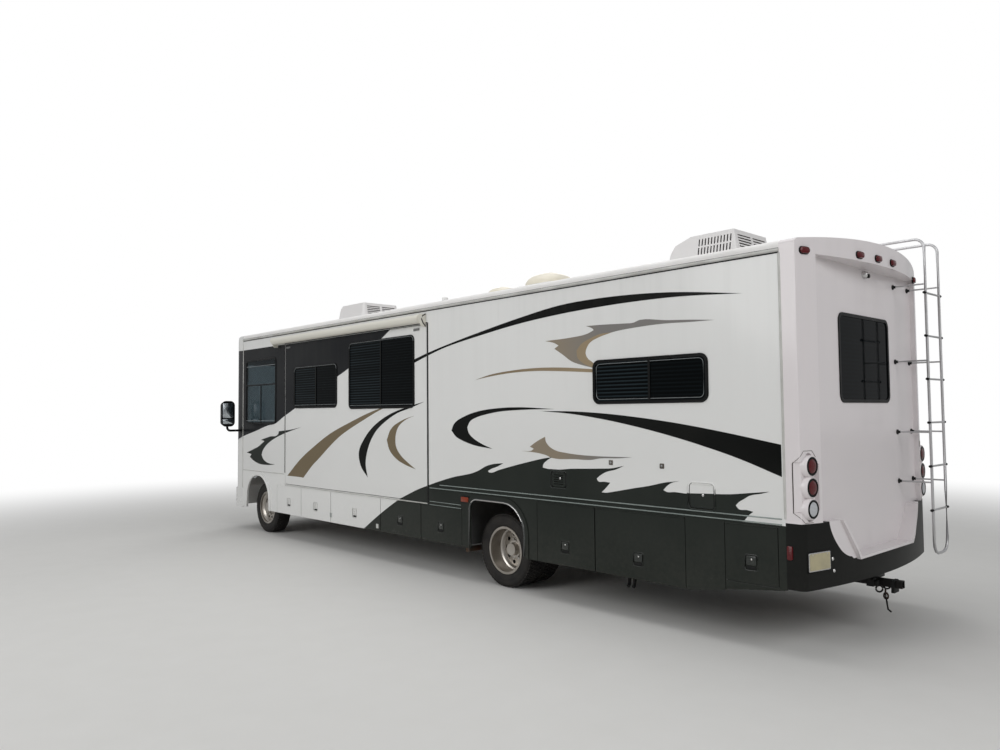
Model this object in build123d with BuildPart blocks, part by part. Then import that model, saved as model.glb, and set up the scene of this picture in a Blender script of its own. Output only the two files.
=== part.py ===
# Class A motorhome with one slide-out room, twin rear wheels and a rear ladder.
# Frame: +X forward, +Y to the driver's side, +Z up, origin on the ground under the middle.
# All sizes are in millimetres.
import os
from math import cos, radians, sin, sqrt

from build123d import *

os.makedirs("parts", exist_ok=True)

# Overall sizes and stations
FRONT_OVERHANG = 1120.0
WHEELBASE = 5860.0
REAR_OVERHANG = 3910.0
LENGTH = FRONT_OVERHANG + WHEELBASE + REAR_OVERHANG
WIDTH = 2565.0
HALF_LENGTH = LENGTH / 2
HALF_WIDTH = WIDTH / 2
FRONT_AXLE_X = HALF_LENGTH - FRONT_OVERHANG
REAR_AXLE_X = FRONT_AXLE_X - WHEELBASE
FRONT_CAP_L = 465.0
REAR_CAP_L = 465.0
FRONT_SEAM_X = HALF_LENGTH - FRONT_CAP_L
REAR_SEAM_X = -HALF_LENGTH + REAR_CAP_L

# Heights above the ground
SKIRT_BOTTOM_Z = 397.0
FLOOR_TOP_Z = 1040.0
FLOOR_T = 80.0
FLOOR_BOTTOM_Z = FLOOR_TOP_Z - FLOOR_T
WALL_H = 2230.0
ROOF_EDGE_H = 80.0
ROOF_RISE = 75.0
WALL_TOP_Z = FLOOR_TOP_Z + WALL_H
ROOF_EDGE_Z = WALL_TOP_Z + ROOF_EDGE_H
ROOF_CROWN_Z = ROOF_EDGE_Z + ROOF_RISE
WALL_T = 40.0
SKIRT_T = 20.0
WALL_IN_Y = HALF_WIDTH - WALL_T
SKIRT_IN_Y = HALF_WIDTH - SKIRT_T

# The roof arch is one circle through the crown and both edges, with a rounded shoulder
ROOF_R = (HALF_WIDTH**2 + ROOF_RISE**2) / (2 * ROOF_RISE)
ARCH_OVER = 60.0
ARCH_HALF = HALF_WIDTH + ARCH_OVER
ARCH_END_Z = ROOF_CROWN_Z - ROOF_R + sqrt(ROOF_R**2 - ARCH_HALF**2)
ROOF_SEAT_GAP = 0.3
SHOULDER = 45.0
SHOULDER_Y = HALF_WIDTH - SHOULDER
SHOULDER_Z = ROOF_CROWN_Z - ROOF_R + sqrt(ROOF_R**2 - SHOULDER_Y**2)
SHOULDER_LOW_Z = ROOF_EDGE_Z - SHOULDER
SHOULDER_MID = (HALF_WIDTH - 0.28 * SHOULDER, SHOULDER_LOW_Z + 0.72 * (SHOULDER_Z - SHOULDER_LOW_Z))

# Gaps round parts that move, and the barrel hinges that fill them
DOOR_GAP = 6.0
SLIDE_GAP = 8.0
HINGE_FIT = 0.3
HINGE_R = DOOR_GAP - HINGE_FIT

# Slide-out room
SLIDE_X0 = REAR_AXLE_X + 1252.0
SLIDE_X1 = FRONT_AXLE_X - 890.0
SLIDE_Z0 = FLOOR_TOP_Z - 177.0
SLIDE_Z1 = WALL_TOP_Z - 180.0
SLIDE_DEPTH = 780.0
SLIDE_SHEET = 30.0
SLIDE_FLANGE = 42.0

# Side windows: x0, x1, z0, z1
CAB_WINDOW = (FRONT_AXLE_X - 565.0, FRONT_AXLE_X + 535.0, 1825.0, WALL_TOP_Z - 370.0)
BED_WINDOW = (REAR_SEAM_X + 685.0, REAR_SEAM_X + 1980.0, 2050.0, WALL_TOP_Z - 800.0)
DINETTE_WINDOW = (FRONT_AXLE_X - 2460.0, FRONT_AXLE_X - 1190.0, 2070.0, WALL_TOP_Z - 565.0)
SOFA_WINDOW = (REAR_AXLE_X + 1520.0, REAR_AXLE_X + 3065.0, 2045.0, WALL_TOP_Z - 300.0)
LOUNGE_WINDOW = (REAR_AXLE_X + 1885.0, REAR_AXLE_X + 3430.0, 2045.0, WALL_TOP_Z - 565.0)
WINDOW_R = 70.0
FRAME_W = 42.0
FRAME_LIP = 9.0
GLASS_T = 6.0

# Entry door on the kerb side
ENTRY_W = 670.0
ENTRY_X1 = FRONT_AXLE_X - 815.0
ENTRY_X0 = ENTRY_X1 - ENTRY_W
ENTRY_Z0 = 460.0
ENTRY_Z1 = WALL_TOP_Z - 410.0
ENTRY_WINDOW = (380.0, 720.0, 2340.0)
ENTRY_HANDLE_Z = 1500.0

# Wheels and tyres
TYRE_R = 410.0
TYRE_W = 245.0
TYRE_OUT_Y = HALF_WIDTH - 127.5
TWIN_PITCH = 275.0
AXLE_Z = TYRE_R
SINGLE_Y = TYRE_OUT_Y - TYRE_W / 2
KINGPIN_Y = SINGLE_Y - 227.5
TWIN_OUT_Y = SINGLE_Y
TWIN_IN_Y = SINGLE_Y - TWIN_PITCH
TWIN_MID_Y = (TWIN_OUT_Y + TWIN_IN_Y) / 2

# Wheel arches: centre x, half length, top z, front corner radius, rear corner radius
FRONT_ARCH = (FRONT_AXLE_X + 60.0, 410.0, 960.0, 380.0, 380.0)
REAR_ARCH = (REAR_AXLE_X - 10.0, 455.0, 968.0, 130.0, 330.0)
FLARE_W = 58.0
FLARE_T = 12.0

# Chassis
RAIL_Y = 430.0
RAIL_W = 76.0
RAIL_H = 220.0
RAIL_BOTTOM_Z = FLOOR_BOTTOM_Z - RAIL_H

# Baggage doors in the skirts: name, x0, x1, top z, bottom z, latch z
FRONT_DOOR_TOP = FLOOR_TOP_Z - 202.0
REAR_DOOR_TOP = FLOOR_TOP_Z - 16.0
TAIL_DOOR_LOW = 540.0
LATCH_Z = 585.0
TAIL_LATCH_Z = 710.0
SEAM_1 = FRONT_AXLE_X - 620.0
SEAM_2 = FRONT_AXLE_X - 1410.0
SEAM_3 = FRONT_AXLE_X - 2290.0
SEAM_4 = FRONT_AXLE_X - 3570.0
SEAM_5 = REAR_AXLE_X + 1390.0
SEAM_6 = REAR_AXLE_X + 590.0
SEAM_7 = REAR_AXLE_X - 650.0
SEAM_8 = REAR_AXLE_X - 1450.0
SEAM_9 = REAR_SEAM_X + 945.0
LEFT_DOORS = [
    ("bay_door_l1", SEAM_2, SEAM_1, FRONT_DOOR_TOP, SKIRT_BOTTOM_Z, LATCH_Z),
    ("bay_door_l2", SEAM_3, SEAM_2, FRONT_DOOR_TOP, SKIRT_BOTTOM_Z, LATCH_Z),
    ("bay_door_l3", SEAM_4, SEAM_3, FRONT_DOOR_TOP, SKIRT_BOTTOM_Z, LATCH_Z),
    ("bay_door_l4", SEAM_5, SEAM_4, FRONT_DOOR_TOP, SKIRT_BOTTOM_Z, LATCH_Z),
    ("bay_door_l5", SEAM_6, SEAM_5, FRONT_DOOR_TOP, SKIRT_BOTTOM_Z, LATCH_Z),
    ("bay_door_l6", SEAM_8, SEAM_7, REAR_DOOR_TOP, SKIRT_BOTTOM_Z, LATCH_Z),
    ("bay_door_l7", SEAM_9, SEAM_8, REAR_DOOR_TOP, SKIRT_BOTTOM_Z, LATCH_Z),
    ("bay_door_l8", REAR_SEAM_X + 65.0, REAR_SEAM_X + 555.0, REAR_DOOR_TOP, TAIL_DOOR_LOW, TAIL_LATCH_Z),
]
RIGHT_X0 = REAR_AXLE_X + 635.0
RIGHT_X1 = FRONT_AXLE_X - 1625.0
RIGHT_STEP = (RIGHT_X1 - RIGHT_X0) / 3
RIGHT_SEAM_4 = REAR_AXLE_X - 1675.0
RIGHT_DOORS = [
    ("bay_door_r1", RIGHT_X1 - RIGHT_STEP, RIGHT_X1, REAR_DOOR_TOP, SKIRT_BOTTOM_Z, LATCH_Z),
    ("bay_door_r2", RIGHT_X0 + RIGHT_STEP, RIGHT_X1 - RIGHT_STEP, REAR_DOOR_TOP, SKIRT_BOTTOM_Z, LATCH_Z),
    ("bay_door_r3", RIGHT_X0, RIGHT_X0 + RIGHT_STEP, REAR_DOOR_TOP, SKIRT_BOTTOM_Z, LATCH_Z),
    ("bay_door_r4", RIGHT_SEAM_4, SEAM_7, REAR_DOOR_TOP, SKIRT_BOTTOM_Z, LATCH_Z),
]
LATCH_W = 115.0
LATCH_H = 130.0
LATCH_DEPTH = 8.0
LATCH_R = 14.0

# Service hatches in the driver's wall: name, x0, x1, z0, z1
HATCHES = [
    ("water_hatch", REAR_AXLE_X - 1070.0, REAR_AXLE_X - 870.0, 1190.0, 1352.0),
    ("power_hatch", REAR_SEAM_X + 645.0, REAR_SEAM_X + 895.0, 1112.0, 1332.0),
]


def save(part, name):
    part.label = name
    export_step(part, "parts/" + name + ".step")


# Floor slab, open at the entry step well and over the engine
STEP_WELL_X0 = ENTRY_X0 - 20.0
STEP_WELL_X1 = ENTRY_X1 + 20.0
STEP_WELL_Y = -(HALF_WIDTH - 562.5)
STEP_MID_Y = -(HALF_WIDTH - 307.5)
STEP_OUT_Y = -(HALF_WIDTH - 47.5)
STEP_TOP_Z = 775.0
STEP_LOW_Z = 515.0
STEP_T = 30.0
STEP_SIDE_T = 15.0
ENGINE_X0 = FRONT_AXLE_X - 425.0
ENGINE_X1 = FRONT_AXLE_X + 435.0
ENGINE_HALF_W = 290.0
ENGINE_Z0 = 560.0
ENGINE_Z1 = 1230.0
MOUNT_L = 120.0
MOUNT_H = 60.0
COVER_X0 = ENGINE_X0 - 60.0
COVER_X1 = ENGINE_X1 + 60.0
COVER_HALF_W = ENGINE_HALF_W + 60.0
with BuildPart() as floor:
    with BuildSketch(Plane.XY.offset(FLOOR_BOTTOM_Z)):
        with Locations(((FRONT_SEAM_X + REAR_SEAM_X) / 2, 0)):
            Rectangle(FRONT_SEAM_X - REAR_SEAM_X, 2 * SKIRT_IN_Y)
        with Locations(((SLIDE_X0 + SLIDE_X1) / 2, HALF_WIDTH)):
            Rectangle(SLIDE_X1 - SLIDE_X0, 2 * (WALL_T + SLIDE_GAP), mode=Mode.SUBTRACT)
        with Locations(((STEP_WELL_X0 + STEP_WELL_X1) / 2, (STEP_WELL_Y - HALF_WIDTH) / 2)):
            Rectangle(STEP_WELL_X1 - STEP_WELL_X0, STEP_WELL_Y + HALF_WIDTH, mode=Mode.SUBTRACT)
        with Locations(((COVER_X0 + COVER_X1) / 2, 0)):
            Rectangle(COVER_X1 - COVER_X0, 2 * COVER_HALF_W, mode=Mode.SUBTRACT)
    extrude(amount=FLOOR_T)
    with BuildSketch(Plane.YZ.offset(STEP_WELL_X0)):
        with BuildLine():
            Polyline(
                (STEP_WELL_Y, FLOOR_BOTTOM_Z),
                (STEP_WELL_Y, STEP_TOP_Z),
                (STEP_MID_Y, STEP_TOP_Z),
                (STEP_MID_Y, STEP_LOW_Z),
                (STEP_OUT_Y, STEP_LOW_Z),
                (STEP_OUT_Y, STEP_LOW_Z - STEP_T),
                (STEP_MID_Y + STEP_T, STEP_LOW_Z - STEP_T),
                (STEP_MID_Y + STEP_T, STEP_TOP_Z - STEP_T),
                (STEP_WELL_Y + STEP_T, STEP_TOP_Z - STEP_T),
                (STEP_WELL_Y + STEP_T, FLOOR_BOTTOM_Z),
                close=True,
            )
        make_face()
    extrude(amount=STEP_WELL_X1 - STEP_WELL_X0)
    for x0 in (STEP_WELL_X0 - STEP_SIDE_T, STEP_WELL_X1):
        with BuildSketch(Plane.YZ.offset(x0)):
            with BuildLine():
                Polyline(
                    (STEP_OUT_Y, FLOOR_BOTTOM_Z),
                    (STEP_WELL_Y + STEP_T, FLOOR_BOTTOM_Z),
                    (STEP_WELL_Y + STEP_T, STEP_TOP_Z - STEP_T),
                    (STEP_MID_Y + STEP_T, STEP_LOW_Z - STEP_T),
                    (STEP_OUT_Y, STEP_LOW_Z - STEP_T),
                    close=True,
                )
            make_face()
        extrude(amount=STEP_SIDE_T)
save(floor.part, "floor")

# Driver's side wall with the slide-out opening, windows and hatches
with BuildPart() as left_wall:
    with BuildSketch(Plane.XZ.offset(-HALF_WIDTH)):
        with Locations(((FRONT_SEAM_X + REAR_SEAM_X) / 2, (FLOOR_TOP_Z + WALL_TOP_Z) / 2)):
            Rectangle(FRONT_SEAM_X - REAR_SEAM_X, WALL_TOP_Z - FLOOR_TOP_Z)
        with Locations(((SLIDE_X0 + SLIDE_X1) / 2, (SLIDE_Z0 + SLIDE_Z1) / 2)):
            Rectangle(SLIDE_X1 - SLIDE_X0, SLIDE_Z1 - SLIDE_Z0, mode=Mode.SUBTRACT)
        for x0, x1, z0, z1 in (CAB_WINDOW, BED_WINDOW):
            with Locations(((x0 + x1) / 2, (z0 + z1) / 2)):
                RectangleRounded(x1 - x0, z1 - z0, WINDOW_R, mode=Mode.SUBTRACT)
        for name, x0, x1, z0, z1 in HATCHES:
            with Locations(((x0 + x1) / 2, (z0 + z1) / 2)):
                Rectangle(x1 - x0, z1 - z0, mode=Mode.SUBTRACT)
    extrude(amount=WALL_T)
save(left_wall.part, "left_wall")

# Kerb side wall with the entry doorway and windows
with BuildPart() as right_wall:
    with BuildSketch(Plane.XZ.offset(WALL_IN_Y)):
        with Locations(((FRONT_SEAM_X + REAR_SEAM_X) / 2, (FLOOR_TOP_Z + WALL_TOP_Z) / 2)):
            Rectangle(FRONT_SEAM_X - REAR_SEAM_X, WALL_TOP_Z - FLOOR_TOP_Z)
        with Locations(((ENTRY_X0 + ENTRY_X1) / 2, (ENTRY_Z0 + ENTRY_Z1) / 2)):
            Rectangle(ENTRY_X1 - ENTRY_X0, ENTRY_Z1 - ENTRY_Z0, mode=Mode.SUBTRACT)
        for x0, x1, z0, z1 in (CAB_WINDOW, BED_WINDOW, LOUNGE_WINDOW):
            with Locations(((x0 + x1) / 2, (z0 + z1) / 2)):
                RectangleRounded(x1 - x0, z1 - z0, WINDOW_R, mode=Mode.SUBTRACT)
    extrude(amount=WALL_T)
save(right_wall.part, "right_wall")

# Roof: a shallow arch that laps the walls
with BuildPart() as roof:
    with BuildSketch(Plane.YZ.offset(REAR_SEAM_X)):
        with BuildLine():
            Polyline(
                (-HALF_WIDTH, SHOULDER_LOW_Z),
                (-HALF_WIDTH, WALL_TOP_Z),
                (HALF_WIDTH, WALL_TOP_Z),
                (HALF_WIDTH, SHOULDER_LOW_Z),
            )
            ThreePointArc((HALF_WIDTH, SHOULDER_LOW_Z), SHOULDER_MID, (SHOULDER_Y, SHOULDER_Z))
            ThreePointArc((SHOULDER_Y, SHOULDER_Z), (0, ROOF_CROWN_Z), (-SHOULDER_Y, SHOULDER_Z))
            ThreePointArc(
                (-SHOULDER_Y, SHOULDER_Z), (-SHOULDER_MID[0], SHOULDER_MID[1]), (-HALF_WIDTH, SHOULDER_LOW_Z)
            )
        make_face()
    extrude(amount=FRONT_SEAM_X - REAR_SEAM_X)
save(roof.part, "roof")

# Front cap: plan outline, side profile and roof section meet in one moulded shell
CAP_T = 30.0
FRONT_CORNER_R = 220.0
FRONT_CORNER_X = HALF_LENGTH - 115.0
FRONT_NOSE_X = HALF_LENGTH - 50.0
BUMPER_NOSE_X = HALF_LENGTH
BUMPER_CORNER_X = HALF_LENGTH - 60.0
FRONT_CAP_Z0 = 700.0
NOSE_KNEE_Z = 1400.0
BROW_KNEE_Z = WALL_TOP_Z - 320.0
BROW_TOP_Z = WALL_TOP_Z - 40.0
with BuildPart() as front_cap_core:
    with BuildSketch(Plane.XY.offset(FRONT_CAP_Z0 - 10)):
        with BuildLine():
            Polyline(
                (FRONT_CORNER_X - CAP_T, -HALF_WIDTH + CAP_T),
                (FRONT_SEAM_X - 10, -HALF_WIDTH + CAP_T),
                (FRONT_SEAM_X - 10, HALF_WIDTH - CAP_T),
                (FRONT_CORNER_X - CAP_T, HALF_WIDTH - CAP_T),
            )
            ThreePointArc(
                (FRONT_CORNER_X - CAP_T, HALF_WIDTH - CAP_T),
                (FRONT_NOSE_X - CAP_T, 0),
                (FRONT_CORNER_X - CAP_T, -HALF_WIDTH + CAP_T),
            )
        make_face()
    extrude(amount=ROOF_CROWN_Z)
    fillet(front_cap_core.edges().filter_by(Axis.Z).group_by(Axis.X)[-1], FRONT_CORNER_R - CAP_T)
    with BuildSketch(Plane.XZ.offset(-HALF_WIDTH)):
        with BuildLine():
            Polyline(
                (FRONT_SEAM_X - 10, FRONT_CAP_Z0 - 10),
                (FRONT_NOSE_X, FRONT_CAP_Z0 - 10),
                (FRONT_NOSE_X - CAP_T, NOSE_KNEE_Z),
                (FRONT_NOSE_X - CAP_T - 85.0, BROW_KNEE_Z),
                (FRONT_NOSE_X - CAP_T - 200.0, ROOF_EDGE_Z - CAP_T),
                (FRONT_SEAM_X - 10, ROOF_EDGE_Z - CAP_T),
                close=True,
            )
        make_face()
    extrude(amount=WIDTH, mode=Mode.INTERSECT)

with BuildPart() as front_cap_outer:
    with BuildSketch(Plane.XY.offset(FRONT_CAP_Z0)):
        with BuildLine():
            Polyline(
                (FRONT_CORNER_X, -HALF_WIDTH),
                (FRONT_SEAM_X, -HALF_WIDTH),
                (FRONT_SEAM_X, HALF_WIDTH),
                (FRONT_CORNER_X, HALF_WIDTH),
            )
            ThreePointArc((FRONT_CORNER_X, HALF_WIDTH), (FRONT_NOSE_X, 0), (FRONT_CORNER_X, -HALF_WIDTH))
        make_face()
    extrude(amount=ROOF_CROWN_Z)
    fillet(front_cap_outer.edges().filter_by(Axis.Z).group_by(Axis.X)[-1], FRONT_CORNER_R)
    with BuildSketch(Plane.XZ.offset(-HALF_WIDTH)):
        with BuildLine():
            Polyline(
                (FRONT_SEAM_X, FRONT_CAP_Z0),
                (FRONT_NOSE_X, FRONT_CAP_Z0),
                (FRONT_NOSE_X, NOSE_KNEE_Z),
                (FRONT_NOSE_X - 85.0, BROW_KNEE_Z),
                (FRONT_NOSE_X - 160.0, BROW_TOP_Z),
                (FRONT_NOSE_X - 290.0, ROOF_CROWN_Z - 25),
                (FRONT_SEAM_X, ROOF_CROWN_Z + 20),
                close=True,
            )
        make_face()
    extrude(amount=WIDTH, mode=Mode.INTERSECT)
    with BuildSketch(Plane.YZ.offset(FRONT_SEAM_X)):
        with BuildLine():
            Polyline(
                (-HALF_WIDTH, SHOULDER_LOW_Z),
                (-ARCH_HALF, SHOULDER_LOW_Z),
                (-ARCH_HALF, FRONT_CAP_Z0 - 10),
                (ARCH_HALF, FRONT_CAP_Z0 - 10),
                (ARCH_HALF, SHOULDER_LOW_Z),
                (HALF_WIDTH, SHOULDER_LOW_Z),
            )
            ThreePointArc((HALF_WIDTH, SHOULDER_LOW_Z), SHOULDER_MID, (SHOULDER_Y, SHOULDER_Z))
            ThreePointArc((SHOULDER_Y, SHOULDER_Z), (0, ROOF_CROWN_Z), (-SHOULDER_Y, SHOULDER_Z))
            ThreePointArc(
                (-SHOULDER_Y, SHOULDER_Z), (-SHOULDER_MID[0], SHOULDER_MID[1]), (-HALF_WIDTH, SHOULDER_LOW_Z)
            )
        make_face()
    extrude(amount=HALF_LENGTH, mode=Mode.INTERSECT)
    add(front_cap_core.part, mode=Mode.SUBTRACT)

WINDSHIELD_W = WIDTH - 285.0
WINDSHIELD_Z0 = 1470.0
WINDSHIELD_Z1 = WALL_TOP_Z - 410.0
HEADLAMP_Y = HALF_WIDTH - 297.5
HEADLAMP_W = 300.0
HEADLAMP_Z = 905.0
HEADLAMP_H = 150.0
GRILLE_W = 980.0
GRILLE_H = 260.0
GRILLE_Z = 930.0
POST_W = 40.0
with BuildPart() as front_cap:
    add(front_cap_outer.part)
    with BuildSketch(Plane.YZ.offset(FRONT_SEAM_X + 120)):
        with Locations((0, (WINDSHIELD_Z0 + WINDSHIELD_Z1) / 2)):
            RectangleRounded(WINDSHIELD_W, WINDSHIELD_Z1 - WINDSHIELD_Z0, 120)
            Rectangle(POST_W, WINDSHIELD_Z1 - WINDSHIELD_Z0, mode=Mode.SUBTRACT)
        with Locations((0, GRILLE_Z)):
            RectangleRounded(GRILLE_W, GRILLE_H, 60)
        with Locations((-HEADLAMP_Y, HEADLAMP_Z), (HEADLAMP_Y, HEADLAMP_Z)):
            RectangleRounded(HEADLAMP_W, HEADLAMP_H, 50)
    extrude(amount=HALF_LENGTH, mode=Mode.SUBTRACT)
save(front_cap.part, "front_cap")

# Two-pane windshield in the cap's opening
with BuildPart() as windshield:
    add(front_cap_outer.part)
    with BuildSketch(Plane.YZ.offset(FRONT_SEAM_X + 120)):
        with Locations((0, (WINDSHIELD_Z0 + WINDSHIELD_Z1) / 2)):
            RectangleRounded(WINDSHIELD_W, WINDSHIELD_Z1 - WINDSHIELD_Z0, 120)
        with Locations((0, (WINDSHIELD_Z0 + WINDSHIELD_Z1) / 2)):
            Rectangle(POST_W, WINDSHIELD_Z1 - WINDSHIELD_Z0, mode=Mode.SUBTRACT)
    extrude(amount=HALF_LENGTH, mode=Mode.INTERSECT)
save(windshield.part, "windshield")

# Grille: a frame with level slats
SLAT_COUNT = 6
SLAT_H = 12.0
with BuildPart() as front_grille:
    add(front_cap_outer.part)
    with BuildSketch(Plane.YZ.offset(FRONT_SEAM_X + 120)):
        with Locations((0, GRILLE_Z)):
            RectangleRounded(GRILLE_W, GRILLE_H, 60)
            RectangleRounded(GRILLE_W - 50, GRILLE_H - 50, 40, mode=Mode.SUBTRACT)
            with GridLocations(0, (GRILLE_H - 50) / SLAT_COUNT, 1, SLAT_COUNT - 1):
                Rectangle(GRILLE_W - 20, SLAT_H)
    extrude(amount=HALF_LENGTH, mode=Mode.INTERSECT)
save(front_grille.part, "front_grille")

# Front bumper under the cap
BUMPER_Z0 = 380.0
with BuildPart() as front_bumper:
    with BuildSketch(Plane.XY.offset(BUMPER_Z0)):
        with BuildLine():
            Polyline(
                (BUMPER_CORNER_X, -HALF_WIDTH),
                (FRONT_SEAM_X, -HALF_WIDTH),
                (FRONT_SEAM_X, HALF_WIDTH),
                (BUMPER_CORNER_X, HALF_WIDTH),
            )
            ThreePointArc((BUMPER_CORNER_X, HALF_WIDTH), (BUMPER_NOSE_X, 0), (BUMPER_CORNER_X, -HALF_WIDTH))
        make_face()
    extrude(amount=FRONT_CAP_Z0 - BUMPER_Z0)
    fillet(front_bumper.edges().filter_by(Axis.Z).group_by(Axis.X)[-1], FRONT_CORNER_R)
    inner = front_bumper.faces().sort_by(Axis.X)[0]
    top = front_bumper.faces().sort_by(Axis.Z)[-1]
    bottom = front_bumper.faces().sort_by(Axis.Z)[0]
    offset(amount=-CAP_T, openings=[inner, top, bottom], mode=Mode.REPLACE)
save(front_bumper.part, "front_bumper")

# Rear cap: rounded corners, a sunk panel with the window, a brow over it and a ledge below
REAR_FACE_X = -HALF_LENGTH + 250.0
REAR_PANEL_X = REAR_FACE_X + 57.0
REAR_CORNER_R = 100.0
REAR_CAP_T = 24.0
BROW_CORNER_X = -HALF_LENGTH + 330.0
BROW_X = -HALF_LENGTH + 120.0
BROW_Z0 = WALL_TOP_Z - 35.0
PANEL_HALF_W = HALF_WIDTH - 222.5
LEDGE_Z = 745.0
DARK_TOP_Z = 1065.0
LOWER_CORNER_X = -HALF_LENGTH + 320.0
LOWER_X = -HALF_LENGTH + 170.0
LOWER_Z0 = 540.0
SCOOP_TOP_HALF_W = PANEL_HALF_W - 260.0
SCOOP_LOW_HALF_W = SCOOP_TOP_HALF_W - 240.0
SCOOP_LINING = 22.0
REAR_WINDOW = (-475.0, 575.0, 2035.0, WALL_TOP_Z - 470.0)
LAMP_POCKET_X = -HALF_LENGTH + 390.0
LAMP_POCKET_Y = HALF_WIDTH - 192.5
LAMP_POCKET_OUT_Y = HALF_WIDTH + 18.0
LAMP_POCKET_CUT = 92.0
LAMP_POCKET_Z0 = 1080.0
LAMP_POCKET_Z1 = 1625.0
LAMP_Y = HALF_WIDTH - 112.5
LAMP_ZS = (1520.0, 1350.0, 1180.0)
HOUSING_TUBE_R = 76.0
LENS_R = 52.0
LENS_X = -HALF_LENGTH + 287.0
LENS_DEPTH = 20.0
LENS_PROUD = 6.0
with BuildPart() as rear_cap:
    with BuildSketch(Plane.XY.offset(DARK_TOP_Z)):
        with Locations(((REAR_SEAM_X + REAR_FACE_X) / 2, 0)):
            Rectangle(REAR_SEAM_X - REAR_FACE_X, WIDTH)
    extrude(amount=ROOF_CROWN_Z - DARK_TOP_Z)
    fillet(rear_cap.edges().filter_by(Axis.Z).group_by(Axis.X)[0], REAR_CORNER_R)
    with BuildSketch(Plane.YZ.offset(REAR_FACE_X)):
        with Locations((0, (LEDGE_Z + BROW_Z0) / 2)):
            Rectangle(2 * PANEL_HALF_W, BROW_Z0 - LEDGE_Z)
    extrude(amount=REAR_PANEL_X - REAR_FACE_X, mode=Mode.SUBTRACT)
    with BuildSketch(Plane.XY.offset(BROW_Z0)):
        with BuildLine():
            Polyline(
                (BROW_CORNER_X, -HALF_WIDTH),
                (REAR_SEAM_X - 20, -HALF_WIDTH),
                (REAR_SEAM_X - 20, HALF_WIDTH),
                (BROW_CORNER_X, HALF_WIDTH),
            )
            ThreePointArc((BROW_CORNER_X, HALF_WIDTH), (BROW_X, 0), (BROW_CORNER_X, -HALF_WIDTH))
        make_face()
    extrude(amount=ROOF_CROWN_Z - BROW_Z0)
    with BuildSketch(Plane.YZ.offset(REAR_PANEL_X)):
        with BuildLine():
            Polyline(
                (-SCOOP_TOP_HALF_W - SCOOP_LINING, DARK_TOP_Z),
                (-SCOOP_LOW_HALF_W - SCOOP_LINING, LEDGE_Z - SCOOP_LINING),
                (SCOOP_LOW_HALF_W + SCOOP_LINING, LEDGE_Z - SCOOP_LINING),
                (SCOOP_TOP_HALF_W + SCOOP_LINING, DARK_TOP_Z),
                close=True,
            )
        make_face()
    extrude(amount=REAR_CAP_T)
    with BuildSketch(Plane.YZ.offset(REAR_PANEL_X)):
        with BuildLine():
            Polyline(
                (-SCOOP_TOP_HALF_W - SCOOP_LINING, DARK_TOP_Z),
                (-SCOOP_LOW_HALF_W - SCOOP_LINING, LEDGE_Z - SCOOP_LINING),
                (SCOOP_LOW_HALF_W + SCOOP_LINING, LEDGE_Z - SCOOP_LINING),
                (SCOOP_TOP_HALF_W + SCOOP_LINING, DARK_TOP_Z),
                close=True,
            )
        make_face()
    extrude(amount=LOWER_X - REAR_PANEL_X)
    with BuildSketch(Plane.YZ.offset(REAR_PANEL_X)):
        with BuildLine():
            Polyline(
                (-SCOOP_TOP_HALF_W, DARK_TOP_Z + 10),
                (-SCOOP_TOP_HALF_W, DARK_TOP_Z),
                (-SCOOP_LOW_HALF_W, LEDGE_Z),
                (SCOOP_LOW_HALF_W, LEDGE_Z),
                (SCOOP_TOP_HALF_W, DARK_TOP_Z),
                (SCOOP_TOP_HALF_W, DARK_TOP_Z + 10),
                close=True,
            )
        make_face()
    extrude(amount=LOWER_X - REAR_PANEL_X, mode=Mode.SUBTRACT)
    with BuildSketch(Plane.XY.offset(LEDGE_Z - SCOOP_LINING)):
        with BuildLine():
            Polyline(
                (BROW_CORNER_X, -HALF_WIDTH),
                (REAR_SEAM_X, -HALF_WIDTH),
                (REAR_SEAM_X, HALF_WIDTH),
                (BROW_CORNER_X, HALF_WIDTH),
            )
            ThreePointArc((BROW_CORNER_X, HALF_WIDTH), (BROW_X, 0), (BROW_CORNER_X, -HALF_WIDTH))
        make_face()
    extrude(amount=ROOF_CROWN_Z, mode=Mode.INTERSECT)
    with BuildSketch(Plane.YZ.offset(REAR_SEAM_X)):
        with BuildLine():
            Polyline(
                (-HALF_WIDTH, SHOULDER_LOW_Z),
                (-ARCH_HALF, SHOULDER_LOW_Z),
                (-ARCH_HALF, LEDGE_Z - 2 * SCOOP_LINING),
                (ARCH_HALF, LEDGE_Z - 2 * SCOOP_LINING),
                (ARCH_HALF, SHOULDER_LOW_Z),
                (HALF_WIDTH, SHOULDER_LOW_Z),
            )
            ThreePointArc((HALF_WIDTH, SHOULDER_LOW_Z), SHOULDER_MID, (SHOULDER_Y, SHOULDER_Z))
            ThreePointArc((SHOULDER_Y, SHOULDER_Z), (0, ROOF_CROWN_Z), (-SHOULDER_Y, SHOULDER_Z))
            ThreePointArc(
                (-SHOULDER_Y, SHOULDER_Z), (-SHOULDER_MID[0], SHOULDER_MID[1]), (-HALF_WIDTH, SHOULDER_LOW_Z)
            )
        make_face()
    extrude(amount=-HALF_LENGTH, mode=Mode.INTERSECT)
    with BuildSketch(Plane.YZ.offset(REAR_SEAM_X)):
        with Locations((0, (LEDGE_Z - SCOOP_LINING + WALL_TOP_Z) / 2)):
            Rectangle(2 * (HALF_WIDTH - WALL_T), WALL_TOP_Z - LEDGE_Z + SCOOP_LINING)
    extrude(amount=REAR_PANEL_X + REAR_CAP_T - REAR_SEAM_X, mode=Mode.SUBTRACT)
    with BuildSketch(Plane.YZ.offset(REAR_PANEL_X - 20)):
        with Locations(((REAR_WINDOW[0] + REAR_WINDOW[1]) / 2, (REAR_WINDOW[2] + REAR_WINDOW[3]) / 2)):
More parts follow.
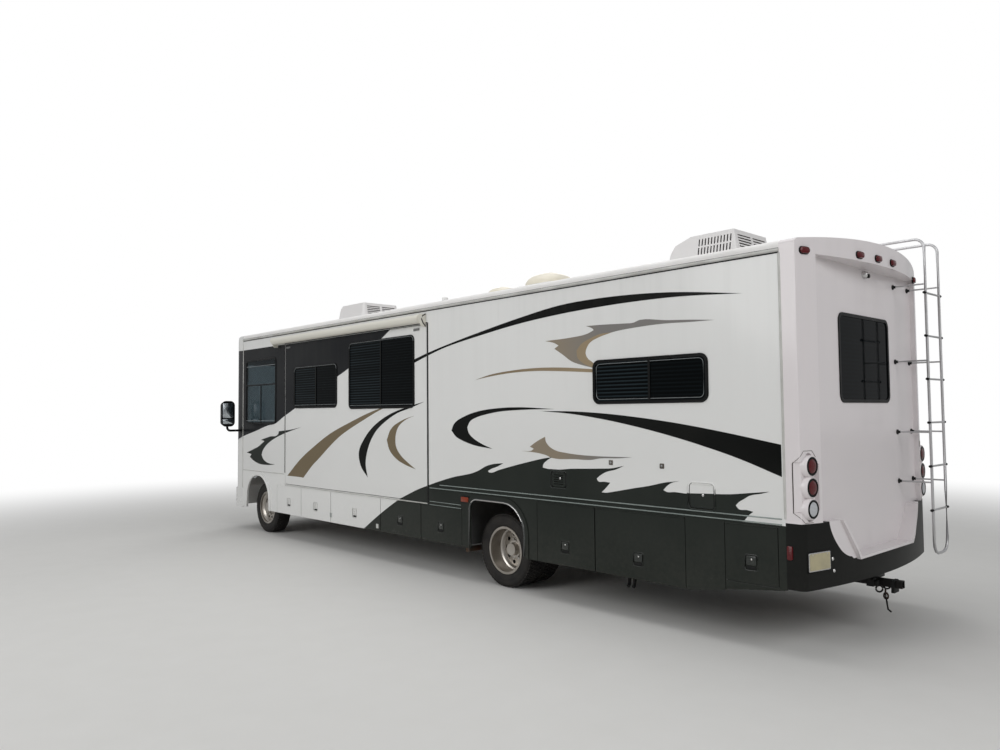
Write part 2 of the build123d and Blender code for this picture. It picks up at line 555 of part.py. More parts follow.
            RectangleRounded(REAR_WINDOW[1] - REAR_WINDOW[0], REAR_WINDOW[3] - REAR_WINDOW[2], WINDOW_R)
    extrude(amount=100, mode=Mode.SUBTRACT)
    with BuildSketch(Plane.YZ.offset(LAMP_POCKET_X)):
        for side in (-1, 1):
            with Locations((side * (LAMP_POCKET_Y + LAMP_POCKET_OUT_Y) / 2, (LAMP_POCKET_Z0 + LAMP_POCKET_Z1) / 2)):
                Rectangle(LAMP_POCKET_OUT_Y - LAMP_POCKET_Y, LAMP_POCKET_Z1 - LAMP_POCKET_Z0)
        chamfer(vertices(), LAMP_POCKET_CUT)
    extrude(amount=-300, mode=Mode.SUBTRACT)
    for side in (-1, 1):
        for z in LAMP_ZS:
            with BuildSketch(Plane.YZ.offset(LAMP_POCKET_X + REAR_CAP_T)):
                with Locations((side * LAMP_Y, z)):
                    Circle(HOUSING_TUBE_R)
            extrude(amount=LENS_X - LAMP_POCKET_X - REAR_CAP_T)
            with BuildSketch(Plane.YZ.offset(LENS_X)):
                with Locations((side * LAMP_Y, z)):
                    Circle(LENS_R)
            extrude(amount=LENS_DEPTH, mode=Mode.SUBTRACT)
save(rear_cap.part, "rear_cap")

# Dark lower cap that wraps the tail
with BuildPart() as rear_bumper:
    with BuildSketch(Plane.XY.offset(LOWER_Z0)):
        with BuildLine():
            Polyline(
                (LOWER_CORNER_X, -HALF_WIDTH),
                (REAR_SEAM_X, -HALF_WIDTH),
                (REAR_SEAM_X, HALF_WIDTH),
                (LOWER_CORNER_X, HALF_WIDTH),
            )
            ThreePointArc((LOWER_CORNER_X, HALF_WIDTH), (LOWER_X, 0), (LOWER_CORNER_X, -HALF_WIDTH))
        make_face()
    extrude(amount=DARK_TOP_Z - LOWER_Z0)
    fillet(rear_bumper.edges().filter_by(Axis.Z).group_by(Axis.X)[0], 60)
    with BuildSketch(Plane.YZ.offset(REAR_SEAM_X)):
        with Locations((0, (LOWER_Z0 + DARK_TOP_Z) / 2)):
            Rectangle(2 * (HALF_WIDTH - WALL_T), DARK_TOP_Z - LOWER_Z0)
    extrude(amount=REAR_PANEL_X + REAR_CAP_T - REAR_SEAM_X, mode=Mode.SUBTRACT)
    with BuildSketch(Plane.YZ.offset(REAR_SEAM_X)):
        with BuildLine():
            Polyline(
                (-SCOOP_TOP_HALF_W - SCOOP_LINING, DARK_TOP_Z),
                (-SCOOP_LOW_HALF_W - SCOOP_LINING, LEDGE_Z - SCOOP_LINING),
                (SCOOP_LOW_HALF_W + SCOOP_LINING, LEDGE_Z - SCOOP_LINING),
                (SCOOP_TOP_HALF_W + SCOOP_LINING, DARK_TOP_Z),
                close=True,
            )
        make_face()
    extrude(amount=-HALF_LENGTH, mode=Mode.SUBTRACT)
save(rear_bumper.part, "rear_bumper")

# Skirts below the walls, with arches and bay openings
REAR_SKIRT_KINK_X = REAR_SEAM_X + 905.0
REAR_SKIRT_RISE_Z = 530.0
with BuildPart() as left_skirt:
    with BuildSketch(Plane.XZ.offset(-HALF_WIDTH)):
        with BuildLine():
            Polyline(
                (REAR_SEAM_X, FLOOR_TOP_Z),
                (REAR_SEAM_X, REAR_SKIRT_RISE_Z),
                (REAR_SKIRT_KINK_X, SKIRT_BOTTOM_Z),
                (FRONT_SEAM_X, SKIRT_BOTTOM_Z),
                (FRONT_SEAM_X, FLOOR_TOP_Z),
                close=True,
            )
        make_face()
        with Locations(((SLIDE_X0 + SLIDE_X1) / 2, (SLIDE_Z0 + SLIDE_Z1) / 2)):
            Rectangle(SLIDE_X1 - SLIDE_X0, SLIDE_Z1 - SLIDE_Z0, mode=Mode.SUBTRACT)
        for name, x0, x1, top, bottom, latch_z in LEFT_DOORS:
            with Locations(((x0 + x1) / 2, (top + bottom) / 2 - 50)):
                Rectangle(x1 - x0, top - bottom + 100, mode=Mode.SUBTRACT)
        for arch_x, half, top, r0, r1 in (FRONT_ARCH, REAR_ARCH):
            with BuildLine():
                Polyline(
                    (arch_x - half, top - r1),
                    (arch_x - half, SKIRT_BOTTOM_Z - 50),
                    (arch_x + half, SKIRT_BOTTOM_Z - 50),
                    (arch_x + half, top - r0),
                )
                RadiusArc((arch_x + half, top - r0), (arch_x + half - r0, top), -r0)
                Line((arch_x + half - r0, top), (arch_x - half + r1, top))
                RadiusArc((arch_x - half + r1, top), (arch_x - half, top - r1), -r1)
            make_face(mode=Mode.SUBTRACT)
    extrude(amount=SKIRT_T)
    with BuildSketch(Plane.XZ.offset(-HALF_WIDTH - FLARE_T)):
        for arch_x, half, top, r0, r1 in (FRONT_ARCH, REAR_ARCH):
            for wide, mode in ((FLARE_W, Mode.ADD), (0, Mode.SUBTRACT)):
                x0 = arch_x - half - wide
                x1 = arch_x + half + wide
                z1 = top + wide
                with BuildLine():
                    Polyline(
                        (x0, z1 - r1 - wide),
                        (x0, SKIRT_BOTTOM_Z),
                        (x1, SKIRT_BOTTOM_Z),
                        (x1, z1 - r0 - wide),
                    )
                    RadiusArc((x1, z1 - r0 - wide), (x1 - r0 - wide, z1), -r0 - wide)
                    Line((x1 - r0 - wide, z1), (x0 + r1 + wide, z1))
                    RadiusArc((x0 + r1 + wide, z1), (x0, z1 - r1 - wide), -r1 - wide)
                make_face(mode=mode)
    extrude(amount=FLARE_T)
save(left_skirt.part, "left_skirt")

with BuildPart() as right_skirt:
    with BuildSketch(Plane.XZ.offset(SKIRT_IN_Y)):
        with BuildLine():
            Polyline(
                (REAR_SEAM_X, FLOOR_TOP_Z),
                (REAR_SEAM_X, REAR_SKIRT_RISE_Z),
                (REAR_SKIRT_KINK_X, SKIRT_BOTTOM_Z),
                (FRONT_SEAM_X, SKIRT_BOTTOM_Z),
                (FRONT_SEAM_X, FLOOR_TOP_Z),
                close=True,
            )
        make_face()
        with Locations(((ENTRY_X0 + ENTRY_X1) / 2, (ENTRY_Z0 + ENTRY_Z1) / 2)):
            Rectangle(ENTRY_X1 - ENTRY_X0, ENTRY_Z1 - ENTRY_Z0, mode=Mode.SUBTRACT)
        for name, x0, x1, top, bottom, latch_z in RIGHT_DOORS:
            with Locations(((x0 + x1) / 2, (top + bottom) / 2 - 50)):
                Rectangle(x1 - x0, top - bottom + 100, mode=Mode.SUBTRACT)
        for arch_x, half, top, r0, r1 in (FRONT_ARCH, REAR_ARCH):
            with BuildLine():
                Polyline(
                    (arch_x - half, top - r1),
                    (arch_x - half, SKIRT_BOTTOM_Z - 50),
                    (arch_x + half, SKIRT_BOTTOM_Z - 50),
                    (arch_x + half, top - r0),
                )
                RadiusArc((arch_x + half, top - r0), (arch_x + half - r0, top), -r0)
                Line((arch_x + half - r0, top), (arch_x - half + r1, top))
                RadiusArc((arch_x - half + r1, top), (arch_x - half, top - r1), -r1)
            make_face(mode=Mode.SUBTRACT)
    extrude(amount=SKIRT_T)
    with BuildSketch(Plane.XZ.offset(HALF_WIDTH)):
        for arch_x, half, top, r0, r1 in (FRONT_ARCH, REAR_ARCH):
            for wide, mode in ((FLARE_W, Mode.ADD), (0, Mode.SUBTRACT)):
                x0 = arch_x - half - wide
                x1 = arch_x + half + wide
                z1 = top + wide
                with BuildLine():
                    Polyline(
                        (x0, z1 - r1 - wide),
                        (x0, SKIRT_BOTTOM_Z),
                        (x1, SKIRT_BOTTOM_Z),
                        (x1, z1 - r0 - wide),
                    )
                    RadiusArc((x1, z1 - r0 - wide), (x1 - r0 - wide, z1), -r0 - wide)
                    Line((x1 - r0 - wide, z1), (x0 + r1 + wide, z1))
                    RadiusArc((x0 + r1 + wide, z1), (x0, z1 - r1 - wide), -r1 - wide)
                make_face(mode=mode)
    extrude(amount=FLARE_T)
save(right_skirt.part, "right_skirt")

# Baggage doors, hung on a barrel hinge along the top edge, each with a sunk paddle latch
for name, x0, x1, top, bottom, latch_z in LEFT_DOORS:
    with BuildPart() as bay_door_left:
        with BuildSketch(Plane.XZ.offset(-HALF_WIDTH)):
            with Locations(((x0 + x1) / 2, (top + bottom - DOOR_GAP) / 2)):
                Rectangle(x1 - x0 - 2 * DOOR_GAP, top - bottom - DOOR_GAP)
        extrude(amount=SKIRT_T)
        with BuildSketch(Plane.YZ.offset(x0 + DOOR_GAP)):
            with Locations((HALF_WIDTH, top - DOOR_GAP)):
                Circle(HINGE_R)
        extrude(amount=x1 - x0 - 2 * DOOR_GAP)
        with BuildSketch(Plane.XZ.offset(-HALF_WIDTH)):
            with Locations(((x0 + x1) / 2, latch_z)):
                RectangleRounded(LATCH_W, LATCH_H, LATCH_R)
        extrude(amount=LATCH_DEPTH, mode=Mode.SUBTRACT)
        with BuildSketch(Plane.XZ.offset(-HALF_WIDTH + LATCH_DEPTH)):
            with Locations(((x0 + x1) / 2, latch_z + LATCH_H / 8)):
                RectangleRounded(LATCH_W * 0.8, LATCH_H * 0.62, LATCH_R / 2)
        extrude(amount=-LATCH_DEPTH * 0.7)
    save(bay_door_left.part, name)

for name, x0, x1, top, bottom, latch_z in RIGHT_DOORS:
    with BuildPart() as bay_door_right:
        with BuildSketch(Plane.XZ.offset(SKIRT_IN_Y)):
            with Locations(((x0 + x1) / 2, (top + bottom - DOOR_GAP) / 2)):
                Rectangle(x1 - x0 - 2 * DOOR_GAP, top - bottom - DOOR_GAP)
        extrude(amount=SKIRT_T)
        with BuildSketch(Plane.YZ.offset(x0 + DOOR_GAP)):
            with Locations((-HALF_WIDTH, top - DOOR_GAP)):
                Circle(HINGE_R)
        extrude(amount=x1 - x0 - 2 * DOOR_GAP)
        with BuildSketch(Plane.XZ.offset(HALF_WIDTH)):
            with Locations(((x0 + x1) / 2, latch_z)):
                RectangleRounded(LATCH_W, LATCH_H, LATCH_R)
        extrude(amount=-LATCH_DEPTH, mode=Mode.SUBTRACT)
        with BuildSketch(Plane.XZ.offset(HALF_WIDTH - LATCH_DEPTH)):
            with Locations(((x0 + x1) / 2, latch_z + LATCH_H / 8)):
                RectangleRounded(LATCH_W * 0.8, LATCH_H * 0.62, LATCH_R / 2)
        extrude(amount=LATCH_DEPTH * 0.7)
    save(bay_door_right.part, name)

# Service hatches, hung on their top edges; the water hatch has a louvre of level slots
HATCH_T = 12.0
HATCH_R = 22.0
LOUVRE_COUNT = 5
LOUVRE_H = 7.0
for name, x0, x1, z0, z1 in HATCHES:
    with BuildPart() as hatch:
        with BuildSketch(Plane.XZ.offset(-HALF_WIDTH)):
            with Locations(((x0 + x1) / 2, (z0 + z1) / 2)):
                RectangleRounded(x1 - x0 - 2 * DOOR_GAP, z1 - z0 - 2 * DOOR_GAP, HATCH_R)
        extrude(amount=HATCH_T)
        with BuildSketch(Plane.YZ.offset(x0 + DOOR_GAP + HATCH_R)):
            with Locations((HALF_WIDTH, z1 - DOOR_GAP)):
                Circle(HINGE_R)
        extrude(amount=x1 - x0 - 2 * DOOR_GAP - 2 * HATCH_R)
        if name == "water_hatch":
            with BuildSketch(Plane.XZ.offset(-HALF_WIDTH)):
                with Locations(((x0 + x1) / 2, (z0 + z1) / 2)):
                    with GridLocations(0, (z1 - z0) / (LOUVRE_COUNT + 2), 1, LOUVRE_COUNT):
                        Rectangle(x1 - x0 - 70, LOUVRE_H)
            extrude(amount=HATCH_T, mode=Mode.SUBTRACT)
    save(hatch.part, name)

# Baggage bays: pans hung under the floor, parted at the door seams
BAY_IN_Y = RAIL_Y + 55.0
BAY_OUT_Y = SKIRT_IN_Y - 28.5
BAY_T = 12.0
BAY_FLOOR_Z = SKIRT_BOTTOM_Z + 13.0
REAR_BAY_FLOOR_Z = TAIL_DOOR_LOW + 20.0
LEFT_BAYS = [
    ("long", SEAM_6 - 15.0, SEAM_1 - 65.0, BAY_FLOOR_Z, (SEAM_5, SEAM_4, SEAM_3, SEAM_2)),
    ("mid", SEAM_9 - 5.0, SEAM_7 + 35.0, BAY_FLOOR_Z, (SEAM_8,)),
    ("tail", REAR_SEAM_X + 40.0, REAR_SEAM_X + 570.0, REAR_BAY_FLOOR_Z, ()),
]
RIGHT_BAYS = [
    ("long", RIGHT_X0 - 60.0, RIGHT_X1 + 20.0, BAY_FLOOR_Z, (RIGHT_X0 + RIGHT_STEP, RIGHT_X1 - RIGHT_STEP)),
    ("mid", SEAM_9 - 5.0, SEAM_7 + 35.0, BAY_FLOOR_Z, (RIGHT_SEAM_4,)),
]
with BuildPart() as baggage_bays:
    for bay, x0, x1, z0, seams in LEFT_BAYS:
        with BuildSketch(Plane.XZ.offset(-BAY_OUT_Y)):
            with Locations(((x0 + x1) / 2, (z0 + FLOOR_BOTTOM_Z) / 2)):
                Rectangle(x1 - x0, FLOOR_BOTTOM_Z - z0)
            stops = [x0, *seams, x1]
            for i in range(len(stops) - 1):
                with Locations(((stops[i] + stops[i + 1]) / 2, (z0 + BAY_T + FLOOR_BOTTOM_Z + 10) / 2)):
                    Rectangle(
                        stops[i + 1] - stops[i] - 2 * BAY_T,
                        FLOOR_BOTTOM_Z + 10 - z0 - BAY_T,
                        mode=Mode.SUBTRACT,
                    )
        extrude(amount=BAY_OUT_Y - BAY_IN_Y)
        with BuildSketch(Plane.XZ.offset(-BAY_IN_Y - BAY_T)):
            with Locations(((x0 + x1) / 2, (z0 + FLOOR_BOTTOM_Z) / 2)):
                Rectangle(x1 - x0, FLOOR_BOTTOM_Z - z0)
        extrude(amount=BAY_T)
    for bay, x0, x1, z0, seams in RIGHT_BAYS:
        with BuildSketch(Plane.XZ.offset(BAY_IN_Y)):
            with Locations(((x0 + x1) / 2, (z0 + FLOOR_BOTTOM_Z) / 2)):
                Rectangle(x1 - x0, FLOOR_BOTTOM_Z - z0)
            stops = [x0, *seams, x1]
            for i in range(len(stops) - 1):
                with Locations(((stops[i] + stops[i + 1]) / 2, (z0 + BAY_T + FLOOR_BOTTOM_Z + 10) / 2)):
                    Rectangle(
                        stops[i + 1] - stops[i] - 2 * BAY_T,
                        FLOOR_BOTTOM_Z + 10 - z0 - BAY_T,
                        mode=Mode.SUBTRACT,
                    )
        extrude(amount=BAY_OUT_Y - BAY_IN_Y)
        with BuildSketch(Plane.XZ.offset(BAY_IN_Y)):
            with Locations(((x0 + x1) / 2, (z0 + FLOOR_BOTTOM_Z) / 2)):
                Rectangle(x1 - x0, FLOOR_BOTTOM_Z - z0)
        extrude(amount=BAY_T)
save(baggage_bays.part, "baggage_bays")

# Slide-out room: a fascia in the wall plane and an open-backed box behind it
FASCIA_X0 = SLIDE_X0 + SLIDE_GAP
FASCIA_X1 = SLIDE_X1 - SLIDE_GAP
FASCIA_Z0 = SLIDE_Z0 + SLIDE_GAP
FASCIA_Z1 = SLIDE_Z1 - SLIDE_GAP
ROOM_X0 = FASCIA_X0 + SLIDE_FLANGE
ROOM_X1 = FASCIA_X1 - SLIDE_FLANGE
ROOM_Z0 = FLOOR_TOP_Z + 12.0
ROOM_Z1 = FASCIA_Z1 - SLIDE_FLANGE
ROOM_IN_Y = WALL_IN_Y - SLIDE_DEPTH
with BuildPart() as slide_room:
    with BuildSketch(Plane.XZ.offset(-HALF_WIDTH)):
        with Locations(((FASCIA_X0 + FASCIA_X1) / 2, (FASCIA_Z0 + FASCIA_Z1) / 2)):
            Rectangle(FASCIA_X1 - FASCIA_X0, FASCIA_Z1 - FASCIA_Z0)
        for x0, x1, z0, z1 in (DINETTE_WINDOW, SOFA_WINDOW):
            with Locations(((x0 + x1) / 2, (z0 + z1) / 2)):
                RectangleRounded(x1 - x0, z1 - z0, WINDOW_R, mode=Mode.SUBTRACT)
    extrude(amount=WALL_T)
    with BuildSketch(Plane.XZ.offset(-WALL_IN_Y)):
        with Locations(((ROOM_X0 + ROOM_X1) / 2, (ROOM_Z0 + ROOM_Z1) / 2)):
            Rectangle(ROOM_X1 - ROOM_X0, ROOM_Z1 - ROOM_Z0)
            Rectangle(
                ROOM_X1 - ROOM_X0 - 2 * SLIDE_SHEET,
                ROOM_Z1 - ROOM_Z0 - 2 * SLIDE_SHEET,
                mode=Mode.SUBTRACT,
            )
    extrude(amount=SLIDE_DEPTH)
save(slide_room.part, "slide_room")

# Frames and panes: x0, x1, z0, z1, mullion x
BED_MULLION_X = REAR_SEAM_X + 1305.0
LOUNGE_MULLION_X = REAR_AXLE_X + 2655.0
DINETTE_MULLION_X = FRONT_AXLE_X - 1860.0
SOFA_MULLION_X = REAR_AXLE_X + 2270.0
LEFT_WINDOWS = [(*BED_WINDOW, BED_MULLION_X)]
RIGHT_WINDOWS = [(*BED_WINDOW, BED_MULLION_X), (*LOUNGE_WINDOW, LOUNGE_MULLION_X)]
SLIDE_WINDOWS = [(*DINETTE_WINDOW, DINETTE_MULLION_X), (*SOFA_WINDOW, SOFA_MULLION_X)]
CAB_BAR_Z = WALL_TOP_Z - 800.0
CAB_MULLION_X = FRONT_AXLE_X - 35.0
MULLION_W = 24.0
with BuildPart() as slide_frames:
    with BuildSketch(Plane.XZ.offset(-HALF_WIDTH)):
        for x0, x1, z0, z1, mid in SLIDE_WINDOWS:
            with Locations(((x0 + x1) / 2, (z0 + z1) / 2)):
                RectangleRounded(x1 - x0 + 16, z1 - z0 + 16, WINDOW_R + 8)
                RectangleRounded(x1 - x0 - FRAME_W, z1 - z0 - FRAME_W, WINDOW_R - FRAME_W / 2, mode=Mode.SUBTRACT)
            with Locations((mid, (z0 + z1) / 2)):
                Rectangle(MULLION_W, z1 - z0 - 10)
    extrude(amount=-FRAME_LIP)
save(slide_frames.part, "slide_frames")

with BuildPart() as slide_glass:
    with BuildSketch(Plane.XZ.offset(-HALF_WIDTH)):
        for x0, x1, z0, z1, mid in SLIDE_WINDOWS:
            with Locations(((x0 + x1) / 2, (z0 + z1) / 2)):
                RectangleRounded(x1 - x0, z1 - z0, WINDOW_R)
    extrude(amount=GLASS_T)
save(slide_glass.part, "slide_glass")

with BuildPart() as window_frames:
    with BuildSketch(Plane.XZ.offset(-HALF_WIDTH)):
        for x0, x1, z0, z1, mid in LEFT_WINDOWS:
            with Locations(((x0 + x1) / 2, (z0 + z1) / 2)):
                RectangleRounded(x1 - x0 + 16, z1 - z0 + 16, WINDOW_R + 8)
                RectangleRounded(x1 - x0 - FRAME_W, z1 - z0 - FRAME_W, WINDOW_R - FRAME_W / 2, mode=Mode.SUBTRACT)
            with Locations((mid, (z0 + z1) / 2)):
                Rectangle(MULLION_W, z1 - z0 - 10)
    extrude(amount=-FRAME_LIP)
    with BuildSketch(Plane.XZ.offset(HALF_WIDTH)):
        for x0, x1, z0, z1, mid in RIGHT_WINDOWS:
            with Locations(((x0 + x1) / 2, (z0 + z1) / 2)):
                RectangleRounded(x1 - x0 + 16, z1 - z0 + 16, WINDOW_R + 8)
                RectangleRounded(x1 - x0 - FRAME_W, z1 - z0 - FRAME_W, WINDOW_R - FRAME_W / 2, mode=Mode.SUBTRACT)
            with Locations((mid, (z0 + z1) / 2)):
                Rectangle(MULLION_W, z1 - z0 - 10)
    extrude(amount=FRAME_LIP)
    for plane, depth in (
        (Plane.XZ.offset(-HALF_WIDTH), -FRAME_LIP),
        (Plane.XZ.offset(HALF_WIDTH), FRAME_LIP),
    ):
        with BuildSketch(plane):
            x0, x1, z0, z1 = CAB_WINDOW
            with Locations(((x0 + x1) / 2, (z0 + z1) / 2)):
                RectangleRounded(x1 - x0 + 16, z1 - z0 + 16, WINDOW_R + 8)
                RectangleRounded(x1 - x0 - FRAME_W, z1 - z0 - FRAME_W, WINDOW_R - FRAME_W / 2, mode=Mode.SUBTRACT)
            with Locations(((x0 + x1) / 2, CAB_BAR_Z)):
                Rectangle(x1 - x0 - 10, MULLION_W)
            with Locations((CAB_MULLION_X, (z0 + CAB_BAR_Z) / 2)):
                Rectangle(MULLION_W, CAB_BAR_Z - z0 - 10)
        extrude(amount=depth)
    with BuildSketch(Plane.YZ.offset(REAR_PANEL_X)):
        with Locations(((REAR_WINDOW[0] + REAR_WINDOW[1]) / 2, (REAR_WINDOW[2] + REAR_WINDOW[3]) / 2)):
            RectangleRounded(REAR_WINDOW[1] - REAR_WINDOW[0] + 16, REAR_WINDOW[3] - REAR_WINDOW[2] + 16, WINDOW_R + 8)
            RectangleRounded(
                REAR_WINDOW[1] - REAR_WINDOW[0] - FRAME_W,
                REAR_WINDOW[3] - REAR_WINDOW[2] - FRAME_W,
                WINDOW_R - FRAME_W / 2,
                mode=Mode.SUBTRACT,
            )
    extrude(amount=-FRAME_LIP)
save(window_frames.part, "window_frames")

with BuildPart() as window_glass:
    for windows, plane, depth in (
        (LEFT_WINDOWS + [(*CAB_WINDOW, 0)], Plane.XZ.offset(-HALF_WIDTH), GLASS_T),
        (RIGHT_WINDOWS + [(*CAB_WINDOW, 0)], Plane.XZ.offset(HALF_WIDTH), -GLASS_T),
    ):
        with BuildSketch(plane):
            for x0, x1, z0, z1, mid in windows:
                with Locations(((x0 + x1) / 2, (z0 + z1) / 2)):
                    RectangleRounded(x1 - x0, z1 - z0, WINDOW_R)
        extrude(amount=depth)
    with BuildSketch(Plane.YZ.offset(REAR_PANEL_X)):
        with Locations(((REAR_WINDOW[0] + REAR_WINDOW[1]) / 2, (REAR_WINDOW[2] + REAR_WINDOW[3]) / 2)):
            RectangleRounded(REAR_WINDOW[1] - REAR_WINDOW[0], REAR_WINDOW[3] - REAR_WINDOW[2], WINDOW_R)
    extrude(amount=GLASS_T)
save(window_glass.part, "window_glass")

# Slide topper: an awning roller over the slide-out room, carried by a bracket at each end
TOPPER_X0 = SLIDE_X0 + 33.0
TOPPER_X1 = SLIDE_X1 + 255.0
TOPPER_Z = WALL_TOP_Z - 120.0
TOPPER_R = 56.0
TOPPER_Y = HALF_WIDTH + TOPPER_R + 18.0
BRACKET_T = 14.0
BRACKET_R = TOPPER_R + 6.0
BRACKET_DROP = 95.0
with BuildPart() as slide_topper:
    with BuildSketch(Plane.YZ.offset(TOPPER_X0)):
        with Locations((TOPPER_Y, TOPPER_Z)):
            Circle(TOPPER_R)
    extrude(amount=TOPPER_X1 - TOPPER_X0)
    for x0 in (TOPPER_X0 - BRACKET_T, TOPPER_X1):
        with BuildSketch(Plane.YZ.offset(x0)):
            with BuildLine():
                Polyline(
                    (TOPPER_Y + BRACKET_R, TOPPER_Z),
                    (TOPPER_Y - 10, TOPPER_Z - BRACKET_DROP),
                    (HALF_WIDTH, TOPPER_Z - BRACKET_DROP),
                    (HALF_WIDTH, TOPPER_Z + BRACKET_R),
                    (TOPPER_Y, TOPPER_Z + BRACKET_R),
                )
                RadiusArc((TOPPER_Y, TOPPER_Z + BRACKET_R), (TOPPER_Y + BRACKET_R, TOPPER_Z), BRACKET_R)
            make_face()
        extrude(amount=BRACKET_T)
save(slide_topper.part, "slide_topper")

# Entry door with its window, hinged on its front edge
with BuildPart() as entry_door:
    with BuildSketch(Plane.XZ.offset(WALL_IN_Y)):
        with Locations(((ENTRY_X0 + ENTRY_X1) / 2, (ENTRY_Z0 + ENTRY_Z1) / 2)):
            Rectangle(ENTRY_X1 - ENTRY_X0 - 2 * DOOR_GAP, ENTRY_Z1 - ENTRY_Z0 - 2 * DOOR_GAP)
        with Locations(((ENTRY_X0 + ENTRY_X1) / 2, ENTRY_WINDOW[2])):
            RectangleRounded(ENTRY_WINDOW[0], ENTRY_WINDOW[1], WINDOW_R, mode=Mode.SUBTRACT)
    extrude(amount=WALL_T)
    with BuildSketch(Plane.XY.offset(ENTRY_Z0 + DOOR_GAP)):
        with Locations((ENTRY_X1 - DOOR_GAP, -HALF_WIDTH)):
            Circle(HINGE_R)
    extrude(amount=ENTRY_Z1 - ENTRY_Z0 - 2 * DOOR_GAP)
    with BuildSketch(Plane.XZ.offset(HALF_WIDTH)):
        with Locations((ENTRY_X0 + 75, ENTRY_HANDLE_Z)):
            RectangleRounded(70, 150, 20)
    extrude(amount=14)
save(entry_door.part, "entry_door")

with BuildPart() as entry_glass:
    with BuildSketch(Plane.XZ.offset(HALF_WIDTH - 10)):
        with Locations(((ENTRY_X0 + ENTRY_X1) / 2, ENTRY_WINDOW[2])):
            RectangleRounded(ENTRY_WINDOW[0], ENTRY_WINDOW[1], WINDOW_R)
    extrude(amount=GLASS_T)
save(entry_glass.part, "entry_glass")

# Ladder chassis: two channel rails, crossmembers, spring hangers and the towing receiver
RAIL_X0 = REAR_SEAM_X + 280.0
RAIL_X1 = FRONT_SEAM_X + 20.0
CHANNEL_T = 9.0
FRONT_SPRING_L = 1240.0
REAR_SPRING_L = 1480.0
SPRING_W = 76.0
SPRING_T = 44.0
SPRING_EYE_Z = RAIL_BOTTOM_Z - 80.0
AXLE_SEAT_Z = AXLE_Z + 80.0
RECEIVER = 50.8
RECEIVER_T = 6.5
RECEIVER_Z = 440.0
RECEIVER_X0 = -HALF_LENGTH + 60.0
RECEIVER_X1 = REAR_SEAM_X + 80.0
HITCH_PIN_R = 8.0
CROSS_INSET = 20.0
CROSS_W = 90.0
SEAT_FIT = 0.4
CROSS_HALF_L = RAIL_Y + RAIL_W / 2 - CHANNEL_T - SEAT_FIT
CROSS_XS = (
    RAIL_X0 + 400.0,
    REAR_AXLE_X - 2165.0,
    REAR_AXLE_X - 965.0,
    REAR_AXLE_X + 835.0,
    REAR_AXLE_X + 2235.0,
    FRONT_AXLE_X - 2225.0,
    FRONT_AXLE_X - 825.0,
    RAIL_X1 - 100.0,
)
with BuildPart() as chassis_frame:
    for side in (-1, 1):
        with BuildSketch(Plane.YZ.offset(RAIL_X0)):
            with Locations((side * RAIL_Y, RAIL_BOTTOM_Z + RAIL_H / 2)):
                Rectangle(RAIL_W, RAIL_H)
            with Locations((side * (RAIL_Y - CHANNEL_T), RAIL_BOTTOM_Z + RAIL_H / 2)):
                Rectangle(RAIL_W, RAIL_H - 2 * CHANNEL_T, mode=Mode.SUBTRACT)
        extrude(amount=RAIL_X1 - RAIL_X0)
    for x in CROSS_XS:
        with BuildSketch(Plane.XZ.offset(-CROSS_HALF_L)):
            with Locations((x, RAIL_BOTTOM_Z + RAIL_H / 2)):
                Rectangle(CROSS_W, RAIL_H - 2 * CROSS_INSET)
            with Locations((x + CHANNEL_T, RAIL_BOTTOM_Z + RAIL_H / 2)):
                Rectangle(CROSS_W, RAIL_H - 2 * CROSS_INSET - 2 * CHANNEL_T, mode=Mode.SUBTRACT)
        extrude(amount=2 * CROSS_HALF_L)
    for axle_x, length in ((FRONT_AXLE_X, FRONT_SPRING_L), (REAR_AXLE_X, REAR_SPRING_L)):
        for side in (-1, 1):
            for end in (-1, 1):
                x = axle_x + end * (length / 2 + 20)
                with BuildSketch(Plane.XY.offset(SPRING_EYE_Z - 40)):
                    with Locations((x, side * RAIL_Y)):
                        Rectangle(40, RAIL_W)
                extrude(amount=RAIL_BOTTOM_Z + CHANNEL_T / 2 - SPRING_EYE_Z + 40)
    with BuildSketch(Plane.YZ.offset(RECEIVER_X0)):
        with Locations((0, RECEIVER_Z)):
            Rectangle(RECEIVER + 2 * RECEIVER_T, RECEIVER + 2 * RECEIVER_T)
            Rectangle(RECEIVER, RECEIVER, mode=Mode.SUBTRACT)
    extrude(amount=RECEIVER_X1 - RECEIVER_X0)
    with BuildSketch(Plane.YZ.offset(RECEIVER_X1)):
        with Locations((0, RECEIVER_Z)):
            Rectangle(940, 64)
    extrude(amount=60)
    for side in (-1, 1):
        with BuildSketch(Plane.XZ.offset(-side * RAIL_Y - 6)):
            with BuildLine():
                Polyline(
                    (RECEIVER_X1, RECEIVER_Z - 32),
                    (RECEIVER_X1 + 60, RECEIVER_Z - 32),
                    (RAIL_X0 + 160, RAIL_BOTTOM_Z - SEAT_FIT),
                    (RAIL_X0, RAIL_BOTTOM_Z - SEAT_FIT),
                    (RECEIVER_X1, RECEIVER_Z + 32),
                    close=True,
                )
            make_face()
        extrude(amount=12)
    with BuildSketch(Plane.XZ.offset(-60)):
        with Locations((RECEIVER_X0 + 65, RECEIVER_Z)):
            Circle(HITCH_PIN_R)
    extrude(amount=120, mode=Mode.SUBTRACT)
save(chassis_frame.part, "chassis_frame")

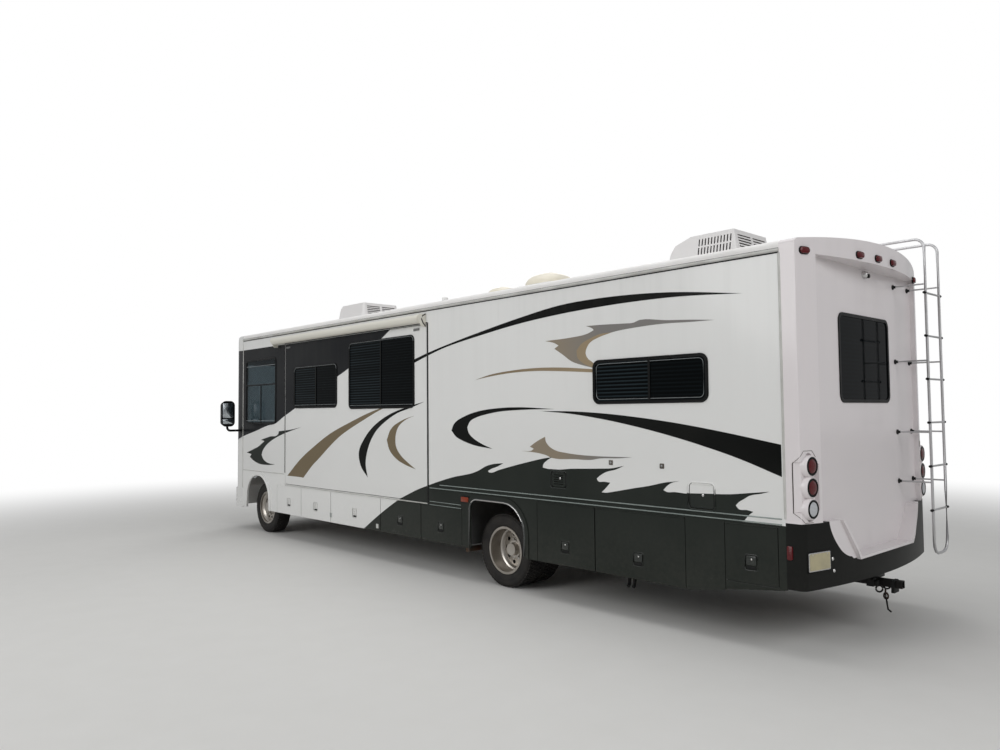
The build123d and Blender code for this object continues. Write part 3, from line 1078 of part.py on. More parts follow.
# Front axle: a dropped beam with its leaf springs
BEAM_Z = AXLE_Z - 60.0
BEAM_H = 110.0
BEAM_W = 95.0
KINGPIN_R = 24.0
with BuildPart() as front_axle:
    with BuildSketch(Plane.YZ.offset(FRONT_AXLE_X - BEAM_W / 2)):
        with BuildLine():
            Polyline(
                (-KINGPIN_Y + 62, AXLE_Z + 50),
                (-KINGPIN_Y + 62, AXLE_Z - 50),
                (-560, BEAM_Z - BEAM_H / 2),
                (560, BEAM_Z - BEAM_H / 2),
                (KINGPIN_Y - 62, AXLE_Z - 50),
                (KINGPIN_Y - 62, AXLE_Z + 50),
                (520, BEAM_Z + BEAM_H / 2),
                (-520, BEAM_Z + BEAM_H / 2),
                close=True,
            )
        make_face()
    extrude(amount=BEAM_W)
    for side in (-1, 1):
        with BuildSketch(Plane.XY.offset(AXLE_Z - 50)):
            with Locations((FRONT_AXLE_X, side * (KINGPIN_Y - 50))):
                Rectangle(BEAM_W, 60)
            with Locations((FRONT_AXLE_X, side * KINGPIN_Y)):
                Circle(KINGPIN_R + 16)
        extrude(amount=100)
        with BuildSketch(Plane.XY.offset(AXLE_Z - 105)):
            with Locations((FRONT_AXLE_X, side * KINGPIN_Y)):
                Circle(KINGPIN_R)
        extrude(amount=210)
        with BuildSketch(Plane.XY.offset(BEAM_Z)):
            with Locations((FRONT_AXLE_X, side * RAIL_Y)):
                Rectangle(BEAM_W, SPRING_W)
        extrude(amount=AXLE_SEAT_Z - BEAM_Z)
        with BuildSketch(Plane.XZ.offset(-side * RAIL_Y - SPRING_W / 2)):
            with BuildLine():
                half = FRONT_SPRING_L / 2
                ThreePointArc(
                    (FRONT_AXLE_X - half, SPRING_EYE_Z),
                    (FRONT_AXLE_X, AXLE_SEAT_Z + SPRING_T),
                    (FRONT_AXLE_X + half, SPRING_EYE_Z),
                )
                Line((FRONT_AXLE_X + half, SPRING_EYE_Z), (FRONT_AXLE_X + half, SPRING_EYE_Z - 16))
                ThreePointArc(
                    (FRONT_AXLE_X + half, SPRING_EYE_Z - 16),
                    (FRONT_AXLE_X, AXLE_SEAT_Z - 4),
                    (FRONT_AXLE_X - half, SPRING_EYE_Z - 16),
                )
                Line((FRONT_AXLE_X - half, SPRING_EYE_Z - 16), (FRONT_AXLE_X - half, SPRING_EYE_Z))
            make_face()
        extrude(amount=SPRING_W)
save(front_axle.part, "front_axle")

# Knuckles with their stub axles and brake discs
STUB_R = 34.0
HUB_FIT = 0.3
BRAKE_R = 195.0
BRAKE_T = 38.0
HUB_FACE_Y = SINGLE_Y - 27.5
for side, name in ((1, "knuckle_left"), (-1, "knuckle_right")):
    with BuildPart() as knuckle:
        with BuildSketch(Plane.XY.offset(AXLE_Z - 100)):
            with Locations((FRONT_AXLE_X, side * (KINGPIN_Y + 20))):
                Rectangle(100, 100)
        extrude(amount=200)
        with BuildSketch(Plane.XY.offset(AXLE_Z - 56)):
            with Locations((FRONT_AXLE_X, side * (KINGPIN_Y - 15))):
                Rectangle(120, 125)
        extrude(amount=112, mode=Mode.SUBTRACT)
        with BuildSketch(Plane.XY.offset(AXLE_Z - 120)):
            with Locations((FRONT_AXLE_X, side * KINGPIN_Y)):
                Circle(KINGPIN_R + 0.3)
        extrude(amount=240, mode=Mode.SUBTRACT)
        with BuildSketch(Plane.XZ.offset(-side * (KINGPIN_Y + 60))):
            with Locations((FRONT_AXLE_X, AXLE_Z)):
                Circle(60)
        extrude(amount=-side * 14)
        with BuildSketch(Plane.XZ.offset(-side * (KINGPIN_Y + 60))):
            with Locations((FRONT_AXLE_X, AXLE_Z)):
                Circle(STUB_R)
        extrude(amount=-side * (HUB_FACE_Y + 70 - KINGPIN_Y - 60))
    save(knuckle.part, name)

# Rear axle: tube housing, centre casing, propeller shaft and springs
HOUSING_R = 68.0
CASING_R = 190.0
STUB_END_Y = TWIN_MID_Y + 20.0
HOUSING_END_Y = TWIN_MID_Y - 280.0
with BuildPart() as rear_axle:
    with BuildSketch(Plane.XZ.offset(-STUB_END_Y)):
        with Locations((REAR_AXLE_X, AXLE_Z)):
            Circle(STUB_R)
    extrude(amount=2 * STUB_END_Y)
    with BuildSketch(Plane.XZ.offset(-HOUSING_END_Y)):
        with Locations((REAR_AXLE_X, AXLE_Z)):
            Circle(HOUSING_R)
    extrude(amount=2 * HOUSING_END_Y)
    with BuildSketch(Plane.XZ.offset(-110)):
        with Locations((REAR_AXLE_X, AXLE_Z)):
            Circle(CASING_R)
    extrude(amount=220)
    chamfer(rear_axle.edges().filter_by(GeomType.CIRCLE).filter_by(lambda e: abs(e.radius - CASING_R) < 1), 55)
    with BuildSketch(Plane.YZ.offset(REAR_AXLE_X + 120)):
        with Locations((0, AXLE_Z)):
            Circle(80)
    extrude(amount=150)
    for side in (-1, 1):
        with BuildSketch(Plane.XY.offset(AXLE_Z)):
            with Locations((REAR_AXLE_X, side * RAIL_Y)):
                Rectangle(110, SPRING_W)
        extrude(amount=AXLE_SEAT_Z - AXLE_Z)
        with BuildSketch(Plane.XZ.offset(-side * RAIL_Y - SPRING_W / 2)):
            with BuildLine():
                half = REAR_SPRING_L / 2
                ThreePointArc(
                    (REAR_AXLE_X - half, SPRING_EYE_Z),
                    (REAR_AXLE_X, AXLE_SEAT_Z + SPRING_T + 20),
                    (REAR_AXLE_X + half, SPRING_EYE_Z),
                )
                Line((REAR_AXLE_X + half, SPRING_EYE_Z), (REAR_AXLE_X + half, SPRING_EYE_Z - 16))
                ThreePointArc(
                    (REAR_AXLE_X + half, SPRING_EYE_Z - 16),
                    (REAR_AXLE_X, AXLE_SEAT_Z - 4),
                    (REAR_AXLE_X - half, SPRING_EYE_Z - 16),
                )
                Line((REAR_AXLE_X - half, SPRING_EYE_Z - 16), (REAR_AXLE_X - half, SPRING_EYE_Z))
            make_face()
        extrude(amount=SPRING_W)
save(rear_axle.part, "rear_axle")

# Engine with its gearbox, one block on two mounts that rest on the rails' lower flanges
with BuildPart() as engine_block:
    with BuildSketch(Plane.XY.offset(ENGINE_Z0)):
        with Locations(((ENGINE_X0 + ENGINE_X1) / 2, 0)):
            Rectangle(ENGINE_X1 - ENGINE_X0, 2 * ENGINE_HALF_W)
    extrude(amount=ENGINE_Z1 - ENGINE_Z0)
    for side in (-1, 1):
        with BuildSketch(Plane.XY.offset(RAIL_BOTTOM_Z + CHANNEL_T)):
            with Locations(((ENGINE_X0 + ENGINE_X1) / 2, side * (ENGINE_HALF_W + RAIL_Y) / 2)):
                Rectangle(MOUNT_L, RAIL_Y - ENGINE_HALF_W)
        extrude(amount=MOUNT_H)
save(engine_block.part, "engine_block")

# Fuel tank between the rails behind the rear axle
TANK_W = 700.0
TANK_H = 260.0
TANK_OVER = 60.0
with BuildPart() as fuel_tank:
    with BuildSketch(Plane.YZ.offset(CROSS_XS[1] - TANK_OVER)):
        with Locations((0, RAIL_BOTTOM_Z + CROSS_INSET - TANK_H / 2)):
            RectangleRounded(TANK_W, TANK_H, 50)
    extrude(amount=CROSS_XS[2] - CROSS_XS[1] + 2 * TANK_OVER)
save(fuel_tank.part, "fuel_tank")

# Exhaust: silencer and pipe that turns out ahead of the rear wheel
PIPE_R = 32.0
PIPE_Y = 250.0
PIPE_Z = 520.0
PIPE_X1 = ENGINE_X0 - 80.0
TAIL_PIPE_Y = HALF_WIDTH - 92.5
TAIL_PIPE_Z = 352.0
SILENCER_X0 = REAR_AXLE_X + 2735.0
SILENCER_L = 620.0
with BuildPart() as exhaust:
    with BuildLine() as pipe_line:
        FilletPolyline(
            (PIPE_X1, PIPE_Y, PIPE_Z),
            (REAR_AXLE_X + 795, PIPE_Y, PIPE_Z),
            (REAR_AXLE_X + 665, 430, TAIL_PIPE_Z + 4),
            (REAR_AXLE_X + 600, TAIL_PIPE_Y, TAIL_PIPE_Z),
            radius=80,
        )
    with BuildSketch(Plane.YZ.offset(PIPE_X1)):
        with Locations((PIPE_Y, PIPE_Z)):
            Circle(PIPE_R)
    sweep(path=pipe_line.line)
    with BuildSketch(Plane.YZ.offset(SILENCER_X0)):
        with Locations((PIPE_Y, PIPE_Z)):
            Ellipse(140, 85)
    extrude(amount=SILENCER_L)
    for x in (CROSS_XS[3], CROSS_XS[4], CROSS_XS[5], CROSS_XS[6]):
        with BuildSketch(Plane.XY.offset(PIPE_Z)):
            with Locations((x - 25, PIPE_Y)):
                Rectangle(30, 8)
        extrude(amount=RAIL_BOTTOM_Z + CROSS_INSET - PIPE_Z)
save(exhaust.part, "exhaust")

# Tyres: front singles and rear twins, each with shoulders and sidewalls
TYRE_BEAD_R = 250.0
TYRE_PROFILE = [
    # half-width share, radius share of the sidewall height
    (0.36, 0.0),
    (0.47, 0.28),
    (0.50, 0.55),
    (0.46, 0.86),
    (0.40, 1.0),
]
for name, ys in (
    ("tyre_front_left", (SINGLE_Y,)),
    ("tyre_front_right", (-SINGLE_Y,)),
    ("tyre_rear_left", (TWIN_OUT_Y, TWIN_IN_Y)),
    ("tyre_rear_right", (-TWIN_OUT_Y, -TWIN_IN_Y)),
):
    axle_x = FRONT_AXLE_X if "front" in name else REAR_AXLE_X
    with BuildPart() as tyre:
        for y in ys:
            with BuildSketch(Plane.YZ.offset(axle_x)):
                with BuildLine():
                    height = TYRE_R - TYRE_BEAD_R
                    right = [(y + TYRE_W * w, AXLE_Z + TYRE_BEAD_R + height * h) for w, h in TYRE_PROFILE]
                    left = [(y - TYRE_W * w, AXLE_Z + TYRE_BEAD_R + height * h) for w, h in TYRE_PROFILE]
                    Polyline(*right, *reversed(left), close=True)
                make_face()
            revolve(axis=Axis((axle_x, 0, AXLE_Z), (0, 1, 0)))
    save(tyre.part, name)

# Rims: turned barrels with a lip over each bead, dished discs with hand holes, and hubs
BARREL_T = 8.0
BARREL_HALF = 100.0
BARREL_R = TYRE_BEAD_R - 0.3
LIP_R = 267.0
LIP_T = 9.0
DISC_T = 12.0
HAND_HOLES = 10
HAND_HOLE_R = 23.0
HAND_HOLE_PCR = 166.0
BARREL = [
    # side of the barrel, radius
    (-BARREL_HALF - LIP_T, LIP_R),
    (-BARREL_HALF, LIP_R),
    (-BARREL_HALF, BARREL_R),
    (BARREL_HALF, BARREL_R),
    (BARREL_HALF, LIP_R),
    (BARREL_HALF + LIP_T, LIP_R),
    (BARREL_HALF + LIP_T, BARREL_R - BARREL_T),
    (-BARREL_HALF - LIP_T, BARREL_R - BARREL_T),
]
FRONT_DISC = [
    # outward of the tyre's middle, radius
    (88.0, BARREL_R - BARREL_T / 2),
    (74.0, 222.0),
    (52.0, 200.0),
    (52.0, 130.0),
    (80.0, 104.0),
    (108.0, 98.0),
]
CAP_DOME = 132.0
CAP_NOSE_R = 40.0
HUB_R = 92.0
for name, side in (("rim_front_left", 1), ("rim_front_right", -1)):
    with BuildPart() as rim:
        with BuildSketch(Plane.YZ.offset(FRONT_AXLE_X)):
            with BuildLine():
                Polyline(*[(side * (SINGLE_Y + y), AXLE_Z + r) for y, r in BARREL], close=True)
            make_face()
            with BuildLine():
                outer = [(side * (SINGLE_Y + y), AXLE_Z + r) for y, r in FRONT_DISC]
                inner = [(y - side * DISC_T, r) for y, r in outer]
                Polyline(*outer, *reversed(inner), close=True)
            make_face()
            with BuildLine():
                Polyline(
                    (side * (SINGLE_Y + 96), AXLE_Z + 100),
                    (side * (SINGLE_Y + 108), AXLE_Z + 98),
                    (side * (SINGLE_Y + CAP_DOME - 8), AXLE_Z + 74),
                    (side * (SINGLE_Y + CAP_DOME), AXLE_Z + CAP_NOSE_R),
                    (side * (SINGLE_Y + CAP_DOME), AXLE_Z),
                    (side * (SINGLE_Y + 96), AXLE_Z),
                    close=True,
                )
            make_face()
        revolve(axis=Axis((FRONT_AXLE_X, 0, AXLE_Z), (0, 1, 0)))
        with BuildSketch(Plane.XZ.offset(-side * (HUB_FACE_Y + 5))):
            with Locations((FRONT_AXLE_X, AXLE_Z)):
                Circle(HUB_R)
                Circle(STUB_R + HUB_FIT, mode=Mode.SUBTRACT)
        extrude(amount=-side * (SINGLE_Y + 98 - HUB_FACE_Y - 5))
        with BuildSketch(Plane.XZ.offset(-side * (SINGLE_Y + 46))):
            with Locations((FRONT_AXLE_X, AXLE_Z)):
                Circle(140)
                Circle(HUB_R - 2, mode=Mode.SUBTRACT)
        extrude(amount=side * 6)
        with BuildSketch(Plane.XZ.offset(-side * (SINGLE_Y + 20))):
            with Locations((FRONT_AXLE_X, AXLE_Z)):
                with PolarLocations(HAND_HOLE_PCR, HAND_HOLES):
                    Circle(HAND_HOLE_R)
        extrude(amount=-side * 60, mode=Mode.SUBTRACT)
    save(rim.part, name)

# Rear rims: outer and inner barrel on one pair of discs, with the hub that stands out of them
REAR_DISC = [
    # outward of the middle of the pair, radius
    (96.0, BARREL_R - BARREL_T / 2),
    (84.0, 224.0),
    (56.0, 204.0),
    (56.0, 96.0),
]
REAR_CAP_R = 75.0
REAR_CAP_OUT = 158.0
for name, side in (("rim_rear_left", 1), ("rim_rear_right", -1)):
    with BuildPart() as rim:
        with BuildSketch(Plane.YZ.offset(REAR_AXLE_X)):
            for middle in (TWIN_OUT_Y, TWIN_IN_Y):
                with BuildLine():
                    Polyline(*[(side * (middle + y), AXLE_Z + r) for y, r in BARREL], close=True)
                make_face()
            for turn in (1, -1):
                with BuildLine():
                    outer = [(side * (TWIN_MID_Y + turn * y), AXLE_Z + r) for y, r in REAR_DISC]
                    inner = [(y - side * turn * DISC_T, r) for y, r in outer]
                    Polyline(*outer, *reversed(inner), close=True)
                make_face()
        revolve(axis=Axis((REAR_AXLE_X, 0, AXLE_Z), (0, 1, 0)))
        with BuildSketch(Plane.XZ.offset(-side * (TWIN_MID_Y - 60))):
            with Locations((REAR_AXLE_X, AXLE_Z)):
                Circle(98)
                Circle(STUB_R + HUB_FIT, mode=Mode.SUBTRACT)
        extrude(amount=-side * 160)
        with BuildSketch(Plane.XZ.offset(-side * (TWIN_MID_Y + 99))):
            with Locations((REAR_AXLE_X, AXLE_Z)):
                Circle(REAR_CAP_R)
        extrude(amount=-side * (REAR_CAP_OUT - 99), taper=6)
        with BuildSketch(Plane.XZ.offset(-side * (TWIN_MID_Y - 110))):
            with Locations((REAR_AXLE_X, AXLE_Z)):
                with PolarLocations(HAND_HOLE_PCR, HAND_HOLES):
                    Circle(HAND_HOLE_R)
        extrude(amount=-side * 220, mode=Mode.SUBTRACT)
    save(rim.part, name)

# What the roof's own pieces stand on: its arch, raised by the seat gap
with BuildPart() as roof_seat:
    with BuildSketch(Plane.YZ.offset(REAR_SEAM_X)):
        with BuildLine():
            Polyline(
                (-ARCH_HALF, ARCH_END_Z + ROOF_SEAT_GAP),
                (-ARCH_HALF, WALL_TOP_Z - 100),
                (ARCH_HALF, WALL_TOP_Z - 100),
                (ARCH_HALF, ARCH_END_Z + ROOF_SEAT_GAP),
            )
            ThreePointArc(
                (ARCH_HALF, ARCH_END_Z + ROOF_SEAT_GAP),
                (0, ROOF_CROWN_Z + ROOF_SEAT_GAP),
                (-ARCH_HALF, ARCH_END_Z + ROOF_SEAT_GAP),
            )
        make_face()
    extrude(amount=FRONT_SEAM_X - REAR_SEAM_X)

# Air conditioners: lofted shrouds with louvres behind and, on the rear one, down the sides
UNIT_TOP_Z = ROOF_CROWN_Z + 345.0
UNIT_KNEE_Z = ROOF_CROWN_Z + 110.0
UNIT_HALF_W = 370.0
UNIT_R = 70.0
UNIT_TAPER = 11.0
AC_UNITS = [
    # rear x, front x, front slope, whether the sides have slots
    (FRONT_AXLE_X - 1730.0, FRONT_AXLE_X - 940.0, 110.0, False),
    (REAR_SEAM_X + 915.0, REAR_SEAM_X + 1730.0, 270.0, True),
]
REAR_SLOTS = 6
SIDE_SLOTS = 11
SLOT_DEPTH = 45.0
with BuildPart() as air_conditioners:
    for x0, x1, slope, sides in AC_UNITS:
        with BuildSketch(Plane.XY.offset(ROOF_EDGE_Z)):
            with Locations(((x0 + x1) / 2, 0)):
                RectangleRounded(x1 - x0, 2 * UNIT_HALF_W, UNIT_R)
        extrude(amount=UNIT_KNEE_Z - ROOF_EDGE_Z)
        with BuildSketch(Plane.XY.offset(UNIT_KNEE_Z)):
            with Locations(((x0 + x1) / 2, 0)):
                RectangleRounded(x1 - x0, 2 * UNIT_HALF_W, UNIT_R)
        extrude(amount=UNIT_TOP_Z - UNIT_KNEE_Z, taper=UNIT_TAPER)
        with BuildSketch(Plane.XZ.offset(-UNIT_HALF_W)):
            with BuildLine():
                Polyline(
                    (x1 + 10, UNIT_KNEE_Z),
                    (x1 + 10, UNIT_TOP_Z + 10),
                    (x1 - slope, UNIT_TOP_Z + 10),
                    (x1 - slope, UNIT_TOP_Z - 4),
                    (x1 - 0.35 * slope, UNIT_TOP_Z - 0.3 * (UNIT_TOP_Z - UNIT_KNEE_Z)),
                    close=True,
                )
            make_face()
        extrude(amount=2 * UNIT_HALF_W, mode=Mode.SUBTRACT)
    for x0, x1, slope, sides in AC_UNITS:
        with BuildSketch(Plane.YZ.offset(x0 - 10)):
            with Locations((0, (UNIT_KNEE_Z + UNIT_TOP_Z) / 2 - 10)):
                with GridLocations(290, (UNIT_TOP_Z - UNIT_KNEE_Z - 60) / REAR_SLOTS, 2, REAR_SLOTS):
                    Rectangle(250, 14)
        extrude(amount=SLOT_DEPTH + 10, mode=Mode.SUBTRACT)
        if sides:
            for side in (-1, 1):
                with BuildSketch(Plane.XZ.offset(-side * (UNIT_HALF_W + 10))):
                    with Locations((x0 + 250, (UNIT_KNEE_Z + UNIT_TOP_Z) / 2 - 12)):
                        with GridLocations(36, 92, SIDE_SLOTS, 2):
                            Rectangle(16, 74)
                extrude(amount=side * (SLOT_DEPTH + 10), mode=Mode.SUBTRACT)
    add(roof_seat.part, mode=Mode.SUBTRACT)
save(air_conditioners.part, "air_conditioners")

# Roof vents with domed lids, and the drain's vent pipe
VENTS = [
    # x, y, half length, half width, height over the crown
    (REAR_AXLE_X - 220.0, 600.0, 280.0, 280.0, 120.0),
    (REAR_AXLE_X + 580.0, 600.0, 190.0, 190.0, 80.0),
]
PIPE_VENT = (REAR_AXLE_X + 1485.0, 800.0, 40.0, 70.0)
CURB = 30.0
LID_R = 60.0
LID_STEPS = [
    # share of the height, inset
    (0.0, 6.0),
    (0.3, 0.0),
    (0.7, 26.0),
    (0.9, 62.0),
    (1.0, 110.0),
]
with BuildPart() as roof_vents:
    for x, y, half_x, half_y, height in VENTS:
        with BuildSketch(Plane.XY.offset(ROOF_EDGE_Z)):
            with Locations((x, y)):
                RectangleRounded(2 * half_x - 2 * CURB, 2 * half_y - 2 * CURB, 40)
        extrude(amount=ROOF_RISE)
        for share, inset in LID_STEPS:
            with BuildSketch(Plane.XY.offset(ROOF_CROWN_Z + share * height)):
                with Locations((x, y)):
                    RectangleRounded(2 * (half_x - inset), 2 * (half_y - inset), LID_R)
        loft(ruled=True)
    with BuildSketch(Plane.XY.offset(ROOF_EDGE_Z)):
        with Locations((PIPE_VENT[0], PIPE_VENT[1])):
            Circle(PIPE_VENT[2])
    extrude(amount=ROOF_RISE + PIPE_VENT[3])
    add(roof_seat.part, mode=Mode.SUBTRACT)
save(roof_vents.part, "roof_vents")

# Rear ladder: two rails that pass over the roof edge, round rungs and stand-off feet
RAIL_TUBE_R = 13.0
RUNG_R = 11.0
LADDER_YS = (-(HALF_WIDTH - 642.5), -(HALF_WIDTH - 292.5))
LADDER_X = -HALF_LENGTH + RAIL_TUBE_R
LADDER_TOP_Z = ROOF_CROWN_Z + 150.0
LADDER_LOW_Z = 610.0
LADDER_ROOF_X = REAR_SEAM_X + 380.0
RUNG_Z0 = 925.0
RUNG_PITCH = 425.0
RUNG_COUNT = 6
FOOT_ZS = (1285.0, 1750.0, 2420.0, WALL_TOP_Z - 130.0)
with BuildPart() as ladder:
    for y in LADDER_YS:
        with BuildLine() as rail_line:
            FilletPolyline(
                (LADDER_X, y, LADDER_LOW_Z),
                (LADDER_X, y, LADDER_TOP_Z),
                (LADDER_ROOF_X, y, LADDER_TOP_Z),
                (LADDER_ROOF_X, y, ROOF_EDGE_Z),
                radius=90,
            )
        with BuildSketch(Plane.XY.offset(LADDER_LOW_Z)):
            with Locations((LADDER_X, y)):
                Circle(RAIL_TUBE_R)
        sweep(path=rail_line.line)
        for z in FOOT_ZS:
            with BuildSketch(Plane.YZ.offset(LADDER_X)):
                with Locations((y, z)):
                    Circle(8)
            extrude(amount=REAR_PANEL_X - LADDER_X)
            with BuildSketch(Plane.YZ.offset(REAR_PANEL_X)):
                with Locations((y, z)):
                    Circle(20)
            extrude(amount=-6)
    for i in range(RUNG_COUNT):
        with BuildSketch(Plane.XZ.offset(-LADDER_YS[0])):
            with Locations((LADDER_X, RUNG_Z0 + i * RUNG_PITCH)):
                Circle(RUNG_R)
        extrude(amount=LADDER_YS[0] - LADDER_YS[1])
    with BuildSketch(Plane.XZ.offset(-LADDER_YS[0])):
        with Locations((LADDER_X, LADDER_LOW_Z + 6)):
            Circle(RUNG_R)
    extrude(amount=LADDER_YS[0] - LADDER_YS[1])
    add(roof_seat.part, mode=Mode.SUBTRACT)
save(ladder.part, "ladder")

# Lenses of the round tail lamps: two red and one clear a side
with BuildPart() as red_lamps:
    for side in (-1, 1):
        for z in LAMP_ZS[:2]:
            with BuildSketch(Plane.YZ.offset(LENS_X + LENS_DEPTH)):
                with Locations((side * LAMP_Y, z)):
                    Circle(LENS_R)
            extrude(amount=-LENS_DEPTH - LENS_PROUD)
save(red_lamps.part, "red_lamps")

with BuildPart() as clear_lamps:
    for side in (-1, 1):
        with BuildSketch(Plane.YZ.offset(LENS_X + LENS_DEPTH)):
            with Locations((side * LAMP_Y, LAMP_ZS[2])):
                Circle(LENS_R)
        extrude(amount=-LENS_DEPTH - LENS_PROUD)

with BuildPart() as head_lamps:
    add(front_cap_outer.part)
    with BuildSketch(Plane.YZ.offset(FRONT_SEAM_X + 120)):
        with Locations((-HEADLAMP_Y, HEADLAMP_Z), (HEADLAMP_Y, HEADLAMP_Z)):
            RectangleRounded(HEADLAMP_W, HEADLAMP_H, 50)
    extrude(amount=HALF_LENGTH, mode=Mode.INTERSECT)
    add(clear_lamps.part)
save(head_lamps.part, "clear_lamps")

# Door mirrors: tall heads on bent tube arms from pads on the front cap
MIRROR_X = FRONT_SEAM_X - 20.0
MIRROR_Y = HALF_WIDTH + 277.5
MIRROR_Z = FLOOR_TOP_Z + 950.0
MIRROR_H = 440.0
MIRROR_W = 240.0
MIRROR_T = 95.0
MIRROR_ARM_R = 19.0
MIRROR_ARM_X = MIRROR_X + 62.0
MIRROR_ARM_Z = MIRROR_Z - 290.0
with BuildPart() as mirrors:
    for side in (-1, 1):
        with BuildSketch(Plane.YZ.offset(MIRROR_X)):
            with Locations((side * MIRROR_Y, MIRROR_Z)):
                RectangleRounded(MIRROR_W, MIRROR_H, 80)
        extrude(amount=MIRROR_T, taper=14)
        with BuildLine() as arm_line:
            FilletPolyline(
                (MIRROR_ARM_X, side * HALF_WIDTH, MIRROR_ARM_Z),
                (MIRROR_ARM_X, side * (MIRROR_Y - 10), MIRROR_ARM_Z),
                (MIRROR_ARM_X - 12, side * (MIRROR_Y - 10), MIRROR_Z - 120),
                radius=60,
            )
        with BuildSketch(Plane.XZ.offset(-side * HALF_WIDTH)):
            with Locations((MIRROR_ARM_X, MIRROR_ARM_Z)):
                Circle(MIRROR_ARM_R)
        sweep(path=arm_line.line)
        with BuildSketch(Plane.XZ.offset(-side * HALF_WIDTH)):
            with Locations((MIRROR_ARM_X, MIRROR_ARM_Z)):
                RectangleRounded(70, 110, 25)
        extrude(amount=-side * 16)
save(mirrors.part, "mirrors")

# Cab seats
SEAT_Y = 620.0
SEAT_X = FRONT_AXLE_X - 335.0
with BuildPart() as cab_seats:
    for side in (-1, 1):
        with BuildSketch(Plane.XY.offset(FLOOR_TOP_Z)):
            with Locations((SEAT_X, side * SEAT_Y)):
                Rectangle(360, 360)
        extrude(amount=300)
        with BuildSketch(Plane.XY.offset(FLOOR_TOP_Z + 300)):
            with Locations((SEAT_X, side * SEAT_Y)):
                RectangleRounded(540, 520, 70)
        extrude(amount=150)
        with BuildSketch(Plane.XZ.offset(-side * SEAT_Y - 250)):
            with BuildLine():
                Polyline(
                    (SEAT_X - 270, FLOOR_TOP_Z + 330),
                    (SEAT_X - 120, FLOOR_TOP_Z + 330),
                    (SEAT_X - 250, FLOOR_TOP_Z + 1130),
                    (SEAT_X - 390, FLOOR_TOP_Z + 1130),
                    close=True,
                )
            make_face()
        extrude(amount=500)
save(cab_seats.part, "cab_seats")

# Dashboard with the engine cover between the seats and the steering column
DASH_X0 = FRONT_AXLE_X + 505.0
DASH_TOP_Z = FLOOR_TOP_Z + 460.0
COVER_T = 25.0
COVER_H = 240.0
WHEEL_RIM_R = 205.0
WHEEL_TUBE_R = 15.0
WHEEL_X = FRONT_AXLE_X + 215.0
WHEEL_Y = SEAT_Y
WHEEL_Z = FLOOR_TOP_Z + 600.0
WHEEL_RAKE = 45.0
COLUMN_R = 40.0
SHAFT_R_STEER = 20.0
COLUMN_FIT = 0.3
COLUMN_NEAR = 60.0
COLUMN_FAR = 440.0
SHAFT_END = 150.0
COLUMN = Vector(-sin(radians(WHEEL_RAKE)), 0, cos(radians(WHEEL_RAKE)))
wheel_plane = Plane(origin=(WHEEL_X, WHEEL_Y, WHEEL_Z), x_dir=(0, 1, 0), z_dir=COLUMN)
with BuildPart() as dashboard:
    with BuildSketch(Plane.XZ.offset(-WALL_IN_Y)):
        with BuildLine():
            Polyline(
                (DASH_X0, DASH_TOP_Z - 180),
                (DASH_X0 + 130, DASH_TOP_Z - 320),
                (DASH_X0 + 130, FLOOR_TOP_Z),
                (DASH_X0 + 260, FLOOR_TOP_Z),
                (DASH_X0 + 260, DASH_TOP_Z - 60),
                (DASH_X0 + 60, DASH_TOP_Z),
                close=True,
            )
        make_face()
    extrude(amount=2 * WALL_IN_Y)
    with BuildSketch(Plane.XY.offset(FLOOR_TOP_Z)):
        with Locations(((COVER_X0 - COVER_T + DASH_X0 + 200) / 2, 0)):
            Rectangle(DASH_X0 + 200 - COVER_X0 + COVER_T, 2 * COVER_HALF_W + 2 * COVER_T)
    extrude(amount=COVER_H)
    with BuildSketch(Plane.XY.offset(FLOOR_TOP_Z)):
        with Locations(((COVER_X0 + COVER_X1) / 2, 0)):
            Rectangle(COVER_X1 - COVER_X0, 2 * COVER_HALF_W)
    extrude(amount=COVER_H - COVER_T, mode=Mode.SUBTRACT)
    with BuildSketch(wheel_plane.offset(-COLUMN_NEAR)):
        Circle(COLUMN_R)
    extrude(amount=COLUMN_NEAR - COLUMN_FAR)
    with BuildSketch(wheel_plane.offset(-COLUMN_NEAR)):
        Circle(SHAFT_R_STEER + COLUMN_FIT)
    extrude(amount=COLUMN_NEAR - SHAFT_END - 10, mode=Mode.SUBTRACT)
save(dashboard.part, "dashboard")

# Steering wheel, turning on its raked column
SPOKES = 3
SPOKE_W = 34.0
SPOKE_T = 16.0
with BuildPart() as steering_wheel:
    with BuildSketch(Plane(origin=(WHEEL_X, WHEEL_Y, WHEEL_Z), x_dir=(0, 1, 0), z_dir=wheel_plane.y_dir)):
        with Locations((WHEEL_RIM_R, 0)):
            Circle(WHEEL_TUBE_R)
    revolve(axis=Axis((WHEEL_X, WHEEL_Y, WHEEL_Z), COLUMN))
    with BuildSketch(wheel_plane.offset(-SPOKE_T / 2)):
        Circle(48)
        with PolarLocations(WHEEL_RIM_R / 2, SPOKES, start_angle=90):
            Rectangle(WHEEL_RIM_R, SPOKE_W)
    extrude(amount=SPOKE_T)
    with BuildSketch(wheel_plane.offset(-SPOKE_T / 2)):
        Circle(SHAFT_R_STEER)
    extrude(amount=SPOKE_T / 2 - SHAFT_END)
save(steering_wheel.part, "steering_wheel")
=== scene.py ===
"""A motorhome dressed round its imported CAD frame: paint, stripes, glass, trim, tyres and seats."""

import math

import bmesh
import bpy
from mathutils import Matrix, Vector
from mathutils.bvhtree import BVHTree
from mathutils.geometry import tessellate_polygon


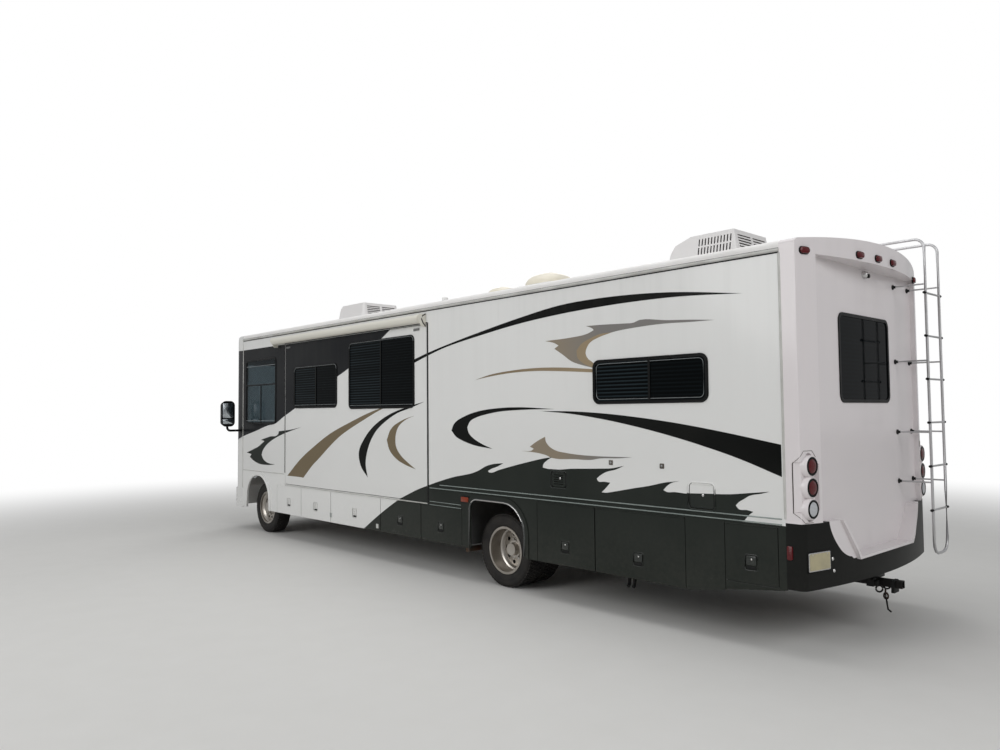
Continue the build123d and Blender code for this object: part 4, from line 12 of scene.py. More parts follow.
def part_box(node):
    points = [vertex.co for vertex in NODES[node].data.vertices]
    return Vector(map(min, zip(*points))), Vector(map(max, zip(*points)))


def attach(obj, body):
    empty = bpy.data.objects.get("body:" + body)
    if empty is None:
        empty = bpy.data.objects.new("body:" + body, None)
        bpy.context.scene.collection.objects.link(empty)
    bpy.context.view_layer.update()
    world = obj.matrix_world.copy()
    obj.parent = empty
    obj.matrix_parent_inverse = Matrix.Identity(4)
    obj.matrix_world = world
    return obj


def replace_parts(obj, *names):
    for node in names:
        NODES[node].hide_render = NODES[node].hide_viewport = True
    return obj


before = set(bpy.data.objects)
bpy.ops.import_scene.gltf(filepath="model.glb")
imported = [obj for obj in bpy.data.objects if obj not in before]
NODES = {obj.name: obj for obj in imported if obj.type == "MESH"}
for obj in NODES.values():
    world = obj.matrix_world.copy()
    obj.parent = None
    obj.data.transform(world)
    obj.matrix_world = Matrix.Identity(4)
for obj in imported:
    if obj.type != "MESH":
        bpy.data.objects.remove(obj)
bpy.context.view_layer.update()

bl_info = {
    "name": "Motorhome dressing",
    "version": (1, 0, 0),
    "blender": (4, 5, 0),
    "location": "View3D > Sidebar > Motorhome",
    "description": "Builds the visible finish of a motorhome round its CAD frame",
    "category": "Object",
}


def side_box(node):
    """Rear, front, foot and top of a node's box, to a tenth of a millimetre."""
    low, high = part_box(node)
    return tuple(round(v, 4) for v in (low.x, high.x, low.z, high.z))


def middle_x(node):
    """Place along the coach of the middle of a node's box."""
    rear, front, _, _ = side_box(node)
    return round((rear + front) / 2, 4)


def axle_height(rim):
    """Height of a rim's middle: its top less its radius."""
    rear, front, _, top = side_box(rim)
    return round(top - (front - rear) / 2, 4)


def grown(box, by):
    """A box (rear, front, foot, top) made larger on every side."""
    rear, front, foot, top = box
    return rear - by, front + by, foot - by, top + by


# Stations of the coach, in metres, from its frame
HALF_W = round(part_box("left_wall")[1].y, 4)
_, CAP_SEAM, FLOOR_TOP, ROOF_EDGE = side_box("left_wall")
AXLE_Z = axle_height("rim_front_left")
SLIDE = grown(side_box("slide_room"), 0.0075)
ENTRY_PANE = side_box("entry_glass")
# Openings of the side walls: rear, front, foot, top
CAB_WINDOW = (3.76, 4.86, 1.825, 2.90)
BED_WINDOW = (-4.295, -3.0, 2.05, 2.47)
LEFT_WINDOWS = {
    "cab": CAB_WINDOW,
    "bed": BED_WINDOW,
    "dinette": (1.865, 3.135, 2.07, 2.705),
    "sofa": (-0.015, 1.53, 2.045, 2.97),
}
RIGHT_WINDOWS = {"cab": CAB_WINDOW, "bed": BED_WINDOW, "lounge": (0.35, 1.895, 2.045, 2.705)}
ENTRY = (2.846, 3.504, 0.466, 2.854)
WATER_HATCH = (-2.611, -2.399, 1.184, 1.358)
POWER_HATCH = (-4.341, -4.079, 1.106, 1.338)
# Wheel arches: rear end, front end, top, front radius, rear radius
ARCHES = (
    (3.975, 4.795, 0.96, 0.38, 0.38),
    (-2.0, -1.09, 0.968, 0.13, 0.33),
)
MULLIONS = {"bed": -3.675, "dinette": 2.465, "sofa": 0.735}
UP, AHEAD, AFT = (0, 0, 1), (1, 0, 0), (-1, 0, 0)


def tone(red, green, blue):
    """A colour as a screen shows it, 0 to 255, as the linear values that a shader takes."""
    return tuple(((v / 255 + 0.055) / 1.055) ** 2.4 for v in (red, green, blue))


class CoachSizes(bpy.types.PropertyGroup):
    """Sizes that a user would change."""

    stripe_thickness: bpy.props.FloatProperty(
        name="Stripe thickness", description="How far the vinyl stripes stand off the paint",
        default=0.0008, min=0.0002, max=0.003, unit="LENGTH")
    moulding_height: bpy.props.FloatProperty(
        name="Moulding height", description="Height of the belt mouldings on the sides",
        default=0.011, min=0.005, max=0.05, unit="LENGTH")
    moulding_depth: bpy.props.FloatProperty(
        name="Moulding depth", description="How far a belt moulding stands proud",
        default=0.009, min=0.004, max=0.03, unit="LENGTH")
    blind_pitch: bpy.props.FloatProperty(
        name="Blind pitch", description="Distance from slat to slat of the window blinds",
        default=0.036, min=0.015, max=0.08, unit="LENGTH")
    tread_blocks: bpy.props.IntProperty(
        name="Tread blocks", description="Blocks in one row round a tyre",
        default=64, min=30, max=120)
    lug_circle: bpy.props.FloatProperty(
        name="Lug circle", description="Radius of the circle that the wheel nuts stand on",
        default=0.1125, min=0.08, max=0.16, unit="LENGTH")


class CoachColours(bpy.types.PropertyGroup):
    """Colours that a user would change."""

    gelcoat: bpy.props.FloatVectorProperty(
        name="Gelcoat", description="White of the walls and caps",
        default=tone(236, 236, 234), size=3, min=0, max=1, subtype="COLOR")
    skirt: bpy.props.FloatVectorProperty(
        name="Skirt", description="Dark green-black of the lower body",
        default=tone(33, 38, 35), size=3, min=0, max=1, subtype="COLOR")
    front_field: bpy.props.FloatVectorProperty(
        name="Front field", description="Charcoal field round the front windows",
        default=tone(20, 22, 26), size=3, min=0, max=1, subtype="COLOR")
    black_stripe: bpy.props.FloatVectorProperty(
        name="Black stripe", description="Black of the long stripes",
        default=tone(9, 11, 11), size=3, min=0, max=1, subtype="COLOR")
    brown_stripe: bpy.props.FloatVectorProperty(
        name="Brown stripe", description="Brown of the curved bands",
        default=tone(120, 106, 82), size=3, min=0, max=1, subtype="COLOR")
    grey_stripe: bpy.props.FloatVectorProperty(
        name="Grey stripe", description="Taupe grey of the torn splash",
        default=tone(122, 118, 112), size=3, min=0, max=1, subtype="COLOR")


def sizes():
    return bpy.context.scene.coach_sizes


def colours():
    return bpy.context.scene.coach_colours


# Node trees

class Wire:
    """A number on a node socket, so that a mask reads like arithmetic."""

    def __init__(self, tree, socket):
        self.tree, self.socket = tree, socket

    def math(self, operation, *others):
        node = self.tree.nodes.new("ShaderNodeMath")
        node.operation = operation
        for slot, value in zip(node.inputs, (self, *others)):
            feed(self.tree, slot, value)
        return Wire(self.tree, node.outputs[0])

    def __add__(self, other):
        return self.math("ADD", other)

    def __sub__(self, other):
        return self.math("SUBTRACT", other)

    def __mul__(self, other):
        return self.math("MULTIPLY", other)

    def above(self, limit, soft=0.002):
        """0 below the limit and 1 above it, turning over the soft distance."""
        node = self.tree.nodes.new("ShaderNodeMapRange")
        feed(self.tree, node.inputs["Value"], self - limit)
        node.inputs["From Min"].default_value = -soft
        node.inputs["From Max"].default_value = soft
        return Wire(self.tree, node.outputs[0])

    def below(self, limit, soft=0.002):
        return self.above(limit, soft).math("MULTIPLY_ADD", -1.0, 1.0)


def feed(tree, slot, value):
    """Links a wire or socket to an input, or sets a plain value on it."""
    if isinstance(value, Wire):
        value = value.socket
    if isinstance(value, bpy.types.NodeSocket):
        tree.links.new(value, slot)
    else:
        slot.default_value = value


def add_node(tree, kind, inputs=None, **properties):
    node = tree.nodes.new(kind)
    for label, value in properties.items():
        setattr(node, label, value)
    for label, value in (inputs or {}).items():
        feed(tree, node.inputs[label], value)
    return node


class Finish:
    """A Principled shader whose patterns are built on Object coordinates, in metres."""

    def __init__(self, name, constants):
        self.material = bpy.data.materials.new(name)
        self.material.use_nodes = True
        self.tree = self.material.node_tree
        self.shader = self.tree.nodes["Principled BSDF"]
        for label, value in constants.items():
            self.shader.inputs[label].default_value = (*value, 1.0) if isinstance(value, tuple) else value
        self.place = self.node("ShaderNodeTexCoord").outputs["Object"]
        split = self.node("ShaderNodeSeparateXYZ", {"Vector": self.place})
        self.x, self.y, self.z = (Wire(self.tree, out) for out in split.outputs)

    def node(self, kind, inputs=None, **properties):
        return add_node(self.tree, kind, inputs, **properties)

    def noise(self, scale, detail=3.0, stretch=(1.0, 1.0, 1.0)):
        """A soft random pattern from about 0.25 to 0.75, of that many cells a metre."""
        vector = self.node("ShaderNodeMapping", {"Vector": self.place, "Scale": stretch}).outputs[0]
        made = self.node("ShaderNodeTexNoise", {
            "Vector": vector, "Scale": scale, "Detail": detail, "Roughness": 0.55})
        return Wire(self.tree, made.outputs[0])

    def mix(self, share, first, second):
        """A colour between two others."""
        node = self.node("ShaderNodeMix", data_type="RGBA")
        for slot, value in zip((node.inputs[0], node.inputs[6], node.inputs[7]), (share, first, second)):
            feed(self.tree, slot, (*value, 1.0) if isinstance(value, (tuple, list)) else value)
        return node.outputs[2]

    def colour(self, socket):
        feed(self.tree, self.shader.inputs["Base Color"], socket)

    def rough(self, wire):
        feed(self.tree, self.shader.inputs["Roughness"], wire)

    def bump(self, height, distance, strength):
        node = self.node("ShaderNodeBump", {"Height": height, "Distance": distance, "Strength": strength})
        feed(self.tree, self.shader.inputs["Normal"], node.outputs[0])
        return self


def paint(name, body, dust=1.0, streaks=1.0, gloss=0.16, level=0.4):
    """Coach paint: body is a colour, or a function that builds one from the finish's own wires."""
    skin = Finish(name, {
        "Specular IOR Level": level, "Coat Weight": level * 0.35, "Coat Roughness": 0.06, "Coat IOR": 1.35})
    base = body(skin) if callable(body) else tuple(body)
    cloud = skin.noise(0.8, 2.0)
    grain = skin.noise(26.0, 4.0)
    run = skin.noise(1.0, 5.0, (7.0, 7.0, 0.35)).above(0.56, 0.09)
    high = skin.z.above(2.6, 0.75)
    low = skin.z.below(0.72, 0.36) * grain.above(0.5, 0.35)
    shade = skin.mix(cloud.above(0.5, 0.25) * 0.05, base, tone(150, 150, 142))
    shade = skin.mix(run * high * (0.045 * streaks), shade, tone(96, 92, 84))
    shade = skin.mix(low * (0.16 * dust), shade, tone(128, 122, 110))
    skin.colour(shade)
    skin.rough(cloud * 0.10 + low * (0.25 * dust) + (gloss - 0.03))
    skin.bump(skin.noise(1.1, 1.0) * 1.0 + grain * 0.03, 0.0035, 0.5)
    return skin.material


def front_field_low(skin):
    """Height of the lower edge of the charcoal field round the front cap."""
    return (skin.x - CAP_SEAM) * -0.32 + 1.60


def front_cap_colour(skin):
    inside = skin.z.above(front_field_low(skin)) * skin.z.below(3.093)
    return skin.mix(inside, tuple(colours().gelcoat), tuple(colours().front_field))


def wall_colour(skin):
    """White outside but dark round the hatches, near-black in the reveals, partly the seals' colour and
    partly painted shade in the gaps round the openings, and beige panels inside.
    """
    across = skin.y.math("ABSOLUTE")
    # The near-black of the reveals is partly the seals' colour and partly painted shade in the gaps
    lining_and_reveal_shade = skin.mix(across.above(1.2440), tone(168, 154, 132), tone(24, 25, 26))
    water = skin.x.above(-2.625) * skin.x.below(-2.385) * skin.z.below(1.375)
    power = skin.x.above(-4.36) * skin.x.below(-4.06) * skin.z.below(1.243)
    outer = skin.mix((water + power).math("MINIMUM", 1.0), tuple(colours().gelcoat), tuple(colours().skirt))
    return skin.mix(across.above(1.2818, 0.0004), lining_and_reveal_shade, outer)


def skirt_colour(skin):
    """White ahead of a curve that falls from the slide-out's rear corner, dark behind it."""
    fall = (skin.z * -1.0 + 1.07).math("MAXIMUM", 0.0)
    curve = fall.math("POWER", 0.5) * 1.1115 + fall * 0.938 - 0.3905
    ahead = skin.x.above(curve)
    return skin.mix(ahead, tuple(colours().skirt), tuple(colours().gelcoat))


def tail_colour(skin):
    """Dark bumper whose paint stops at the rounded edge of the white scoop."""
    depth = (skin.z * -1.0 + 1.065).math("MAXIMUM", 0.0)
    turn = (skin.z * -1.0 + 0.825).math("MAXIMUM", 0.0).math("MINIMUM", 0.07)
    corner = (turn * turn * -1.0 + 0.0049).math("MAXIMUM", 0.0).math("SQRT") - 0.07
    reach = depth * -0.164 + depth * depth * -1.85 + 0.964 + corner
    scoop = skin.y.math("ABSOLUTE").math("SUBTRACT", reach).below(0.0) * skin.z.above(0.735)
    return skin.mix(scoop * skin.x.below(-5.10), tone(23, 24, 24), tone(235, 230, 231))


def unit_colour(skin):
    """Pale shrouds of the roof units, with painted shade inside each slot."""
    lean = (skin.z - 3.535).math("MAXIMUM", 0.0) * 0.1944
    across = skin.y.math("ABSOLUTE")
    under = across * -1.0 - lean + 0.37
    slot_shade = under.above(0.006) * under.below(0.06) * skin.x.above(-4.006) * skin.x.below(-3.624)
    slot_shade = slot_shade * skin.z.above(3.55) * skin.z.below(3.735)
    for back in (2.595, -4.065):
        behind = skin.x - lean - back
        slot_shade = slot_shade + behind.above(0.006) * behind.below(0.06) * across.below(0.275) * skin.z.above(3.56)
    # The dark brown-grey inside each slot is painted shade, not the shroud's own colour
    return skin.mix(slot_shade.math("MINIMUM", 1.0), tone(232, 230, 229), tone(58, 50, 48))


def water_hatch_colour(skin):
    return skin.mix(skin.z.above(1.40), tuple(colours().skirt), tuple(colours().gelcoat))


def power_hatch_colour(skin):
    edge = (skin.x + 4.20) * -0.05 + 1.246
    return skin.mix(skin.z.above(edge), tuple(colours().skirt), tuple(colours().gelcoat))


def plastic(name, body, worn, rough=0.45, fine=220.0, relief=0.0004, spec=0.4):
    """Moulded plastic or rubber with a fine grain and a paler worn tone."""
    skin = Finish(name, {"Specular IOR Level": spec})
    wear = skin.noise(5.0, 4.0).above(0.52, 0.2)
    skin.colour(skin.mix(wear * 0.55, body, worn))
    skin.rough(wear * 0.15 + (rough - 0.05))
    skin.bump(skin.noise(fine, 2.0), relief, 0.6)
    return skin.material


def metal(name, body, worn, rough, metallic=1.0, relief=0.0003):
    """Metal with a fine brushed grain and dull patches."""
    skin = Finish(name, {"Metallic": metallic, "Specular IOR Level": 0.5})
    patch = skin.noise(3.0, 4.0).above(0.5, 0.25)
    brush = skin.noise(60.0)
    skin.colour(skin.mix(patch * 0.6, body, worn))
    skin.rough(patch * 0.18 + brush * 0.12 + (rough - 0.06))
    skin.bump(brush, relief, 0.5)
    return skin.material


def rusting(name, body, rust=0.5, rough=0.55, metallic=0.3):
    """Chassis steel: dark paint broken by rust and road dust."""
    skin = Finish(name, {"Metallic": metallic, "Specular IOR Level": 0.3})
    scab = skin.noise(7.0, 6.0).above(0.64 - 0.16 * rust, 0.08)
    dirt = skin.noise(2.2, 4.0).above(0.5, 0.3)
    shade = skin.mix(scab * 0.75, body, tone(98, 62, 40))
    skin.colour(skin.mix(dirt * (0.06 + 0.3 * rust), shade, tone(112, 102, 90)))
    skin.rough(scab * 0.3 + (rough - 0.05))
    skin.bump(skin.noise(38.0, 5.0), 0.0012, 0.7)
    return skin.material


def pane(name, body, clear, ior=1.22, rough=0.02):
    """Glass or a lens: tinted, with a faint film of dust that scatters light."""
    skin = Finish(name, {"Transmission Weight": clear, "IOR": ior})
    film = skin.noise(2.4, 4.0).above(0.5, 0.3)
    skin.colour(skin.mix(film * 0.25, body, tuple(min(1.0, 1.6 * v + 0.004) for v in body)))
    skin.rough(film * 0.03 + rough)
    return skin.material


def blind_glass(name):
    """Tinted panes that show the blinds behind them; the cab's panes are clear."""
    skin = Finish(name, {"IOR": 1.12, "Roughness": 0.03})
    pitch = sizes().blind_pitch
    slat = (skin.z * (1.0 / pitch)).math("FRACT").above(0.62, 0.16)
    drawn = skin.noise(1.0, 2.0, (0.6, 0.6, 9.0)).above(0.46, 0.12)
    shown = skin.x.above(MULLIONS["dinette"]) * skin.x.below(LEFT_WINDOWS["dinette"][1])
    for window, edge in (("sofa", 1.56), ("bed", -2.9)):
        shown = shown + skin.x.above(MULLIONS[window]) * skin.x.below(edge)
    lit = slat * (drawn * 0.5 + 0.5) * (shown.math("MINIMUM", 1.0) * 0.8 + 0.2)
    dark = skin.mix(lit, tone(6, 9, 10), tone(38, 47, 51))
    cab = skin.x.above(3.7, 0.01)
    skin.colour(skin.mix(cab, dark, tone(96, 108, 114)))
    feed(skin.tree, skin.shader.inputs["Transmission Weight"], cab * 0.92)
    return skin.material


def lens(name, body):
    """A ribbed signal lens."""
    skin = Finish(name, {"IOR": 1.4, "Coat Weight": 0.2, "Coat Roughness": 0.04})
    wave = skin.node("ShaderNodeTexWave", {"Vector": skin.place, "Scale": 30.0}, bands_direction="Z")
    rib = Wire(skin.tree, wave.outputs[1])
    skin.colour(skin.mix(rib * 0.5, body, tuple(0.55 * v for v in body)))
    skin.rough(rib * 0.08 + 0.08)
    return skin.bump(rib, 0.001, 0.5).material


def torn_vinyl(name, front, back, start, end):
    """Vinyl whose tone runs from one colour to another along the coach."""
    def tones(skin):
        share = skin.node("ShaderNodeMapRange", {"Value": skin.x, "From Min": start, "From Max": end})
        return skin.mix(share.outputs[0], tuple(front), tuple(back))
    return paint(name, tones, dust=0.0, streaks=0.0, level=0.25)


def tyre_rubber(name):
    skin = Finish(name, {"Specular IOR Level": 0.3})
    dust = skin.noise(9.0, 5.0).above(0.48, 0.22)
    skin.colour(skin.mix(dust * 0.35, tone(23, 22, 23), tone(74, 70, 64)))
    skin.rough(dust * 0.15 + 0.62)
    return skin.bump(skin.noise(160.0, 3.0), 0.0006, 0.7).material


def roof_membrane(name):
    skin = Finish(name, {"Specular IOR Level": 0.3})
    stain = skin.noise(1.6, 6.0).above(0.54, 0.16)
    fine = skin.noise(60.0, 4.0)
    skin.colour(skin.mix(stain * 0.12, tone(245, 243, 241), tone(170, 166, 156)))
    skin.rough(stain * 0.2 + 0.42)
    return skin.bump(fine, 0.0008, 0.5).material


def seat_cloth(name):
    skin = Finish(name, {"Sheen Weight": 0.35, "Sheen Roughness": 0.5, "Specular IOR Level": 0.15})
    checks = [
        Wire(skin.tree, skin.node("ShaderNodeTexWave", {"Vector": skin.place, "Scale": 110.0},
                                  bands_direction=axis).outputs[1])
        for axis in ("X", "Y", "Z")
    ]
    weave = checks[0] * checks[1] + checks[2] * 0.5
    mottle = skin.noise(14.0, 4.0)
    shade = skin.mix(weave.above(0.6, 0.4), tone(132, 116, 94), tone(168, 152, 126))
    skin.colour(skin.mix(mottle.above(0.52, 0.2) * 0.35, shade, tone(98, 86, 70)))
    skin.rough(weave * 0.1 + 0.75)
    return skin.bump(weave, 0.0012, 0.8).material


def floor_boards(name):
    skin = Finish(name, {"Specular IOR Level": 0.35})
    board = skin.node("ShaderNodeTexBrick", {
        "Vector": skin.place, "Color1": (*tone(142, 108, 74), 1.0), "Color2": (*tone(120, 88, 58), 1.0),
        "Mortar": (*tone(62, 46, 32), 1.0), "Scale": 1.0, "Mortar Size": 0.002, "Brick Width": 1.2,
        "Row Height": 0.12}, offset=0.37)
    vein = skin.noise(9.0, 6.0, (0.6, 8.0, 1.0))
    skin.colour(skin.mix(vein.above(0.5, 0.2) * 0.35, board.outputs[0], tone(88, 62, 40)))
    skin.rough(vein * 0.2 + 0.28)
    return skin.bump(vein, 0.0004, 0.4).material


FINISHES = {
    "gelcoat": lambda name: paint(name, colours().gelcoat),
    "wall_gelcoat": lambda name: paint(name, wall_colour),
    "cap_gelcoat": lambda name: paint(name, tone(235, 229, 230), dust=0.0, streaks=0.4, gloss=0.12),
    "pale_latch": lambda name: paint(name, tone(224, 224, 221), dust=0.3, streaks=0.0),
    "dark_latch": lambda name: paint(name, tone(36, 41, 38), dust=0.3, streaks=0.0, level=0.4),
    "arch_lip": lambda name: paint(name, tone(44, 48, 47), dust=0.2, streaks=0.0, gloss=0.1, level=0.9),
    # Pale grey lines: the cab windows' bars, and painted highlights along the window track and beads
    "bar_and_highlight_grey": lambda name: plastic(name, tone(136, 141, 142), tone(96, 101, 102), 0.3),
    "skirt_paint": lambda name: paint(name, skirt_colour, dust=0.5, streaks=0.0, level=0.10, gloss=0.16),
    "front_cap_paint": lambda name: paint(name, front_cap_colour, level=0.2),
    "tail_paint": lambda name: paint(name, tail_colour, dust=0.2, streaks=0.0, level=0.04, gloss=0.3),
    "water_hatch_paint": lambda name: paint(name, water_hatch_colour, level=0.14),
    "power_hatch_paint": lambda name: paint(name, power_hatch_colour, level=0.16),
    "front_field": lambda name: paint(name, colours().front_field, dust=0.0, level=0.08),
    "dark_vinyl": lambda name: paint(name, colours().skirt, dust=0.3, streaks=0.0, level=0.10),
    "black_vinyl": lambda name: paint(name, colours().black_stripe, dust=0.0, level=0.07),
    "brown_vinyl": lambda name: paint(name, colours().brown_stripe, dust=0.0, level=0.25),
    "grey_vinyl": lambda name: torn_vinyl(name, tone(130, 127, 124), tone(146, 134, 116), -3.1, -2.5),
    "tan_vinyl": lambda name: torn_vinyl(name, tone(160, 142, 114), tone(134, 118, 94), -3.1, -1.5),
    "roof_membrane": roof_membrane,
    "unit_plastic": lambda name: paint(name, unit_colour, dust=0.0, streaks=0.3, gloss=0.3),
    "vent_plastic": lambda name: paint(name, tone(240, 233, 215), dust=0.0, streaks=0.3, gloss=0.3),
    "black_frame": lambda name: plastic(name, tone(5, 6, 6), tone(12, 13, 13), 0.3, spec=0.16),
    "rubber_seal": lambda name: plastic(name, tone(16, 17, 18), tone(40, 39, 38), 0.6, spec=0.2),
    "pale_moulding": lambda name: plastic(name, tone(206, 206, 202), tone(150, 148, 142), 0.35),
    # The dark belt mouldings in a pale grey-green that is a painted highlight along their top edges
    "moulding_highlight_grey": lambda name: plastic(name, tone(150, 160, 156), tone(104, 112, 108), 0.28),
    "cab_trim": lambda name: plastic(name, tone(78, 72, 64), tone(104, 96, 86), 0.6, 160.0, 0.0008),
    "latch_black": lambda name: plastic(name, tone(14, 15, 15), tone(34, 34, 33), 0.45, spec=0.2),
    "awning_cloth": lambda name: paint(name, tone(226, 223, 212), dust=0.0, streaks=0.0, gloss=0.3),
    "tinted_panes": blind_glass,
    "cab_glass": lambda name: pane(name, tone(140, 150, 152), 0.95),
    "clear_lens": lambda name: pane(name, tone(225, 228, 230), 0.85, 1.45, 0.05),
    "red_lens": lambda name: lens(name, tone(94, 8, 16)),
    "reverse_lens": lambda name: lens(name, tone(206, 208, 212)),
    "amber_lens": lambda name: lens(name, tone(140, 50, 16)),
    "mirror_glass": lambda name: metal(name, tone(200, 206, 210), tone(180, 186, 192), 0.06, relief=0.0),
    "bright_steel": lambda name: metal(name, tone(214, 214, 214), tone(168, 162, 154), 0.2),
    "wheel_steel": lambda name: metal(name, tone(196, 192, 186), tone(140, 130, 118), 0.24),
    "ladder_tube": lambda name: metal(name, tone(206, 206, 208), tone(166, 164, 162), 0.36, metallic=0.75),
    "zinc_sheet": lambda name: metal(name, tone(150, 152, 152), tone(108, 106, 102), 0.45),
    "chassis_paint": lambda name: rusting(name, tone(18, 18, 19), 0.0),
    "cast_iron": lambda name: rusting(name, tone(62, 58, 54), 0.9),
    "exhaust_steel": lambda name: rusting(name, tone(70, 64, 58), 0.5, 0.5, 0.6),
    "tyre_rubber": tyre_rubber,
    "seat_cloth": seat_cloth,
    "floor_boards": floor_boards,
    "blank_plate": lambda name: plastic(name, tone(196, 186, 150), tone(150, 146, 128), 0.4),
}
MADE = {}


def finish(name):
    """The finish of that name, made when it is first asked for."""
    if name not in MADE:
        MADE[name] = FINISHES[name](name)
    return MADE[name]


def dress(surface, *nodes):
    """Gives a finish to CAD nodes, which keep their meshes as they are."""
    for node in nodes:
        mesh = NODES[node].data
        mesh.materials.clear()
        mesh.materials.append(finish(surface))


def keep(name, mesh, surface, body, smooth=None):
    """Links a finished mesh as one piece that rides on a body."""
    piece = bpy.data.objects.new(name, mesh)
    bpy.context.scene.collection.objects.link(piece)
    mesh.materials.clear()
    mesh.materials.append(finish(surface))
    if smooth is not None:
        mesh.shade_smooth()
        mesh.set_sharp_from_angle(angle=math.radians(smooth))
    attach(piece, body)
    return piece


def from_bmesh(shape):
    mesh = bpy.data.meshes.new("made")
    bmesh.ops.recalc_face_normals(shape, faces=shape.faces)
    shape.to_mesh(mesh)
    shape.free()
    return mesh


# Geometry Nodes

class Graph:
    """A Geometry Nodes tree with named inputs, written a node at a time."""

    def __init__(self, name, inputs):
        self.tree = bpy.data.node_groups.new(name, "GeometryNodeTree")
        face = self.tree.interface
        face.new_socket("Geometry", in_out="INPUT", socket_type="NodeSocketGeometry")
        self.keys = {}
        for label, (kind, value) in {**inputs, "Finish": ("Material", None)}.items():
            socket = face.new_socket(label, in_out="INPUT", socket_type="NodeSocket" + kind)
            if value is not None:
                socket.default_value = value
            self.keys[label] = socket.identifier
        face.new_socket("Geometry", in_out="OUTPUT", socket_type="NodeSocketGeometry")
        self.given = self.tree.nodes.new("NodeGroupInput").outputs
        self.result = self.tree.nodes.new("NodeGroupOutput").inputs[0]

    def node(self, kind, inputs=None, **properties):
        return add_node(self.tree, kind, inputs, **properties)

    def wire(self, label):
        return Wire(self.tree, self.given[label])

    def close(self, geometry, smooth=False):
        if smooth:
            geometry = self.node("GeometryNodeSetShadeSmooth", {"Geometry": geometry}).outputs[0]
        real = self.node("GeometryNodeRealizeInstances", {"Geometry": geometry}).outputs[0]
        last = self.node("GeometryNodeSetMaterial", {"Geometry": real, "Material": self.given["Finish"]})
        self.tree.links.new(last.outputs[0], self.result)
        return self


def settled(holder):
    """The object as its modifiers leave it."""
    bpy.context.view_layer.update()
    return holder.evaluated_get(bpy.context.evaluated_depsgraph_get())


def grow(graph, name, seed, surface, body, slot=None, **values):
    """Runs a tree on a seed mesh and keeps the result as one plain mesh on a body."""
    holder = bpy.data.objects.new(name + "_seed", seed)
    bpy.context.scene.collection.objects.link(holder)
    modifier = holder.modifiers.new(graph.tree.name, "NODES")
    modifier.node_group = graph.tree
    modifier[graph.keys["Finish"]] = finish(surface)
    for label, value in values.items():
        modifier[graph.keys[label]] = value
    mesh = bpy.data.meshes.new_from_object(settled(holder))
    holder.modifiers.remove(modifier)
    bpy.data.objects.remove(holder)
    return keep(name, mesh, surface, body)


def strip_graph():
    """A moulding, seal or rod: an oval section swept along every line of the seed."""
    graph = Graph("swept_strip", {"Across": ("Float", 0.012), "Deep": ("Float", 0.006)})
    lines = graph.node("GeometryNodeMeshToCurve", {"Mesh": graph.given["Geometry"]}).outputs[0]
    level = graph.node("GeometryNodeSetCurveNormal", {"Curve": lines}, mode="Z_UP").outputs[0]
    ring = graph.node("GeometryNodeCurvePrimitiveCircle", {"Resolution": 10, "Radius": 1.0})
    oval = graph.node("ShaderNodeCombineXYZ", {
        "X": graph.given["Deep"], "Y": graph.given["Across"], "Z": 1.0})
    section = graph.node("GeometryNodeTransform", {"Geometry": ring.outputs[0], "Scale": oval.outputs[0]})
    swept = graph.node("GeometryNodeCurveToMesh", {
        "Curve": level, "Profile Curve": section.outputs[0], "Fill Caps": True})
    return graph.close(swept.outputs[0], smooth=True)


def fastener_graph():
    """Screw heads, rivets or nuts on the seed's points, turned to face along each point's aim."""
    graph = Graph("fasteners", {
        "Radius": ("Float", 0.005), "Height": ("Float", 0.003), "Sides": ("Int", 10), "Seed": ("Int", 1)})
    height, radius = graph.wire("Height"), graph.wire("Radius")
    shank = graph.node("GeometryNodeMeshCylinder", {
        "Vertices": graph.given["Sides"], "Radius": radius, "Depth": height * 1.2})
    crown = graph.node("GeometryNodeMeshCone", {
        "Vertices": graph.given["Sides"], "Radius Top": radius * 0.62, "Radius Bottom": radius,
        "Depth": height * 0.4})
    lift = graph.node("ShaderNodeCombineXYZ", {"Z": height * 0.6})
    raised = graph.node("GeometryNodeTransform", {
        "Geometry": crown.outputs[0], "Translation": lift.outputs[0]})
    head = graph.node("GeometryNodeJoinGeometry")
    for part in (shank.outputs[0], raised.outputs[0]):
        graph.tree.links.new(part, head.inputs[0])
    aim = graph.node("GeometryNodeInputNamedAttribute", {"Name": "aim"}, data_type="FLOAT_VECTOR")
    facing = graph.node("FunctionNodeAlignRotationToVector", {"Vector": aim.outputs[0]}, axis="Z")
    spin = graph.node("FunctionNodeRandomValue", {"Min": 0.0, "Max": 6.28, "Seed": graph.given["Seed"]})
    turn = graph.node("FunctionNodeAxisAngleToRotation", {"Axis": (0, 0, 1), "Angle": spin.outputs[1]})
    both = graph.node("FunctionNodeRotateRotation", {
        "Rotation": facing.outputs[0], "Rotate By": turn.outputs[0]}, rotation_space="LOCAL")
    placed = graph.node("GeometryNodeInstanceOnPoints", {
        "Points": graph.given["Geometry"], "Instance": head.outputs[0], "Rotation": both.outputs[0]})
    return graph.close(placed.outputs[0])


# Rows of tread blocks: middle and size across, as shares of the tread's width
TREAD_ROWS = ((-0.41, 0.17), (-0.2, 0.19), (0.0, 0.17), (0.2, 0.19), (0.41, 0.17))


